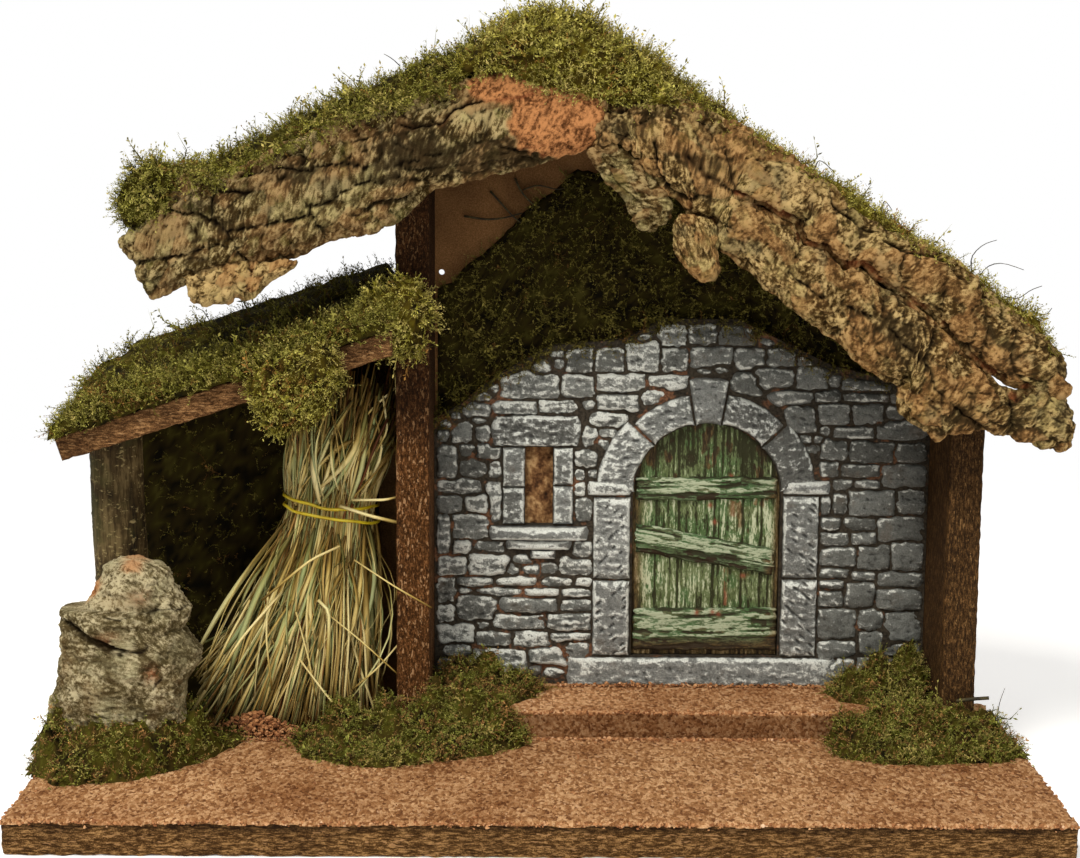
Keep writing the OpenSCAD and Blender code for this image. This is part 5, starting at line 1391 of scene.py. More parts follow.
LEFT_CRACKS = (("131 263 164 260 187 255 202 248 220 246 232 247", 1, 0),
               ("194 278 212 272 225 267 240 266 253 268 279 261 302 258 318 250", 1, 0.1),
               ("169 207 184 214 197 212 212 222 225 232 233 230 253 227 284 222 309 217 309 207 330 202 345 "
                "190 358 184 381 182 400 176", 1, 0),
               ("212 182 225 190 243 191 258 186 268 179 284 178", 1, 0),
               ("240 174 279 168 299 171 324 167 345 162 370 168 386 166 420 160", 1, 0),
               ("311 216 320 228 323 240", 0.8, 0),
               ("335 202 342 217 358 217 375 204 388 202 406 198 430 186", 1, 0),
               ("214 184 210 205 212 218 228 235 236 250 246 264", 1, 0),
               ("164 190 161 205 170 212", 0.8, 0.2),
               ("393 143 406 151 432 156 457 153 483 158 515 152 545 156", 0.8, 0),
               ("401 125 416 128 442 122 455 108 467 102 500 100 523 98 541 88", 1, 0.2),
               ("474 143 500 146 520 150 545 146", 1, 0), ("400 168 430 170 462 166 500 165 530 160", 0.8,
        0), ("395 186 420 180 450 178", 0.7, 0),
               ("380 125 383 145 378 160", 0.7, 0), ("300 145 305 160 300 170", 0.6, 0),
               ("262 228 262 245 268 262", 0.6, 0),
               ("352 128 365 140 366 155", 0.6, 0), ("165 262 170 278 180 287", 0.6, 0),
               ("190 226 196 240 190 254", 0.6, 0), ("432 122 434 140", 0.6, 0),
               ("284 223 288 240 296 256", 0.5, 0), ("150 232 153 246 150 260", 0.6, 0),
               ("488 104 490 120 486 140", 0.6, 0))
bark("bark_left_strip", "119 245 126 256 133 266 140 283 147 297 164 296 187 286 200 282 228 278 258 268 291 "
                        "260 324 245 360 235 396 222 409 212 434 190 470 180 500 175 560 158 604 143",
     "119 242 130 228 146 213 156 196 170 180 196 171 222 174 250 160 284 143 314 128 342 114 372 106 406 99 "
     "440 94 456 88 470 78 490 66 508 63 526 70 545 76 565 78 585 84 606 98",
     -6.5, 12, bark_grey_look, "bark_left_main", "bark_grey", 610, LEFT_CRACKS,
     ("466 96 488 72 510 66 528 80 522 98 490 102", "507 124 530 92 560 83 596 94 611 122 590 152 556 164 "
        "520 150"), plate=(13, 9), ragged=1.8,
     darks=((470, 158, 90, 20, 0.75), (412, 140, 34, 30, 0.45), (300, 176, 26, 14, 0.6),
            (232, 214, 16, 20, 0.4), (560, 160, 40, 14, 0.6)),
     pales=((474, 114, 26, 12, 0.35), (310, 142, 30, 14, 0.2), (150, 236, 40, 24, 0.15)))
bark("bark_left_lip", "187 284 190 300 202 307 222 305 235 298 243 303 252 300 268 284 292 270",
     "180 276 196 270 212 268 224 262 240 262 252 262 268 262 284 260 296 262", -8.5, 9, bark_warm_look,
     "bark_left_lower", "bark_grey", 630,
     (("222 268 235 288 243 298", 1, 0), ("251 264 252 282 246 296", 1, 0.4), ("200 276 214 284", 0.5, 0)),
     plate=(9, 7), power=2.4, pales=((236, 284, 110, 46, 0.16),))

RIGHT_RED = ("735 193 765 205 796 223 805 242 827 248 845 266 863 263 882 282 909 297 940 321 961 343 980 "
             "364 1010 386 1030 392", 1, 1.0)
RIGHT_CRACKS = (("655 143 658 173 666 189 686 199 710 196", 1, 0),
                ("689 200 689 217 719 224 735 226", 1, 0.3), ("686 150 700 170 735 193", 0.9, 0.1),
                ("833 202 851 217 885 239 906 251 949 260 964 279", 1, 0),
                ("725 150 732 172 736 192", 0.8, 0), ("814 203 811 217 797 225", 0.8, 0.2),
                ("863 236 860 254 853 264", 0.7, 0.1), ("907 252 900 272 908 296", 0.7, 0),
                ("952 262 946 290 940 320", 0.8, 0), ("622 143 632 130 650 118", 0.8, 0),
                ("760 165 778 176 790 190", 0.6, 0), ("985 300 990 330 980 360", 0.6, 0),
                ("1020 330 1012 350 1015 376", 0.6, 0), ("700 120 716 138 718 160", 0.6, 0))
bark("bark_right_high", "596 150 612 140 634 150 650 172 662 190 684 206 690 222 716 226 735 204 765 208 796 "
                        "226 806 245 827 252 845 270 863 268 882 286 909 301 940 325 961 347 980 368 1010 "
                        "388 1040 394 1062 397",
     "590 142 596 124 606 112 628 98 650 92 684 98 720 114 760 136 790 154 826 180 866 218 910 238 961 262 "
     "990 288 1013 308 1040 330 1060 350 1069 372 1065 392", -6.5, 12, bark_warm_look, "bark_right_upper",
     "bark_warm", 650, (RIGHT_RED, *RIGHT_CRACKS), plate=(15, 11), power=2.8, ragged=1.9,
     darks=((700, 168, 34, 22, 0.45), (630, 120, 30, 26, 0.35), (668, 110, 30, 18, 0.3),
            (610, 138, 22, 16, 0.35), (850, 224, 40, 12, 0.3), (1010, 350, 60, 50, 0.3)),
     pales=((770, 186, 70, 26, 0.14), (870, 256, 50, 20, 0.1)))
bark("bark_right_low", "719 226 722 250 744 269 775 296 796 315 833 340 875 376 906 392 899 406 902 416 922 "
                       "430 937 441 950 434 975 432 1010 436 1022 440 1040 449 1062 449 1072 444",
     "722 212 735 196 765 208 796 226 806 245 827 252 845 270 863 268 882 286 909 301 940 325 961 347 980 "
     "368 1004 386 1020 392 1030 390 1050 392 1066 398 1076 410 1073 426",
     -8.5, 10, bark_warm_look, "bark_right_lower", "bark_warm", 670,
     (RIGHT_RED, ("725 227 750 239 774 262 796 279 817 294 860 312 885 321 903 346 924 361 930 372 937 389 "
                  "955 407 986 432", 1, 0), ("783 253 775 262", 0.6, 0),
      ("805 245 800 256 780 262", 0.8, 0), ("885 297 884 318", 0.8, 0.2),
      ("940 330 932 350 926 362", 0.8, 0), ("1012 392 1013 432", 0.8, 0),
      ("906 392 925 400 945 404", 0.8, 0.1),
      ("840 304 835 322 842 340", 0.6, 0), ("745 238 742 252 748 268", 0.6, 0),
      ("965 350 962 380 975 410", 0.5, 0), ("1012 392 1018 400 1024 390", 1, 1.0)),
     plate=(14, 9), power=2.6, ragged=1.9, darks=((905, 345, 26, 50, 0.5), (870, 330, 40, 14, 0.4),
        (955, 418, 40, 16, 0.5), (1040, 424, 60, 34, 0.4)))
bark("bark_inner_strip", "588 152 596 170 606 184 618 192 628 210 640 226 650 233",
     "598 142 616 146 628 150 640 162 652 178 664 192 676 204 668 222 656 232",
     -5.5, 8, bark_grey_look, "bark_right_inner", "bark_warm", 690,
     (("604 150 616 160 622 172 632 190 648 206 652 226", 1, 0.0), ("636 164 640 184 652 196", 0.8, 0.1),
      ("610 166 624 176", 0.6, 0), ("628 200 642 204", 0.6, 0)), plate=(8, 6), power=2.3, ragged=1.8)
bark("bark_flake_chip", "673 243 674 226 680 214 694 214 712 220", "676 254 684 264 694 278 704 284 716 282 "
    "722 270 718 252 722 240 718 226", -8.5, 1, bark_warm_look, "bark_right_flake", "bark_warm", 700,
     (("690 220 700 240 706 262", 0.5, 0),), (), plate=(6, 6), power=2.2, bulge=0.5, ragged=1.6)

# %% [markdown]
# ## Stump and log
# The stump is a lump of cork bark stood on end. Its outline at each height comes from the
# photograph. One fold hangs over the lower half and the broken top shows red inner cork. The log
# that holds up the shed is smooth-barked, with pale pores in rows.

# %% Stump
levels = np.linspace(736, 560, 150)
LEFT_SIDE = ((736, 52), (700, 50), (682, 51), (668, 57), (640, 61), (622, 61), (603, 61), (600.5, 62),
             (599.3, 83), (590, 91), (577, 100), (565, 102), (560, 105))
RIGHT_SIDE = ((736, 190), (686, 185), (663, 189), (646, 201), (636, 201), (625, 190), (618, 185), (613, 189),
              (601, 193), (590, 182), (580, 173), (572, 171), (565, 168), (560, 162))
left_px, right_px = (np.interp(-levels, *(np.array(side).T * [[-1], [1]]))
                     for side in (LEFT_SIDE, RIGHT_SIDE))
a = np.linspace(0, 2 * math.pi, 200, endpoint=False)
edge_l, edge_r = at(left_px, levels, -6), at(right_px, levels, -6)
lx, rx = edge_l[:, 0], edge_r[:, 0]
lz = np.linspace(15.6, edge_l[-1, 2], len(levels))
shrink = np.sqrt(np.clip((1 - np.arange(len(levels)) / (len(levels) - 1)) * 30 + 0.02, 0, 1))
w, u = powered(np.cos(a), 0.75), powered(np.sin(a), 0.75)
deep_r = np.interp(lz, [15, 60, 90, 112, 125], [20, 19, 16, 13, 9])
x = ((lx + rx) / 2)[:, None] + ((rx - lx) / 2 * (0.3 + 0.7 * shrink))[:, None] * w
y = -5 - (deep_r * (0.2 + 0.8 * shrink))[:, None] * u
z = lz[:, None] + 0 * x
front = smooth(u, -0.3, 0.4)[None] * np.ones(x.shape)
q = np.stack([x, y, z], -1)
coarse, swell = layers(q / 5.5, 714, 5, 0.68), layers(q / 17, 720, 3)
STUMP_CRACKS = (("61 624 75 630 88 637 97 642 110 648 122 651 140 655 147 648", 1, 0),
                ("150 612 165 614 180 613 195 608", 0.8, 0.2),
                ("152 690 160 680", 0.8, 0.3), ("150 668 140 684 152 690", 0.5, 0.2),
                ("110 620 118 624 124 620", 0.9, 0), ("86 694 100 698", 0.7, 0))
d, deep, _ = crack_field(x, z, STUMP_CRACKS, -24)
FOLD = np.array(((60, 624), (75, 630), (88, 637), (97, 642), (110, 648), (122, 651), (140, 655), (150, 640)))
fold = np.interp(x, at(FOLD[:, 0], 640, -22)[:, 0], at(540, FOLD[:, 1], -22)[:, 2])
over = (3.6 * np.exp(-np.maximum(z - fold, 0) / 12) * (z > fold) - 2.4 * np.exp(-np.maximum(fold - z, 0) / 6)
        * (z <= fold))
over = over * smooth(x, -243, -230) * (1 - smooth(x, -212, -200))
plates = layers(q / [6, 6, 3.2], 722, 3, 0.6)
terrace = smooth(plates, -0.08, 0.05) + smooth(plates, 0.3, 0.4)
pit = smooth(layers(q / 2.2, 726, 3, 0.7), 0.3, 0.55)
grit = layers(q / 1.05, 727, 2, 0.7)
stripe = layers(q / [1.3, 1.3, 9], 729, 3, 0.6) * (z < 70)
rise = (over - 1.6 * np.exp(-((d / 1.1) ** 2)) * deep) * front + 2.6 * swell + 1.7 * coarse
rise = ((rise + 1.3 * (terrace - 1) - 1.0 * pit + 0.4 * grit + 0.6 * stripe)
        * (1 - 0.5 * smooth(np.abs(w), 0.85, 1.0)))
n = unit(places(w[None] / np.maximum(rx - lx, 9)[:, None] * 30, -u[None] / deep_r[:, None] * 14, 0.15))
P = q + n * rise[..., None] * np.clip((z - 15) / 4, 0.2, 1)[..., None]
crown = 2.4 * layers(places(x / 6, y / 6), 728, 3) + 1.2 * layers(places(x / 2, y / 2), 730, 2)
P[..., 2] += crown * smooth(z, 98, 110)
P[..., 0] = np.maximum(P[..., 0], -252)
top_red = 0.7 * smooth(z + 2 * coarse, 114, 117) * np.exp(-(((x - at(134, 565, -6)[0]) / 5.5) ** 4))
ex, ez = x - at(91, 592, -6)[0], z - at(90, 590, -6)[2]
ledge_red = dent(ex * 0.8 + ez * 0.6, ex * 0.6 - ez * 0.8, (0, 0), 8, 3.6, power=2)
warm = sum(share * dent(x, z, at(px, pz, -24)[[0, 2]], wide, tall) for px, pz, wide, tall, share in (
    (151, 676, 3.5, 4.5, 1), (138, 600, 5, 4, 0.7), (108, 640, 6, 3, 0.6)))
low = 0.7 * np.exp(-d / 1.8) * deep * front + 0.55 * pit - 0.5 * coarse + 0.5 * (over < -1.0) * front
grain = 0.44 + 0.45 * coarse + 0.4 * grit + 0.17 * smooth(z, 84, 108)
values = {"low": low + 0.35 * (1 - terrace / 2) - 0.2, "deep": np.exp(-((d / 0.7) ** 2)) * deep * front,
          "red": 0.75 * warm * (grit > -0.3), "wound": top_red + ledge_red, "grain": grain}
values = ({key: np.clip(value, 0, 1) for key, value in values.items()}
          | {"tint": np.clip(0.5 + swell, 0, 1) * 0.4})
loft("stump_bark", P, bark_stump_look, not outward(P), values, node="cork_stump", slot="bark_stump")

# %% Log


def log_look():
    """Smooth brown-grey bark of a branch: upright streaks, pale pores lying across, greenish film."""
    m = Look("log_bark", 0.8, 0.1)
    streak = m.noise(300, 4, 0.75, m.stretch(1, 1, 0.12))
    pore = m.noise(300, 3, 0.75, m.stretch(0.7, 0.7, 1.3))
    tone = m.ramp(streak * 0.6 + m.noise(60, 3) * 0.4, (0.38, (22, 16, 7)), (0.5, (60, 47, 26)),
                  (0.6, (100, 84, 54)))
    tone = m.mix(m.span(pore, 0.57, 0.66) * 0.75, tone, (146, 130, 88))
    tone = m.mix(m.span(m.noise(38, 3), 0.5, 0.66) * 0.45, tone, (66, 66, 34))
    return m.done(tone, streak + pore * 0.7, 0.4, 0.7)


LOG_X, LOG_Y, LOG_R = -221, 45, 14
t = np.linspace(0, 1, 130)[:, None]
a = np.linspace(0, 2 * math.pi, 84, endpoint=False)[None]
z = BASE_T + 0.5 + t * (shed_under(LOG_X + LOG_R * np.cos(a)) - 0.1 - BASE_T - 0.5)
q = places(np.cos(a) * LOG_R, np.sin(a) * LOG_R, z)
pores = smooth(noise(q / [3.2, 3.2, 1.1], 739), 0.4, 0.65)
r = LOG_R - 0.3 + 0.5 * layers(q / [9, 9, 22], 731, 3) + 0.2 * layers(q / [1.2, 1.2, 7], 735, 3) + 0.3 * pores
P = places(LOG_X + 1.1 * np.sin(t * 5) + r * np.cos(a), LOG_Y + r * np.sin(a), z)
loft("log_bark", P, log_look(), not outward(P), node="log_post", slot="log_wood")

# %% [markdown]
# ## Moss
# Every bed of moss is a dark, lumpy shape planted with thousands of small shoots. A shoot is one of
# fourteen bent stems with ten leaves. All of them are placed at once: one array of feet, one of
# directions, one of lengths. The colour only depends on the place along the shoot and on the
# shoot's own tint, so that it survives being laid flat.

# %% Shoots


def moss_look(name, bed, root, leaf, tip, dead, pale):
    """Moss by two coordinates: v from root to tip and u for the shoot's tint, from brown to yellow-green."""
    m = Look(name, 0.9, 0.06)
    u, v = m.uv(0), m.uv(1)
    green = m.ramp(v, (0.05, root), (0.5, leaf), (0.98, tip))
    brown = m.ramp(v, (0.05, tinted(dead, 0.6)), (0.6, dead), (0.98, tinted(dead, 1.35)))
    between = tuple((a + b) / 2 for a, b in zip(leaf, pale))
    light = m.ramp(v, (0.05, root), (0.45, between), (0.98, pale))
    tone = m.mix(m.span(u, 0.14, 0.24), brown, m.mix(m.span(u, 0.5, 0.9), green, light))
    shade = m.ramp(m.math("FRACT", u * 37.0), (0, (168, 168, 168)), (1, (255, 255, 255)))
    soil = m.ramp(u, (0.08, tinted(bed, 0.35)), (0.42, bed), (0.7, root), (0.95, tinted(leaf, 0.7)))
    tone = m.mix(m.math("LESS_THAN", v, 0.04), m.multiply(tone, shade), soil)
    return m.done(tone)


moss_roof_look = moss_look("moss", (60, 49, 12), (78, 67, 14), (140, 132, 46), (196, 187, 98), (128, 94, 46),
                           (206, 186, 114))
moss_shed_look = moss_look("moss_shed", (48, 41, 9), (60, 54, 10), (118, 114, 38), (170, 164, 84),
                           (112, 84, 42), (186, 168, 100))
moss_dark_look = moss_look("moss_dark", (40, 32, 11), (48, 42, 12), (96, 88, 34), (140, 130, 64),
                           (104, 76, 40), (140, 128, 66))
moss_ground_look = moss_look("moss_ground", (58, 48, 16), (66, 62, 16), (114, 115, 41), (166, 168, 84),
                             (148, 111, 66), (206, 182, 112))


def shoot_shapes(count=14, leaves=10, seed=5):
    """Points (count, n, 3) of bent shoots one unit long along z, their shared faces, and the place along the
    shoot of each point. A stem of three sides bends over, and small folded leaves stand off it all the way
    up, as on a feather."""
    rng = np.random.default_rng(seed)
    shapes = []
    for _ in range(count):
        bend, twist, wave = rng.normal(0, 0.42, 2), rng.uniform(0, 6.28), rng.uniform(0.04, 0.1)

        def curve(s):
            """The stem's middle line, s being the way along it."""
            return np.array([bend[0] * s**2 + wave * np.sin(6 * s + twist), bend[1] * s**2
                             + wave * np.cos(5 * s + twist), s * (1 - 0.14 * s)])

        pts, along = [], []
        for s, r in ((0.0, 0.024), (0.52, 0.018)):
            for k in range(3):
                pts.append(curve(s) + r * np.array([math.cos(k * 2.1), math.sin(k * 2.1), 0]))
                along.append(s)
        pts.append(curve(1.0))
        along.append(1.0)
        for j in range(leaves):
            s = 0.12 + 0.86 * j / leaves
            turn = twist + j * 2.6 + rng.normal(0, 0.4)
            out = np.array([math.cos(turn), math.sin(turn), rng.uniform(0.5, 1.2)])
            out = unit(out)
            side = unit(np.cross(out, [0, 0, 1]))
            foot, long = curve(s), rng.uniform(0.15, 0.24) * (1 - 0.3 * s)
            middle, wing = foot + out * long * 0.45, side * 0.034
            pts += [foot, middle + wing, foot + out * long, middle - wing + np.array([0, 0, 0.02])]
            along += [s, s + 0.05, min(1.0, s + 0.2), s + 0.05]
        shapes.append(np.array(pts))
    faces = []
    for k in range(3):
        nxt = (k + 1) % 3
        faces += [[k, nxt, 3 + nxt], [k, 3 + nxt, 3 + k]]
    faces += [[3 + k, 3 + (k + 1) % 3, 6] for k in range(3)]
    for j in range(leaves):
        b = 7 + 4 * j
        faces += [[b, b + 1, b + 2], [b, b + 2, b + 3]]
    return np.array(shapes), np.array(faces), np.array(along)


SHOOTS, SHOOT_FACES, SHOOT_ALONG = shoot_shapes()


def shoots(feet, ways, length, tint, seed, fat=1.0):
    """One shoot at each foot, turned so that its axis is the way given: p = foot + length (T x a + T y b + T
    z way)."""
    rng = np.random.default_rng(seed)
    shape = SHOOTS[rng.integers(0, len(SHOOTS), len(feet))]
    side = unit(np.cross(ways, rng.normal(size=ways.shape)))
    axes = np.stack([side * fat, np.cross(ways, side) * fat, ways], -1)
    points = feet[:, None] + np.einsum("nij,nvj->nvi", axes, shape) * length[:, None, None]
    faces = SHOOT_FACES[None] + (np.arange(len(feet)) * shape.shape[1])[:, None, None]
    uv = pair((0.02 + 0.96 * tint)[:, None, None], 0.06 + 0.92 * SHOOT_ALONG[SHOOT_FACES], faces.shape)
    return points.reshape(-1, 3), faces.reshape(-1, 3), uv.reshape(-1, 2)


def pressed(p):
    """Tips that stand out past the back, the left side and the top are laid flatter: the way beyond each
    limit is multiplied by a factor, so that the moss stays within about 3% of the solids' box."""
    p = p.copy()
    for axis, sign, limit, factor in ((0, -1, 258.0, 0.48), (1, 1, 106.0, 0.37), (2, 1, 400.0, 0.85)):
        p[:, axis] -= sign * (1 - factor) * np.maximum(sign * p[:, axis] - limit, 0)
    return p


def quad_normals(points, faces):
    """Normals of quads, as long as twice their area."""
    corners = points[faces]
    return np.cross(corners[:, 2] - corners[:, 0], corners[:, 3] - corners[:, 1])


def plant(name, bed, faces, look, node, slot, count, length, seed, up=0.35, stray=0.75, forward=0.0,
          where=None, tint=0.5, spread=0.28, fat=1.0, long_share=0.05, roll=0.0):
    """Moss on a bed of quads: feet by face area, ways = normal + up z + stray random + forward (0, -1, 0),
    tints by patches of noise. roll lays the shoots over to one side in patches, as combed moss lies."""
    rng = np.random.default_rng(seed)
    quad, normal = bed[faces], quad_normals(bed, faces)
    area = np.linalg.norm(normal, axis=-1)
    normal = unit(normal)
    weight = area * (where(quad.mean(1), normal) if where else 1)
    pick = rng.choice(len(faces), count, p=weight / weight.sum())
    a, b = rng.random((2, count, 1))
    t = quad[pick]
    feet = (t[:, 0] * (1 - a) + t[:, 1] * a) * (1 - b) + (t[:, 3] * (1 - a) + t[:, 2] * a) * b
    ways = 0.7 * normal[pick] + rng.normal(0, 1, (count, 3)) * stray * 0.5 + np.array([0, -forward, up])
    if roll:
        lean = [share * noise(feet / 13, seed + 7 + k) for k, share in enumerate((1, 0.4, 0.4))]
        ways = ways + roll * np.stack(lean, -1)
    long_ones = rng.uniform(0.55, 1.15, count), rng.random(count) < long_share, rng.uniform(1.4, 2.1, count)
    size = length * long_ones[0] * np.where(*long_ones[1:], 1.0) * (1 + 0.6 * layers(feet / 9, seed + 11, 2))
    mark = tint + 0.6 * layers(feet / 16, seed + 3, 3, 0.6) + spread * rng.normal(0, 0.6, count)
    p, f, uv = shoots(feet - normal[pick] * 0.6, unit(ways), size, np.clip(mark, 0.02, 0.98), seed + 1, fat)
    soil = np.clip(0.45 + 0.4 * noise(bed / 7, seed + 5) + 0.45 * noise(bed / 1.7, seed + 6), 0.05, 0.95)
    uv = np.concatenate([uv, pair(soil[faces], 0.02, faces.shape).reshape(-1, 2)])
    return build(name, np.concatenate([bed, pressed(p)]), [f + len(bed), faces], look, node, slot, uv)


def closed_bed(rings, lump=2.2, size=8, seed=0):
    """A lumpy closed shape over rings, as points and quads only: its two ends are drawn to a point in the
    last ring."""
    grid = rings.copy()
    n = grid_normals(grid, True)
    if not outward(grid):
        n = -n
    grid = grid + n * (lump * layers(grid / size, seed, 4, 0.6))[..., None]
    grid[[0, -1]] = grid[[0, -1]].mean(1, keepdims=True)
    quads, _ = grid_quads(*grid.shape[:2], True)
    if not outward(grid):
        quads = quads[:, ::-1]
    return grid.reshape(-1, 3), quads


# %% Moss on the roofs
SKYLINE = np.array(((115, 171), (130, 176), (160, 162), (210, 160), (250, 142), (300, 116), (350, 92),
                    (410, 67), (480, 40), (520, 24), (545, 14), (590, 30), (630, 52), (680, 78), (720, 102),
                    (750, 132), (800, 162), (840, 182), (900, 222), (960, 258), (1000, 284), (1050, 338),
                    (1068, 360)))
skyline = at(*SKYLINE.T, 48)


UNDER = np.linspace(1, 0, 14)[1:-1]


def roof_bed(x0, x1, rows, y0, y1, seed, extra=0.0, foot=0.0):
    """Rings across the roof: a flat foot on the boards and a top that swells from the front edge, as high as
    the outline in the photograph allows."""
    x = np.linspace(x0, x1, rows)
    high = np.interp(x, skyline[:, 0], skyline[:, 2]) - roof_line(x) - 3.2 + extra
    high = np.clip(high, 4.5, 22) * np.clip(np.minimum(x - x0, x1 - x) / 8 + 0.35, 0, 1) ** 0.5
    t = np.linspace(0, 1, 44)
    body = np.minimum(1, np.minimum(t, 1 - t) * (y1 - y0) / 11) ** 0.45
    x, high, boards = x[:, None], high[:, None], roof_line(x)[:, None] + foot
    top = places(x, y0 + (y1 - y0) * t, boards + high * body)
    low = places(x, y0 + (y1 - y0) * UNDER, boards + 0.3)
    return closed_bed(np.concatenate([top, low], 1), 2.8, 9, seed)


def on_top(mid, normal):
    return (normal[:, 2] > -0.25) * (1.0 + 2.2 * (mid[:, 1] < 32) + 0.6 * (mid[:, 1] > 92))


def on_front(mid, normal):
    return (normal[:, 1] < 0.3) * 1.0


for name, node, bed, look, *rest in (("moss_left_slope", "moss_roof_left", (-199, 12, 110, 1, 105.5, 800),
                                      moss_shed_look, 3300, 9.0, 801, 0.1, 0.2, 0.44, 0.05, 1.5),
                                     ("moss_top", "moss_ridge", (-31, 62, 70, 0, 106, 806, 1.5, 2),
                                      moss_roof_look, 2300, 9.0, 807, 0.25, 0.2, 0.6, 0.08, 1.4),
                                     ("moss_right_slope", "moss_roof_right", (20, 255, 125, 7, 105.5, 811),
                                      moss_roof_look, 3100, 8.2, 812, 0.2, 0.1, 0.48, 0.05, 1.3)):
    count, length, seed, up, forward, tint, long_share, roll = rest
    plant(name, *roof_bed(*bed), look, node, "moss", count, length, seed, up, 1.1, forward, on_top, tint,
          long_share=long_share, roll=roll)

x = np.linspace(-249, -77, 96)
SHED_SKYLINE = np.array(((80, 370), (127, 347), (158, 324), (192, 313), (231, 309), (270, 284), (291, 266),
                         (341, 252), (396, 240)))
back = at(*SHED_SKYLINE.T, 100)
thick = np.clip(np.interp(x, back[:, 0], back[:, 2]) - shed_top(x) - 2.5, 6, 30)[:, None]
t = np.linspace(0, 1, 56)
shape = (np.minimum(t / 0.1, 1) ** 0.5 * (0.42 + 0.58 * smooth(t, 0.25, 0.95)) * np.minimum((1 - t) / 0.05,
        1) ** 0.5)
x, ends = x[:, None], (np.clip(np.minimum(x + 249.5, -76 - x) / 10 + 0.2, 0, 1) ** 0.5)[:, None]
top = places(x, 0.5 + 105 * t, shed_top(x) + ends * thick * shape + 0.3)
low = places(x, 4 + 101 * UNDER, shed_top(x) + 0.2)
bed, faces = closed_bed(np.concatenate([top, low], 1), 3.0, 10, 820)
plant("moss_on_shed", bed, faces, moss_shed_look, "moss_shed_roof", "moss", 3600, 8.6, 821, 0.2, 1.1, 0.1,
      on_top, 0.42, roll=1.3)

# %% Moss on the walls


def sheet(name, X, Z, y, look, node, slot, count, length, seed, lump=1.6, edge=6.0, **more):
    """Moss on an upright wall at y: a lumpy grid that meets the wall at its rim."""
    i, j = (np.minimum(np.arange(n), np.arange(n)[::-1]) for n in X.shape)
    swell = np.clip(np.minimum(i[:, None], j) / edge, 0, 1) ** 0.5
    lumpy = 3.2 + lump * layers(places(X / 9, Z / 9), seed, 4, 0.6)
    P = hemmed(places(X, y - swell * lumpy, Z), 1, y)
    quads, _ = grid_quads(*P.shape[:2])
    flat = P.reshape(-1, 3)
    if quad_normals(flat, quads)[:, 1].sum() > 0:
        quads = quads[:, ::-1]
    return plant(name, flat, quads, look, node, slot, count, length, seed + 1, **more)


BARE_PANEL = np.array(((425, 300), (432, 292), (475, 262), (500, 240), (520, 215), (545, 194), (570, 178),
                       (590, 172), (612, 168)))
line = at(*BARE_PANEL.T, 90)
x = np.linspace(-56.5, 209.5, 100)
low = top_edge(x) - 3
high = np.minimum(roof_under(x) - 1.5, np.where(x < line[-1, 0], np.interp(x, line[:, 0], line[:, 2]), 999))
high = np.maximum(high + 6.0 * layers(places(x / 8), 830, 4, 0.7), low + 6)
high = np.minimum(high, roof_under(x) - 1.5)
X, B = np.meshgrid(x, np.linspace(0, 1, 64), indexing="ij")
sheet("moss_house_wall", X, low[:, None] + B * (high - low)[:, None], 94.8, moss_dark_look, "moss_back_wall",
      "moss_dark", 2950, 9.5, 831, 2.6, 4.0, up=-0.25, stray=1.2, forward=0.3, tint=0.62, fat=0.95, roll=1.0)
x = np.linspace(-231, -89, 56)
X, B = np.meshgrid(x, np.linspace(0, 1, 56), indexing="ij")
sheet("moss_bay_wall", X, 17.5 + B * (shed_under(x) - 19)[:, None], 94.8, moss_dark_look, "moss_shed_wall",
      "moss_dark", 900, 8.5, 841, 1.4, up=0.1, stray=1.2, forward=0.3, tint=0.4, fat=0.9, roll=1.0)

# %% Moss on the ground


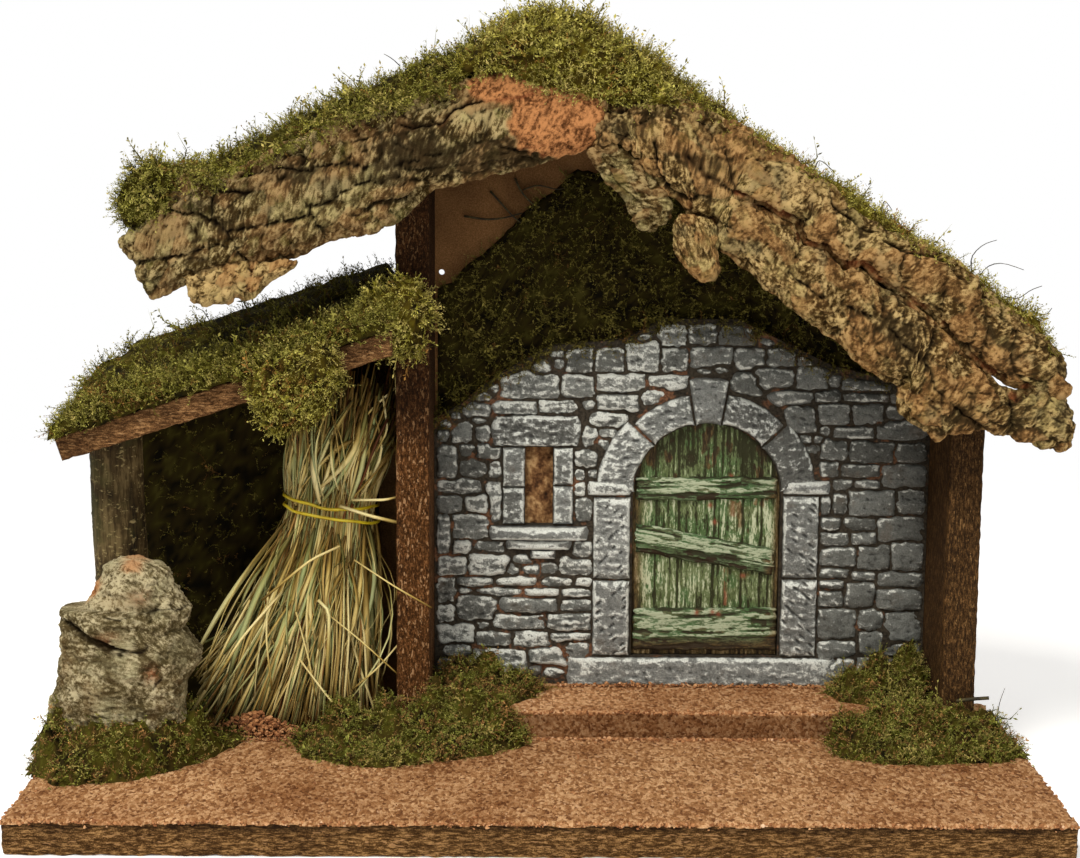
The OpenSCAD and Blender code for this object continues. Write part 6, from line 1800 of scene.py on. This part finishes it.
def carpet(name, node, outline, z0, peaks, count, seed, base=8.0, y_max=94.0, step=1.9, length=7.6, tint=0.5):
    """Moss that lies on the ground inside an outline of pixels. Its height is base (1 - exp(-e / 5)) with e
    the way in from the outline, plus bell-shaped peaks (pixel x, pixel y of the top, y of the place,
    radius)."""
    poly = on_level(*np.array(outline, float).T, z0)
    x, y = np.meshgrid(np.arange(poly[:, 0].min() - 3, poly[:, 0].max() + 3, step),
                       np.arange(poly[:, 1].min() - 3, min(poly[:, 1].max() + 3, y_max), step), indexing="ij")
    inside, e = np.zeros(x.shape, bool), np.full(x.shape, 99.0)
    for start, end in zip(poly, np.roll(poly, -1, 0)):
        (ax, ay), (bx, by) = start, end
        inside ^= ((ay > y) != (by > y)) & (x < (bx - ax) * (y - ay) / (by - ay + 1e-12) + ax)
        e = np.minimum(e, segment_gap(x, y, start, end))
    e = np.where(inside, e, -e) + 3.4 * layers(places(x / 8, y / 8), seed, 4, 0.7)
    h = base * (1 - np.exp(-np.maximum(e, 0) / 4.5)) * (0.8 + 0.9 * layers(places(x / 9, y / 9), seed + 2, 3))
    for px, py, py_y, radius in peaks:
        top = at(px, py, py_y)
        bell = np.exp(-((x - top[0]) ** 2 + (y - py_y) ** 2) / radius**2)
        lumpy = 0.97 + 0.4 * layers(places(x / 6, y / 6), seed + 3, 3)
        h = np.maximum(h, (top[2] - z0 - 3.5) * bell * smooth(e, -1, 9) * lumpy)
    h = (h + (2.4 * layers(places(x / 4.5, y / 4.5), seed + 4, 3, 0.7)
              + 0.9 * noise(places(x / 1.9, y / 1.9), seed + 6)) * smooth(e, 0, 3))
    points = np.stack([x, y, z0 - 0.6 - 0.8 * smooth(-e, 0, 1) + np.maximum(h, 0)], -1)
    quads, _ = grid_quads(*x.shape)
    inner = (e.reshape(-1)[quads] > -3.5).all(1) & ((z0 < 20) | (y.reshape(-1)[quads] > 31.2).all(1))
    quads = quads[inner]
    flat = points.reshape(-1, 3)
    if quad_normals(flat, quads)[:, 2].sum() < 0:
        quads = quads[:, ::-1]
    used, back = np.unique(quads, return_inverse=True)
    return plant(name, flat[used], back.reshape(quads.shape), moss_ground_look, node, "moss_ground", count,
                 length, seed + 1, 0.3, 1.2, 0.35,
                 lambda m, n: (n[:, 1] < 0.75) * (0.22 + 0.78 * (m[:, 2] > z0))
                 * (1.0 + 1.6 * (n[:, 1] < -0.3)), tint, 0.42, roll=1.1)


carpet("moss_by_stump", "moss_ground_left", ((31, 772), (50, 786), (90, 785), (130, 781), (170, 772),
        (205, 760), (246, 742), (240, 722), (215, 706), (190, 700), (150, 705), (100, 712), (60, 716),
        (42, 735)), 17, ((42, 712, -30, 12), (58, 694, -14, 13), (92, 718, -26, 20), (130, 716, -26, 20),
                         (176, 702, -22, 17), (204, 694, -8, 17), (226, 714, -10, 14)), 2300, 900, 7.0,
       length=6.8, tint=0.34)
carpet("moss_by_post", "moss_ground_mid", ((290, 742), (300, 758), (335, 764), (375, 768), (425, 764),
                                           (480, 758), (520, 748), (549, 730), (548, 716), (500, 712),
                                           (430, 704), (380, 700), (330, 702), (304, 714)), 17,
       ((345, 694, 20, 14), (390, 688, 22, 14), (430, 676, 24, 14), (465, 672, 25, 14), (500, 690, 24, 14)),
       2300, 910, 7.0, 29.6, length=6.8, tint=0.37)
carpet("moss_by_wall", "moss_ground_right", ((822, 742), (840, 758), (880, 764), (930, 766), (975, 764),
        (1008, 763), (1026, 757), (1014, 738), (1000, 718), (984, 700), (930, 700), (880, 705), (845, 712),
        (826, 726)), 17, ((845, 706, 18, 14), (885, 694, 22, 16), (925, 688, 24, 16), (962, 698, 20, 14),
                          (984, 705, 21, 12)), 2000, 920, 7.0, 29.6, length=6.8, tint=0.37)
carpet("moss_step_left", "moss_step_mid", ((432, 706), (470, 709), (510, 706), (535, 698), (546, 690),
                                           (536, 676), (500, 668), (432, 664)), 31.3,
       ((440, 656, 60, 16), (460, 650, 66, 13), (486, 640, 70, 11), (515, 664, 60, 12)), 1150, 930, 7.0,
       79.5, length=6.6, tint=0.34)
carpet("moss_step_right_clump", "moss_step_right", ((822, 692), (840, 702), (880, 708), (925, 707),
        (932, 700), (932, 668), (880, 668), (840, 676)), 31.3,
       ((852, 664, 66, 11), (880, 646, 68, 12), (906, 636, 68, 12), (926, 656, 60, 12)), 1100, 940, 6.5,
       79.5, length=6.6)

# %% Tufts


def clump(outline_px, y_mid, depth, rows=70, columns=60, seed=0, lump=2.2, size=8, power=2.2):
    """A closed lump between pixel outlines. The outline gives, for steps across, the top's and the bottom's
    pixel rows."""
    px, top, low = np.array(outline_px, float).T
    a, b = at(px, top, y_mid), at(px, low, y_mid)
    x = np.linspace(a[0, 0], a[-1, 0], rows)
    high, foot = np.interp(x, a[:, 0], a[:, 2]), np.interp(x, b[:, 0], b[:, 2])
    t = np.linspace(0, 2 * math.pi, columns, endpoint=False)
    end = np.clip(np.minimum(x - x[0], x[-1] - x) / (0.16 * (x[-1] - x[0])), 0.02, 1)[:, None] ** 0.5
    w, u = powered(np.cos(t), 2 / power), powered(np.sin(t), 2 / power)
    mid, half = ((high + foot) / 2)[:, None], np.maximum((high - foot) / 2, 1.5)[:, None]
    rings = places(x[:, None], y_mid - depth * end * w, mid + half * end * u)
    return closed_bed(rings, lump, size, seed)


for name, node, outline, y, depth, count, seed, up in (("moss_tuft_post", "moss_post_tuft",
        ((344, 320, 346), (364, 302, 350), (386, 286, 352), (402, 277, 354), (420, 277, 350),
         (431, 292, 336)), 18, 9, 700, 950, 0.2),
    ("moss_tuft_eave", "moss_hanging_tuft", ((248, 376, 404), (262, 362, 420), (285, 352, 432),
            (310, 344, 428), (328, 340, 412), (340, 344, 392)), -1, 6, 900, 955, -0.3),
    ("moss_gable", None, ((456, 60, 82), (480, 44, 76), (510, 34, 72), (534, 26, 86), (560, 28, 96),
                          (590, 40, 102), (620, 56, 102), (650, 76, 106), (684, 98, 114)), -1, 7, 1500, 964,
     0.1), ("moss_tuft_end", None, ((117, 190, 214), (126, 176, 228), (140, 164, 226), (156, 162, 218),
                                    (168, 164, 206), (176, 172, 192)), 0, 7, 550, 958, 0.4)):
    bed, faces = clump(outline, y, depth, seed=seed, rows=44, columns=44)
    plant(name, bed, faces, moss_shed_look if name == "moss_tuft_end" else moss_roof_look, node, "moss",
          count, 8.0, seed + 1, up * 0.5, 1.1, 0.3, on_front, 0.5, roll=1.2)

# %% Fringes


def fringe(name, line, y, count, seed, look=moss_roof_look, node=None, slot="moss", up=0.2, forward=0.6,
           scatter=5.0, length=7.5, aside=0.0):
    """Loose shoots along a line of pixels, scattered about it, which soften the edge of a bed of moss."""
    rng = np.random.default_rng(seed)
    run = resample(np.array(line, float), 400)[rng.integers(0, 400, count)]
    keep = rng.random(count) < 0.35 + 0.65 * smooth(noise(places(run[:, 0] / 14, 0 * run[:, 0]), seed), -0.3,
        0.3)
    run = run[keep] + rng.normal(0, scatter, (keep.sum(), 2)) * [0.6, 1]
    feet = np.array([at(px, py, depth) for (px, py), depth in zip(run, rng.uniform(*y, len(run)))])
    ways = unit(rng.normal(0, 0.55, feet.shape) + np.array([aside, -forward, up]))
    mark = np.clip(0.5 + 0.6 * layers(feet / 16, seed + 3, 3) + 0.2 * rng.normal(0, 1, len(feet)), 0.02, 0.98)
    p, f, uv = shoots(feet, ways, length * rng.uniform(0.5, 1.2, len(feet)), mark, seed + 1)
    build(name, p, [f], look, node, slot, uv)


fringe("fringe_left", ((182, 178), (215, 176), (254, 160), (292, 141), (315, 126), (346, 113), (388, 102),
                       (431, 88), (462, 82)), (-9, -2), 1150, 981, moss_shed_look, up=-0.05, scatter=4.5,
       length=9, aside=0.5)
fringe("fringe_right", ((640, 92), (690, 98), (730, 124), (790, 158), (830, 184), (870, 216), (910, 240),
                        (965, 268), (1010, 306), (1062, 356)), (-7, 4), 700, 982, up=0.5, scatter=3.5)
fringe("fringe_shed", ((66, 418), (110, 402), (160, 386), (215, 370), (262, 356), (330, 332), (392, 308)),
       (0, 6), 1500, 983, moss_shed_look, up=-0.1, forward=0.4)
fringe("fringe_house", ((432, 428), (448, 414), (462, 404), (480, 392), (500, 374), (530, 362), (550, 350),
                        (590, 346), (625, 342), (660, 324), (735, 324), (790, 349), (830, 368), (890, 380)),
       (78, 86), 900, 984, moss_dark_look, None, "moss_dark", -0.2, 0.5, 5, 8)

# %% [markdown]
# ## Sheaf of straw
# Each straw is a thin four-sided tube through the foot, the bound waist and the head. Its place in
# the waist is a point of a disc, and the same point, drawn wider and jostled, gives its foot and its
# head. Flat leaves and a few strays cross over the bundle.

# %% Straws


def straw_look():
    """Dry straw by its own tint u and the place v along it: tan, pale, greenish and reddish straws, darker
    near the middle."""
    m = Look("straw", 0.55, 0.22)
    u, v = m.uv(0), m.uv(1)
    tone = m.ramp(u, (0.0, (134, 82, 46)), (0.08, (160, 118, 64)), (0.25, (184, 160, 94)),
                  (0.45, (208, 190, 126)), (0.62, (234, 220, 162)), (0.76, (178, 182, 124)),
                  (0.88, (140, 152, 104)), (1.0, (250, 238, 186)))
    shade = m.ramp(v, (0, (216, 206, 186)), (0.3, (255, 255, 255)), (0.56, (255, 251, 238)),
                   (0.72, (200, 184, 142)), (1, (112, 92, 54)))
    return m.done(m.multiply(tone, shade))


def tubes(paths, radius, tint, flat=1.0):
    """Four-sided tubes along many paths at once (straws x steps x 3), with closed ends, and their coordinates
    (tint, along)."""
    count, steps = paths.shape[:2]
    way = unit(np.gradient(paths, axis=1))
    rng = np.random.default_rng(count)
    side = unit(np.cross(way, rng.normal(size=(count, 1, 3)) * [1, 0.4, 0.2]))
    other = np.cross(way, side)
    a = np.arange(4)[:, None] * math.pi / 2
    wide = np.broadcast_to(radius.reshape(count, -1), (count, steps))[:, :, None, None]
    ring = side[:, :, None] * np.cos(a) + other[:, :, None] * np.sin(a) * flat
    points = (paths[:, :, None] + ring * wide).reshape(-1, 3)
    quads, uv = grid_quads(steps, 4, True)
    quads, v = quads[:, [0, 3, 2, 1]], uv[:, [0, 3, 2, 1], 0]
    caps = np.array([[3, 2, 1, 0], (steps - 1) * 4 + np.arange(4)])
    faces = np.concatenate([quads, caps])[None] + (np.arange(count) * steps * 4)[:, None, None]
    v = np.concatenate([v, [[0.0] * 4, [1.0] * 4]])
    uv = pair(tint[:, None, None], v * 0.98 + 0.01, faces.shape)
    return points, faces.reshape(-1, 4), uv.reshape(-1, 2)


def jostled(points, spread, low, high):
    """A disc's coordinates, moved at random and kept within limits."""
    return (points + rng.normal(0, spread, COUNT)).clip(low, high)


def waver(size, step, seed):
    """A slow sideways waver of each straw along s."""
    return size * noise(places(np.arange(COUNT)[:, None] * step, s * 3), seed)


rng = np.random.default_rng(77)
COUNT, SHEAF, WAIST_Z = 700, (-111.5, 61), 135.4
turn, reach = rng.uniform(0, 2 * math.pi, COUNT), np.sqrt(rng.uniform(0.3, 1, COUNT))
dx, dy = np.cos(turn) * reach, np.sin(turn) * reach
waist = places(SHEAF[0] + 23 * dx, SHEAF[1] + 22 * dy, WAIST_Z + rng.normal(0, 1, COUNT))
foot = places(-135.5 + 50 * jostled(dx * 0.72, 0.26, -1.02, 1), 60 + 25 * jostled(dy, 0.2, -1.05, 1),
              18 + np.abs(rng.normal(0, 5, COUNT)))
foot[:, 2] += 22 * rng.random(COUNT) * (rng.random(COUNT) < 0.25)
head = places(-102 + 27 * jostled(dx, 0.26, -1.05, 0.92), 60 + 22 * jostled(dy, 0.18, -1, 1),
              192 + rng.normal(0, 10, COUNT))
head[:, 2] = np.minimum(head[:, 2], shed_under(head[:, 0]) - 2)
foot, waist, head = foot[:, None], waist[:, None], head[:, None]
s = np.linspace(0, 1, 9)
low_part = foot * (1 - s[:, None]) + waist * s[:, None]
low_part[..., 0] += (0.12 * (waist - foot)[..., 0] + waver(2.0, 1.7, 961)) * np.sin(s * math.pi)
s = np.linspace(0, 1, 6)[1:]
high_part = waist * (1 - s[:, None]) + head * s[:, None]
high_part[..., 0] += waver(2.4, 2.3, 963) * s
high_part[..., 1] += waver(1.8, 2.9, 965) * s
paths = np.concatenate([low_part, high_part], 1)
points, faces, uv = tubes(paths, rng.uniform(0.4, 1.15, COUNT), rng.random(COUNT) * 0.9, 0.65)
parts = [(points, [faces], uv, {})]


def line_px(spec, steps=9):
    """A smooth path through (px, py, y) places."""
    p = np.array([at(a, b, c) for a, b, c in spec])
    t = np.linspace(0, len(p) - 1, steps)
    q = np.stack([np.interp(t, np.arange(len(p)), p[:, k]) for k in range(3)], -1)
    q[1:-1] = (q[:-2] + 2 * q[1:-1] + q[2:]) / 4
    return q


strays = [line_px(s) for s in (((354, 560, 36), (395, 587, 30), (432, 608, 24)),
                               ((395, 372, 40), (398, 420, 38), (396, 466, 37)),
                               ((399, 360, 42), (401, 420, 40), (399, 468, 39)),
                               ((330, 616, 34), (360, 640, 34), (402, 678, 32)),
                               ((296, 612, 34), (309, 660, 31), (316, 700, 30)),
                               ((402, 640, 40), (378, 668, 36), (352, 690, 34)),
                               ((250, 600, 38), (228, 640, 32), (205, 690, 28)),
                               ((340, 546, 34), (310, 560, 32), (262, 600, 30)),
                               ((268, 592, 34), (266, 640, 30), (272, 690, 28)),
                               ((300, 660, 31), (330, 700, 28), (344, 712, 28)),
                               ((395, 388, 44), (376, 405, 42), (362, 420, 40)),
                               ((383, 396, 42), (388, 430, 42), (376, 452, 40)),
                               ((282, 592, 34), (240, 640, 28), (214, 684, 26)),
                               ((410, 356, 34), (402, 372, 38), (396, 380, 40)),
                               ((352, 500, 34), (384, 500, 32), (398, 497, 34)),
                               ((340, 506, 34), (370, 516, 32), (404, 524, 34)),
                               ((404, 512, 40), (402, 560, 42), (396, 600, 44)),
                               ((318, 600, 31), (330, 612, 29), (326, 690, 28)))]
points, faces, uv = tubes(np.array(strays), np.linspace(0.5, 0.95, len(strays)),
                          np.linspace(0.42, 0.66, len(strays)), 0.8)
parts.append((points, [faces], uv, {}))
s = np.linspace(0, 1, 8)[None, :, None]


def leaves(count, centre0, reach0, z0, centre1, reach1, z1, sway, width):
    """Flat straw leaves over the front of the bundle, from one ellipse to the other."""
    a = rng.uniform(math.pi, 2 * math.pi, count)
    b = a + rng.normal(0, 0.35, count)
    p0 = places(centre0 + reach0[0] * np.cos(a), 60 + reach0[1] * np.sin(a), rng.uniform(*z0, count))
    p1 = places(centre1 + reach1[0] * np.cos(b), 60.5 + reach1[1] * np.sin(b), rng.uniform(*z1, count))
    p1[:, 2] = np.minimum(p1[:, 2], shed_under(p1[:, 0]) - 3)
    path = (p0[:, None] * (1 - s) + p1[:, None] * s + rng.normal(0, 1, (count, 1, 3)) * sway
            * np.sin(s * math.pi))
    wide = rng.uniform(*width, count)[:, None] * (0.35 + 0.65 * np.sin(np.linspace(0.25, 2.9, 8)))[None]
    points, faces, uv = tubes(path, wide, rng.uniform(0.2, 0.9, count), 0.14)
    parts.append((points, [faces], uv, {}))


leaves(80, -135.5, (49, 25.5), (19, 60), -111.5, (23.5, 23.5), (96, 132), [5, 1, 2], (0.9, 2.2))
leaves(60, -124, (38, 25.5), (50, 84), -111.5, (23.5, 23.5), (110, 134), [4, 1, 2], (0.8, 1.8))
leaves(110, -111.5, (24, 23.5), (138, 150), -102, (27, 23.5), (168, 202), [4, 1, 2], (0.8, 2.0))
points, faces, uv, _ = join(parts)
build("straws", points, faces, straw_look(), "sheaf_straws", "straw", uv)


BAND_R, BAND_THICK = 25.1, (0.75, 0.85)


def band(name, node, z_mid, tilt, seed):
    """An elastic band: a thin ring that dips and wavers round the waist."""
    a, b = np.meshgrid(np.linspace(0, 2 * math.pi, 91), np.linspace(0, 2 * math.pi, 10, endpoint=False),
                       indexing="ij")
    a[-1] = 0
    r = BAND_R + 0.35 * noise(places(3 * np.cos(a), 3 * np.sin(a)), seed)
    x, y = SHEAF[0] + r * np.cos(a), SHEAF[1] + r * np.sin(a)
    z = z_mid - tilt * (x - SHEAF[0]) + 1.1 * noise(places(2 * np.cos(a), 2 * np.sin(a)), seed + 1)
    side, rise = BAND_THICK[0] * np.cos(b), BAND_THICK[1] * np.sin(b)
    points = places(x + side * np.cos(a), y + side * np.sin(a), z + rise)[:-1].reshape(-1, 3)
    quads, uv = grid_quads(91, 10, True)
    quads = quads % len(points)
    look = Look(name, 0.4, 0.5)
    tone = look.ramp(look.noise(90, 2), (0.35, (176, 150, 14)), (0.65, (214, 194, 40)))
    away = points[quads[:, 0]] - places(x, y, z)[:-1].reshape(-1, 3)[quads[:, 0]]
    if (quad_normals(points, quads) * away).sum() < 0:
        quads, uv = quads[:, ::-1], uv[:, ::-1]
    build(name, points, [quads], look.done(tone), node, "elastic", uv.reshape(-1, 2))


band("band_high", "sheaf_band_upper", 138.8, 0.13, 971)
band("band_low", "sheaf_band_lower", 132.0, 0.17, 975)

# %% [markdown]
# ## Loose things
# Cork crumbs lie along the rims of the base and the step and before the sheaf. They are one blob of
# twenty faces, turned and squashed anew each time. Dry twigs lean on the house's back panel and a
# few thin stems stick out of the moss.

# %% Crumbs


def crumb_look():
    """Crumbs of cork by their own tint u: pale, tan, red-brown, dark."""
    m = Look("crumbs", 0.92, 0.15)
    fine = m.noise(1500, 3, 0.75)
    tone = m.ramp(m.uv(0), (0.0, (92, 60, 38)), (0.2, (142, 92, 58)), (0.5, (188, 134, 88)),
                  (0.8, (214, 166, 120)), (1.0, (240, 206, 170)))
    return m.done(m.multiply(tone, m.ramp(fine, (0.35, (150, 130, 116)), (0.62, (255, 255, 255))), 0.5),
                  fine, 0.3, 0.7)


GOLD = (1 + 5**0.5) / 2
BLOB = (np.array([(-1, GOLD, 0), (1, GOLD, 0), (-1, -GOLD, 0), (1, -GOLD, 0), (0, -1, GOLD), (0, 1, GOLD),
                  (0, -1, -GOLD), (0, 1, -GOLD), (GOLD, 0, -1), (GOLD, 0, 1), (-GOLD, 0, -1), (-GOLD, 0, 1)])
        / 1.9)
BLOB_FACES = np.array([(0, 11, 5), (0, 5, 1), (0, 1, 7), (0, 7, 10), (0, 10, 11), (1, 5, 9), (5, 11, 4),
                       (11, 10, 2), (10, 7, 6), (7, 1, 8), (3, 9, 4), (3, 4, 2), (3, 2, 6), (3, 6, 8),
                       (3, 8, 9), (4, 9, 5), (2, 4, 11), (6, 2, 10), (8, 6, 7), (9, 8, 1)])


def crumbs(name, where, size, node, tint, seed):
    """One blob at each place: blob x squash x random turn x size + place."""
    rng = np.random.default_rng(seed)
    n = len(where)
    turn = np.linalg.qr(rng.normal(size=(n, 3, 3)))[0]
    turn *= np.sign(np.linalg.det(turn))[:, None, None]
    shape = BLOB * rng.uniform(0.55, 1.2, (n, 1, 3)) * (1 + 0.25 * rng.normal(size=(n, 12, 1)))
    points = where[:, None] + np.einsum("nij,nvj->nvi", turn, shape) * size[:, None, None] * [1, 1, 0.75]
    faces = BLOB_FACES[None] + (np.arange(n) * 12)[:, None, None]
    uv = pair(np.clip(tint, 0.02, 0.98)[:, None, None], 0.5, faces.shape)
    build(name, points.reshape(-1, 3), [faces.reshape(-1, 3)], CRUMB, node, "cork_granules",
          uv.reshape(-1, 2), shade_smooth=False)


CRUMB = crumb_look()
rng = np.random.default_rng(31)
n = 850
rim_x = np.concatenate([rng.uniform(-249, 249, n), np.where(rng.random(350) < 0.5, -249.2, 249.2)
                        + rng.normal(0, 0.4, 350)])
rim_y = np.concatenate([-99.3 + rng.normal(0, 0.45, n), rng.uniform(-99, 30, 350)])
spot = np.stack([rim_x, rim_y, 16.6 - np.abs(rng.normal(0, 1.0, n + 350))], -1)
crumbs("rim_crumbs", spot, rng.uniform(0.35, 1.15, n + 350), None, rng.beta(2.2, 2.2, n + 350), 33)
n = 520
spot = np.stack([rng.uniform(-57, 210, n), 31 + rng.normal(0, 0.9, n), 30.6 + rng.normal(0, 0.6, n)], -1)
low_spot = np.stack([rng.uniform(-57, 210, 420), 29 - np.abs(rng.normal(0, 2.2, 420)), np.full(420, 17.3)],
                    -1)
sill_spot = np.stack([rng.uniform(10, 168, 260), 78 - np.abs(rng.normal(0, 1.6, 260)),
                      31.9 + np.abs(rng.normal(0, 0.9, 260))], -1)
spot = np.concatenate([spot, low_spot, sill_spot])
crumbs("step_crumbs", spot, rng.uniform(0.4, 1.3, len(spot)), None, rng.beta(2, 2.6, len(spot)), 35)
n = 950
spot = np.stack([rng.uniform(-246, 246, n), rng.uniform(-98, 28, n), np.full(n, 17.1)], -1)
crumbs("ground_crumbs", spot, rng.uniform(0.25, 0.95, n) ** 1.3, None, rng.beta(1.6, 2.2, n), 37)
n = 620
x, y = rng.normal(-148, 15, n).clip(-176, -104), 19 + 16 * rng.beta(2, 1.1, n)
heap = 12 * np.exp(-(((x + 150) / 20) ** 2)) * smooth(y, 20, 34)
spot = np.stack([x, y, 17.4 + heap * rng.random(n) ** 0.5], 1)
crumbs("loose_crumbs", spot, rng.uniform(0.6, 1.2, n) * (0.75 + 0.07 * heap), "cork_crumbs",
       rng.beta(1.6, 2.4, n) * 0.85, 39)

# %% Twigs and stems


def twig_look():
    m = Look("twig", 0.7, 0.3)
    return m.done(m.ramp(m.noise(260, 3, 0.7), (0.35, (28, 22, 10)), (0.55, (58, 50, 24)),
                         (0.7, (92, 80, 44))), m.noise(600, 2), 0.2, 0.5)


TWIG = twig_look()
twigs = [line_px(s) for s in (((490, 191, 93), (502, 204, 92.5), (513, 217, 92), (533, 232, 92)),
                              ((464, 216, 93), (487, 220, 92), (505, 218, 92), (522, 213, 92)),
                              ((515, 178, 93), (521, 192, 92), (533, 205, 92), (552, 212, 92)),
                              ((533, 206, 92), (530, 214, 92), (522, 226, 92), (508, 236, 93)),
                              ((523, 190, 93), (538, 184, 92), (556, 190, 92), (566, 188, 92)))]
thick = np.outer([0.75, 0.65, 0.8, 0.55, 0.5], np.linspace(1, 0.55, 9))
points, faces, uv = tubes(np.array(twigs), thick, np.full(len(twigs), 0.5))
build("bare_twigs", points, [faces], TWIG, "dry_twigs", "twig", uv)
stems = [line_px(s) for s in (((972, 274, 30), (970, 257, 28), (983, 244, 26), (997, 240, 26)),
                              ((976, 282, 30), (986, 266, 28), (1002, 262, 26), (1024, 270, 26)),
                              ((1004, 296, 30), (1018, 300, 28), (1030, 290, 26), (1042, 286, 26)),
                              ((1024, 318, 30), (1036, 312, 28), (1046, 316, 26), (1052, 308, 26)),
                              ((605, 42, 20), (608, 32, 20), (610, 26, 20), (608, 22, 20)),
                              ((545, 14, 30), (548, 8, 28), (556, 4, 26), (560, 1, 26)),
                              ((400, 66, 30), (394, 60, 28), (388, 56, 26), (384, 54, 26)),
                              ((815, 168, 30), (818, 160, 28), (824, 162, 26), (834, 172, 26)),
                              ((882, 208, 30), (884, 200, 28), (888, 204, 26), (892, 210, 26)),
                              ((997, 728, 20), (998, 709, 16), (1001, 698, 14), (1005, 688, 13)),
                              ((1003, 738, 16), (1007, 723, 14), (1010, 727, 12), (1011, 738, 10)))]
points, faces, uv = tubes(np.array(stems), np.full((len(stems), 1), 0.34) * np.linspace(1, 0.5, 9)[None],
                          np.full(len(stems), 0.5))
build("thin_stems", points, [faces], TWIG, None, "twig", uv)
bar = line_px(((956, 701, 24), (972, 699, 23), (989, 698, 22)))[None]
points, faces, uv = tubes(bar, np.array([1.0]), np.array([0.5]))
build("short_twig", points, [faces], TWIG, None, "twig", uv)

steel = Look("steel", 0.35, 0.5, metal=1.0)
steel = steel.done(steel.ramp(steel.noise(300, 2), (0.3, (130, 130, 132)), (0.7, (178, 178, 180))))
dress(("base_screws", "roof_brads", "panel_brads"), steel)

# %% Finish
print("triangles:", sum(t for _, t in made))
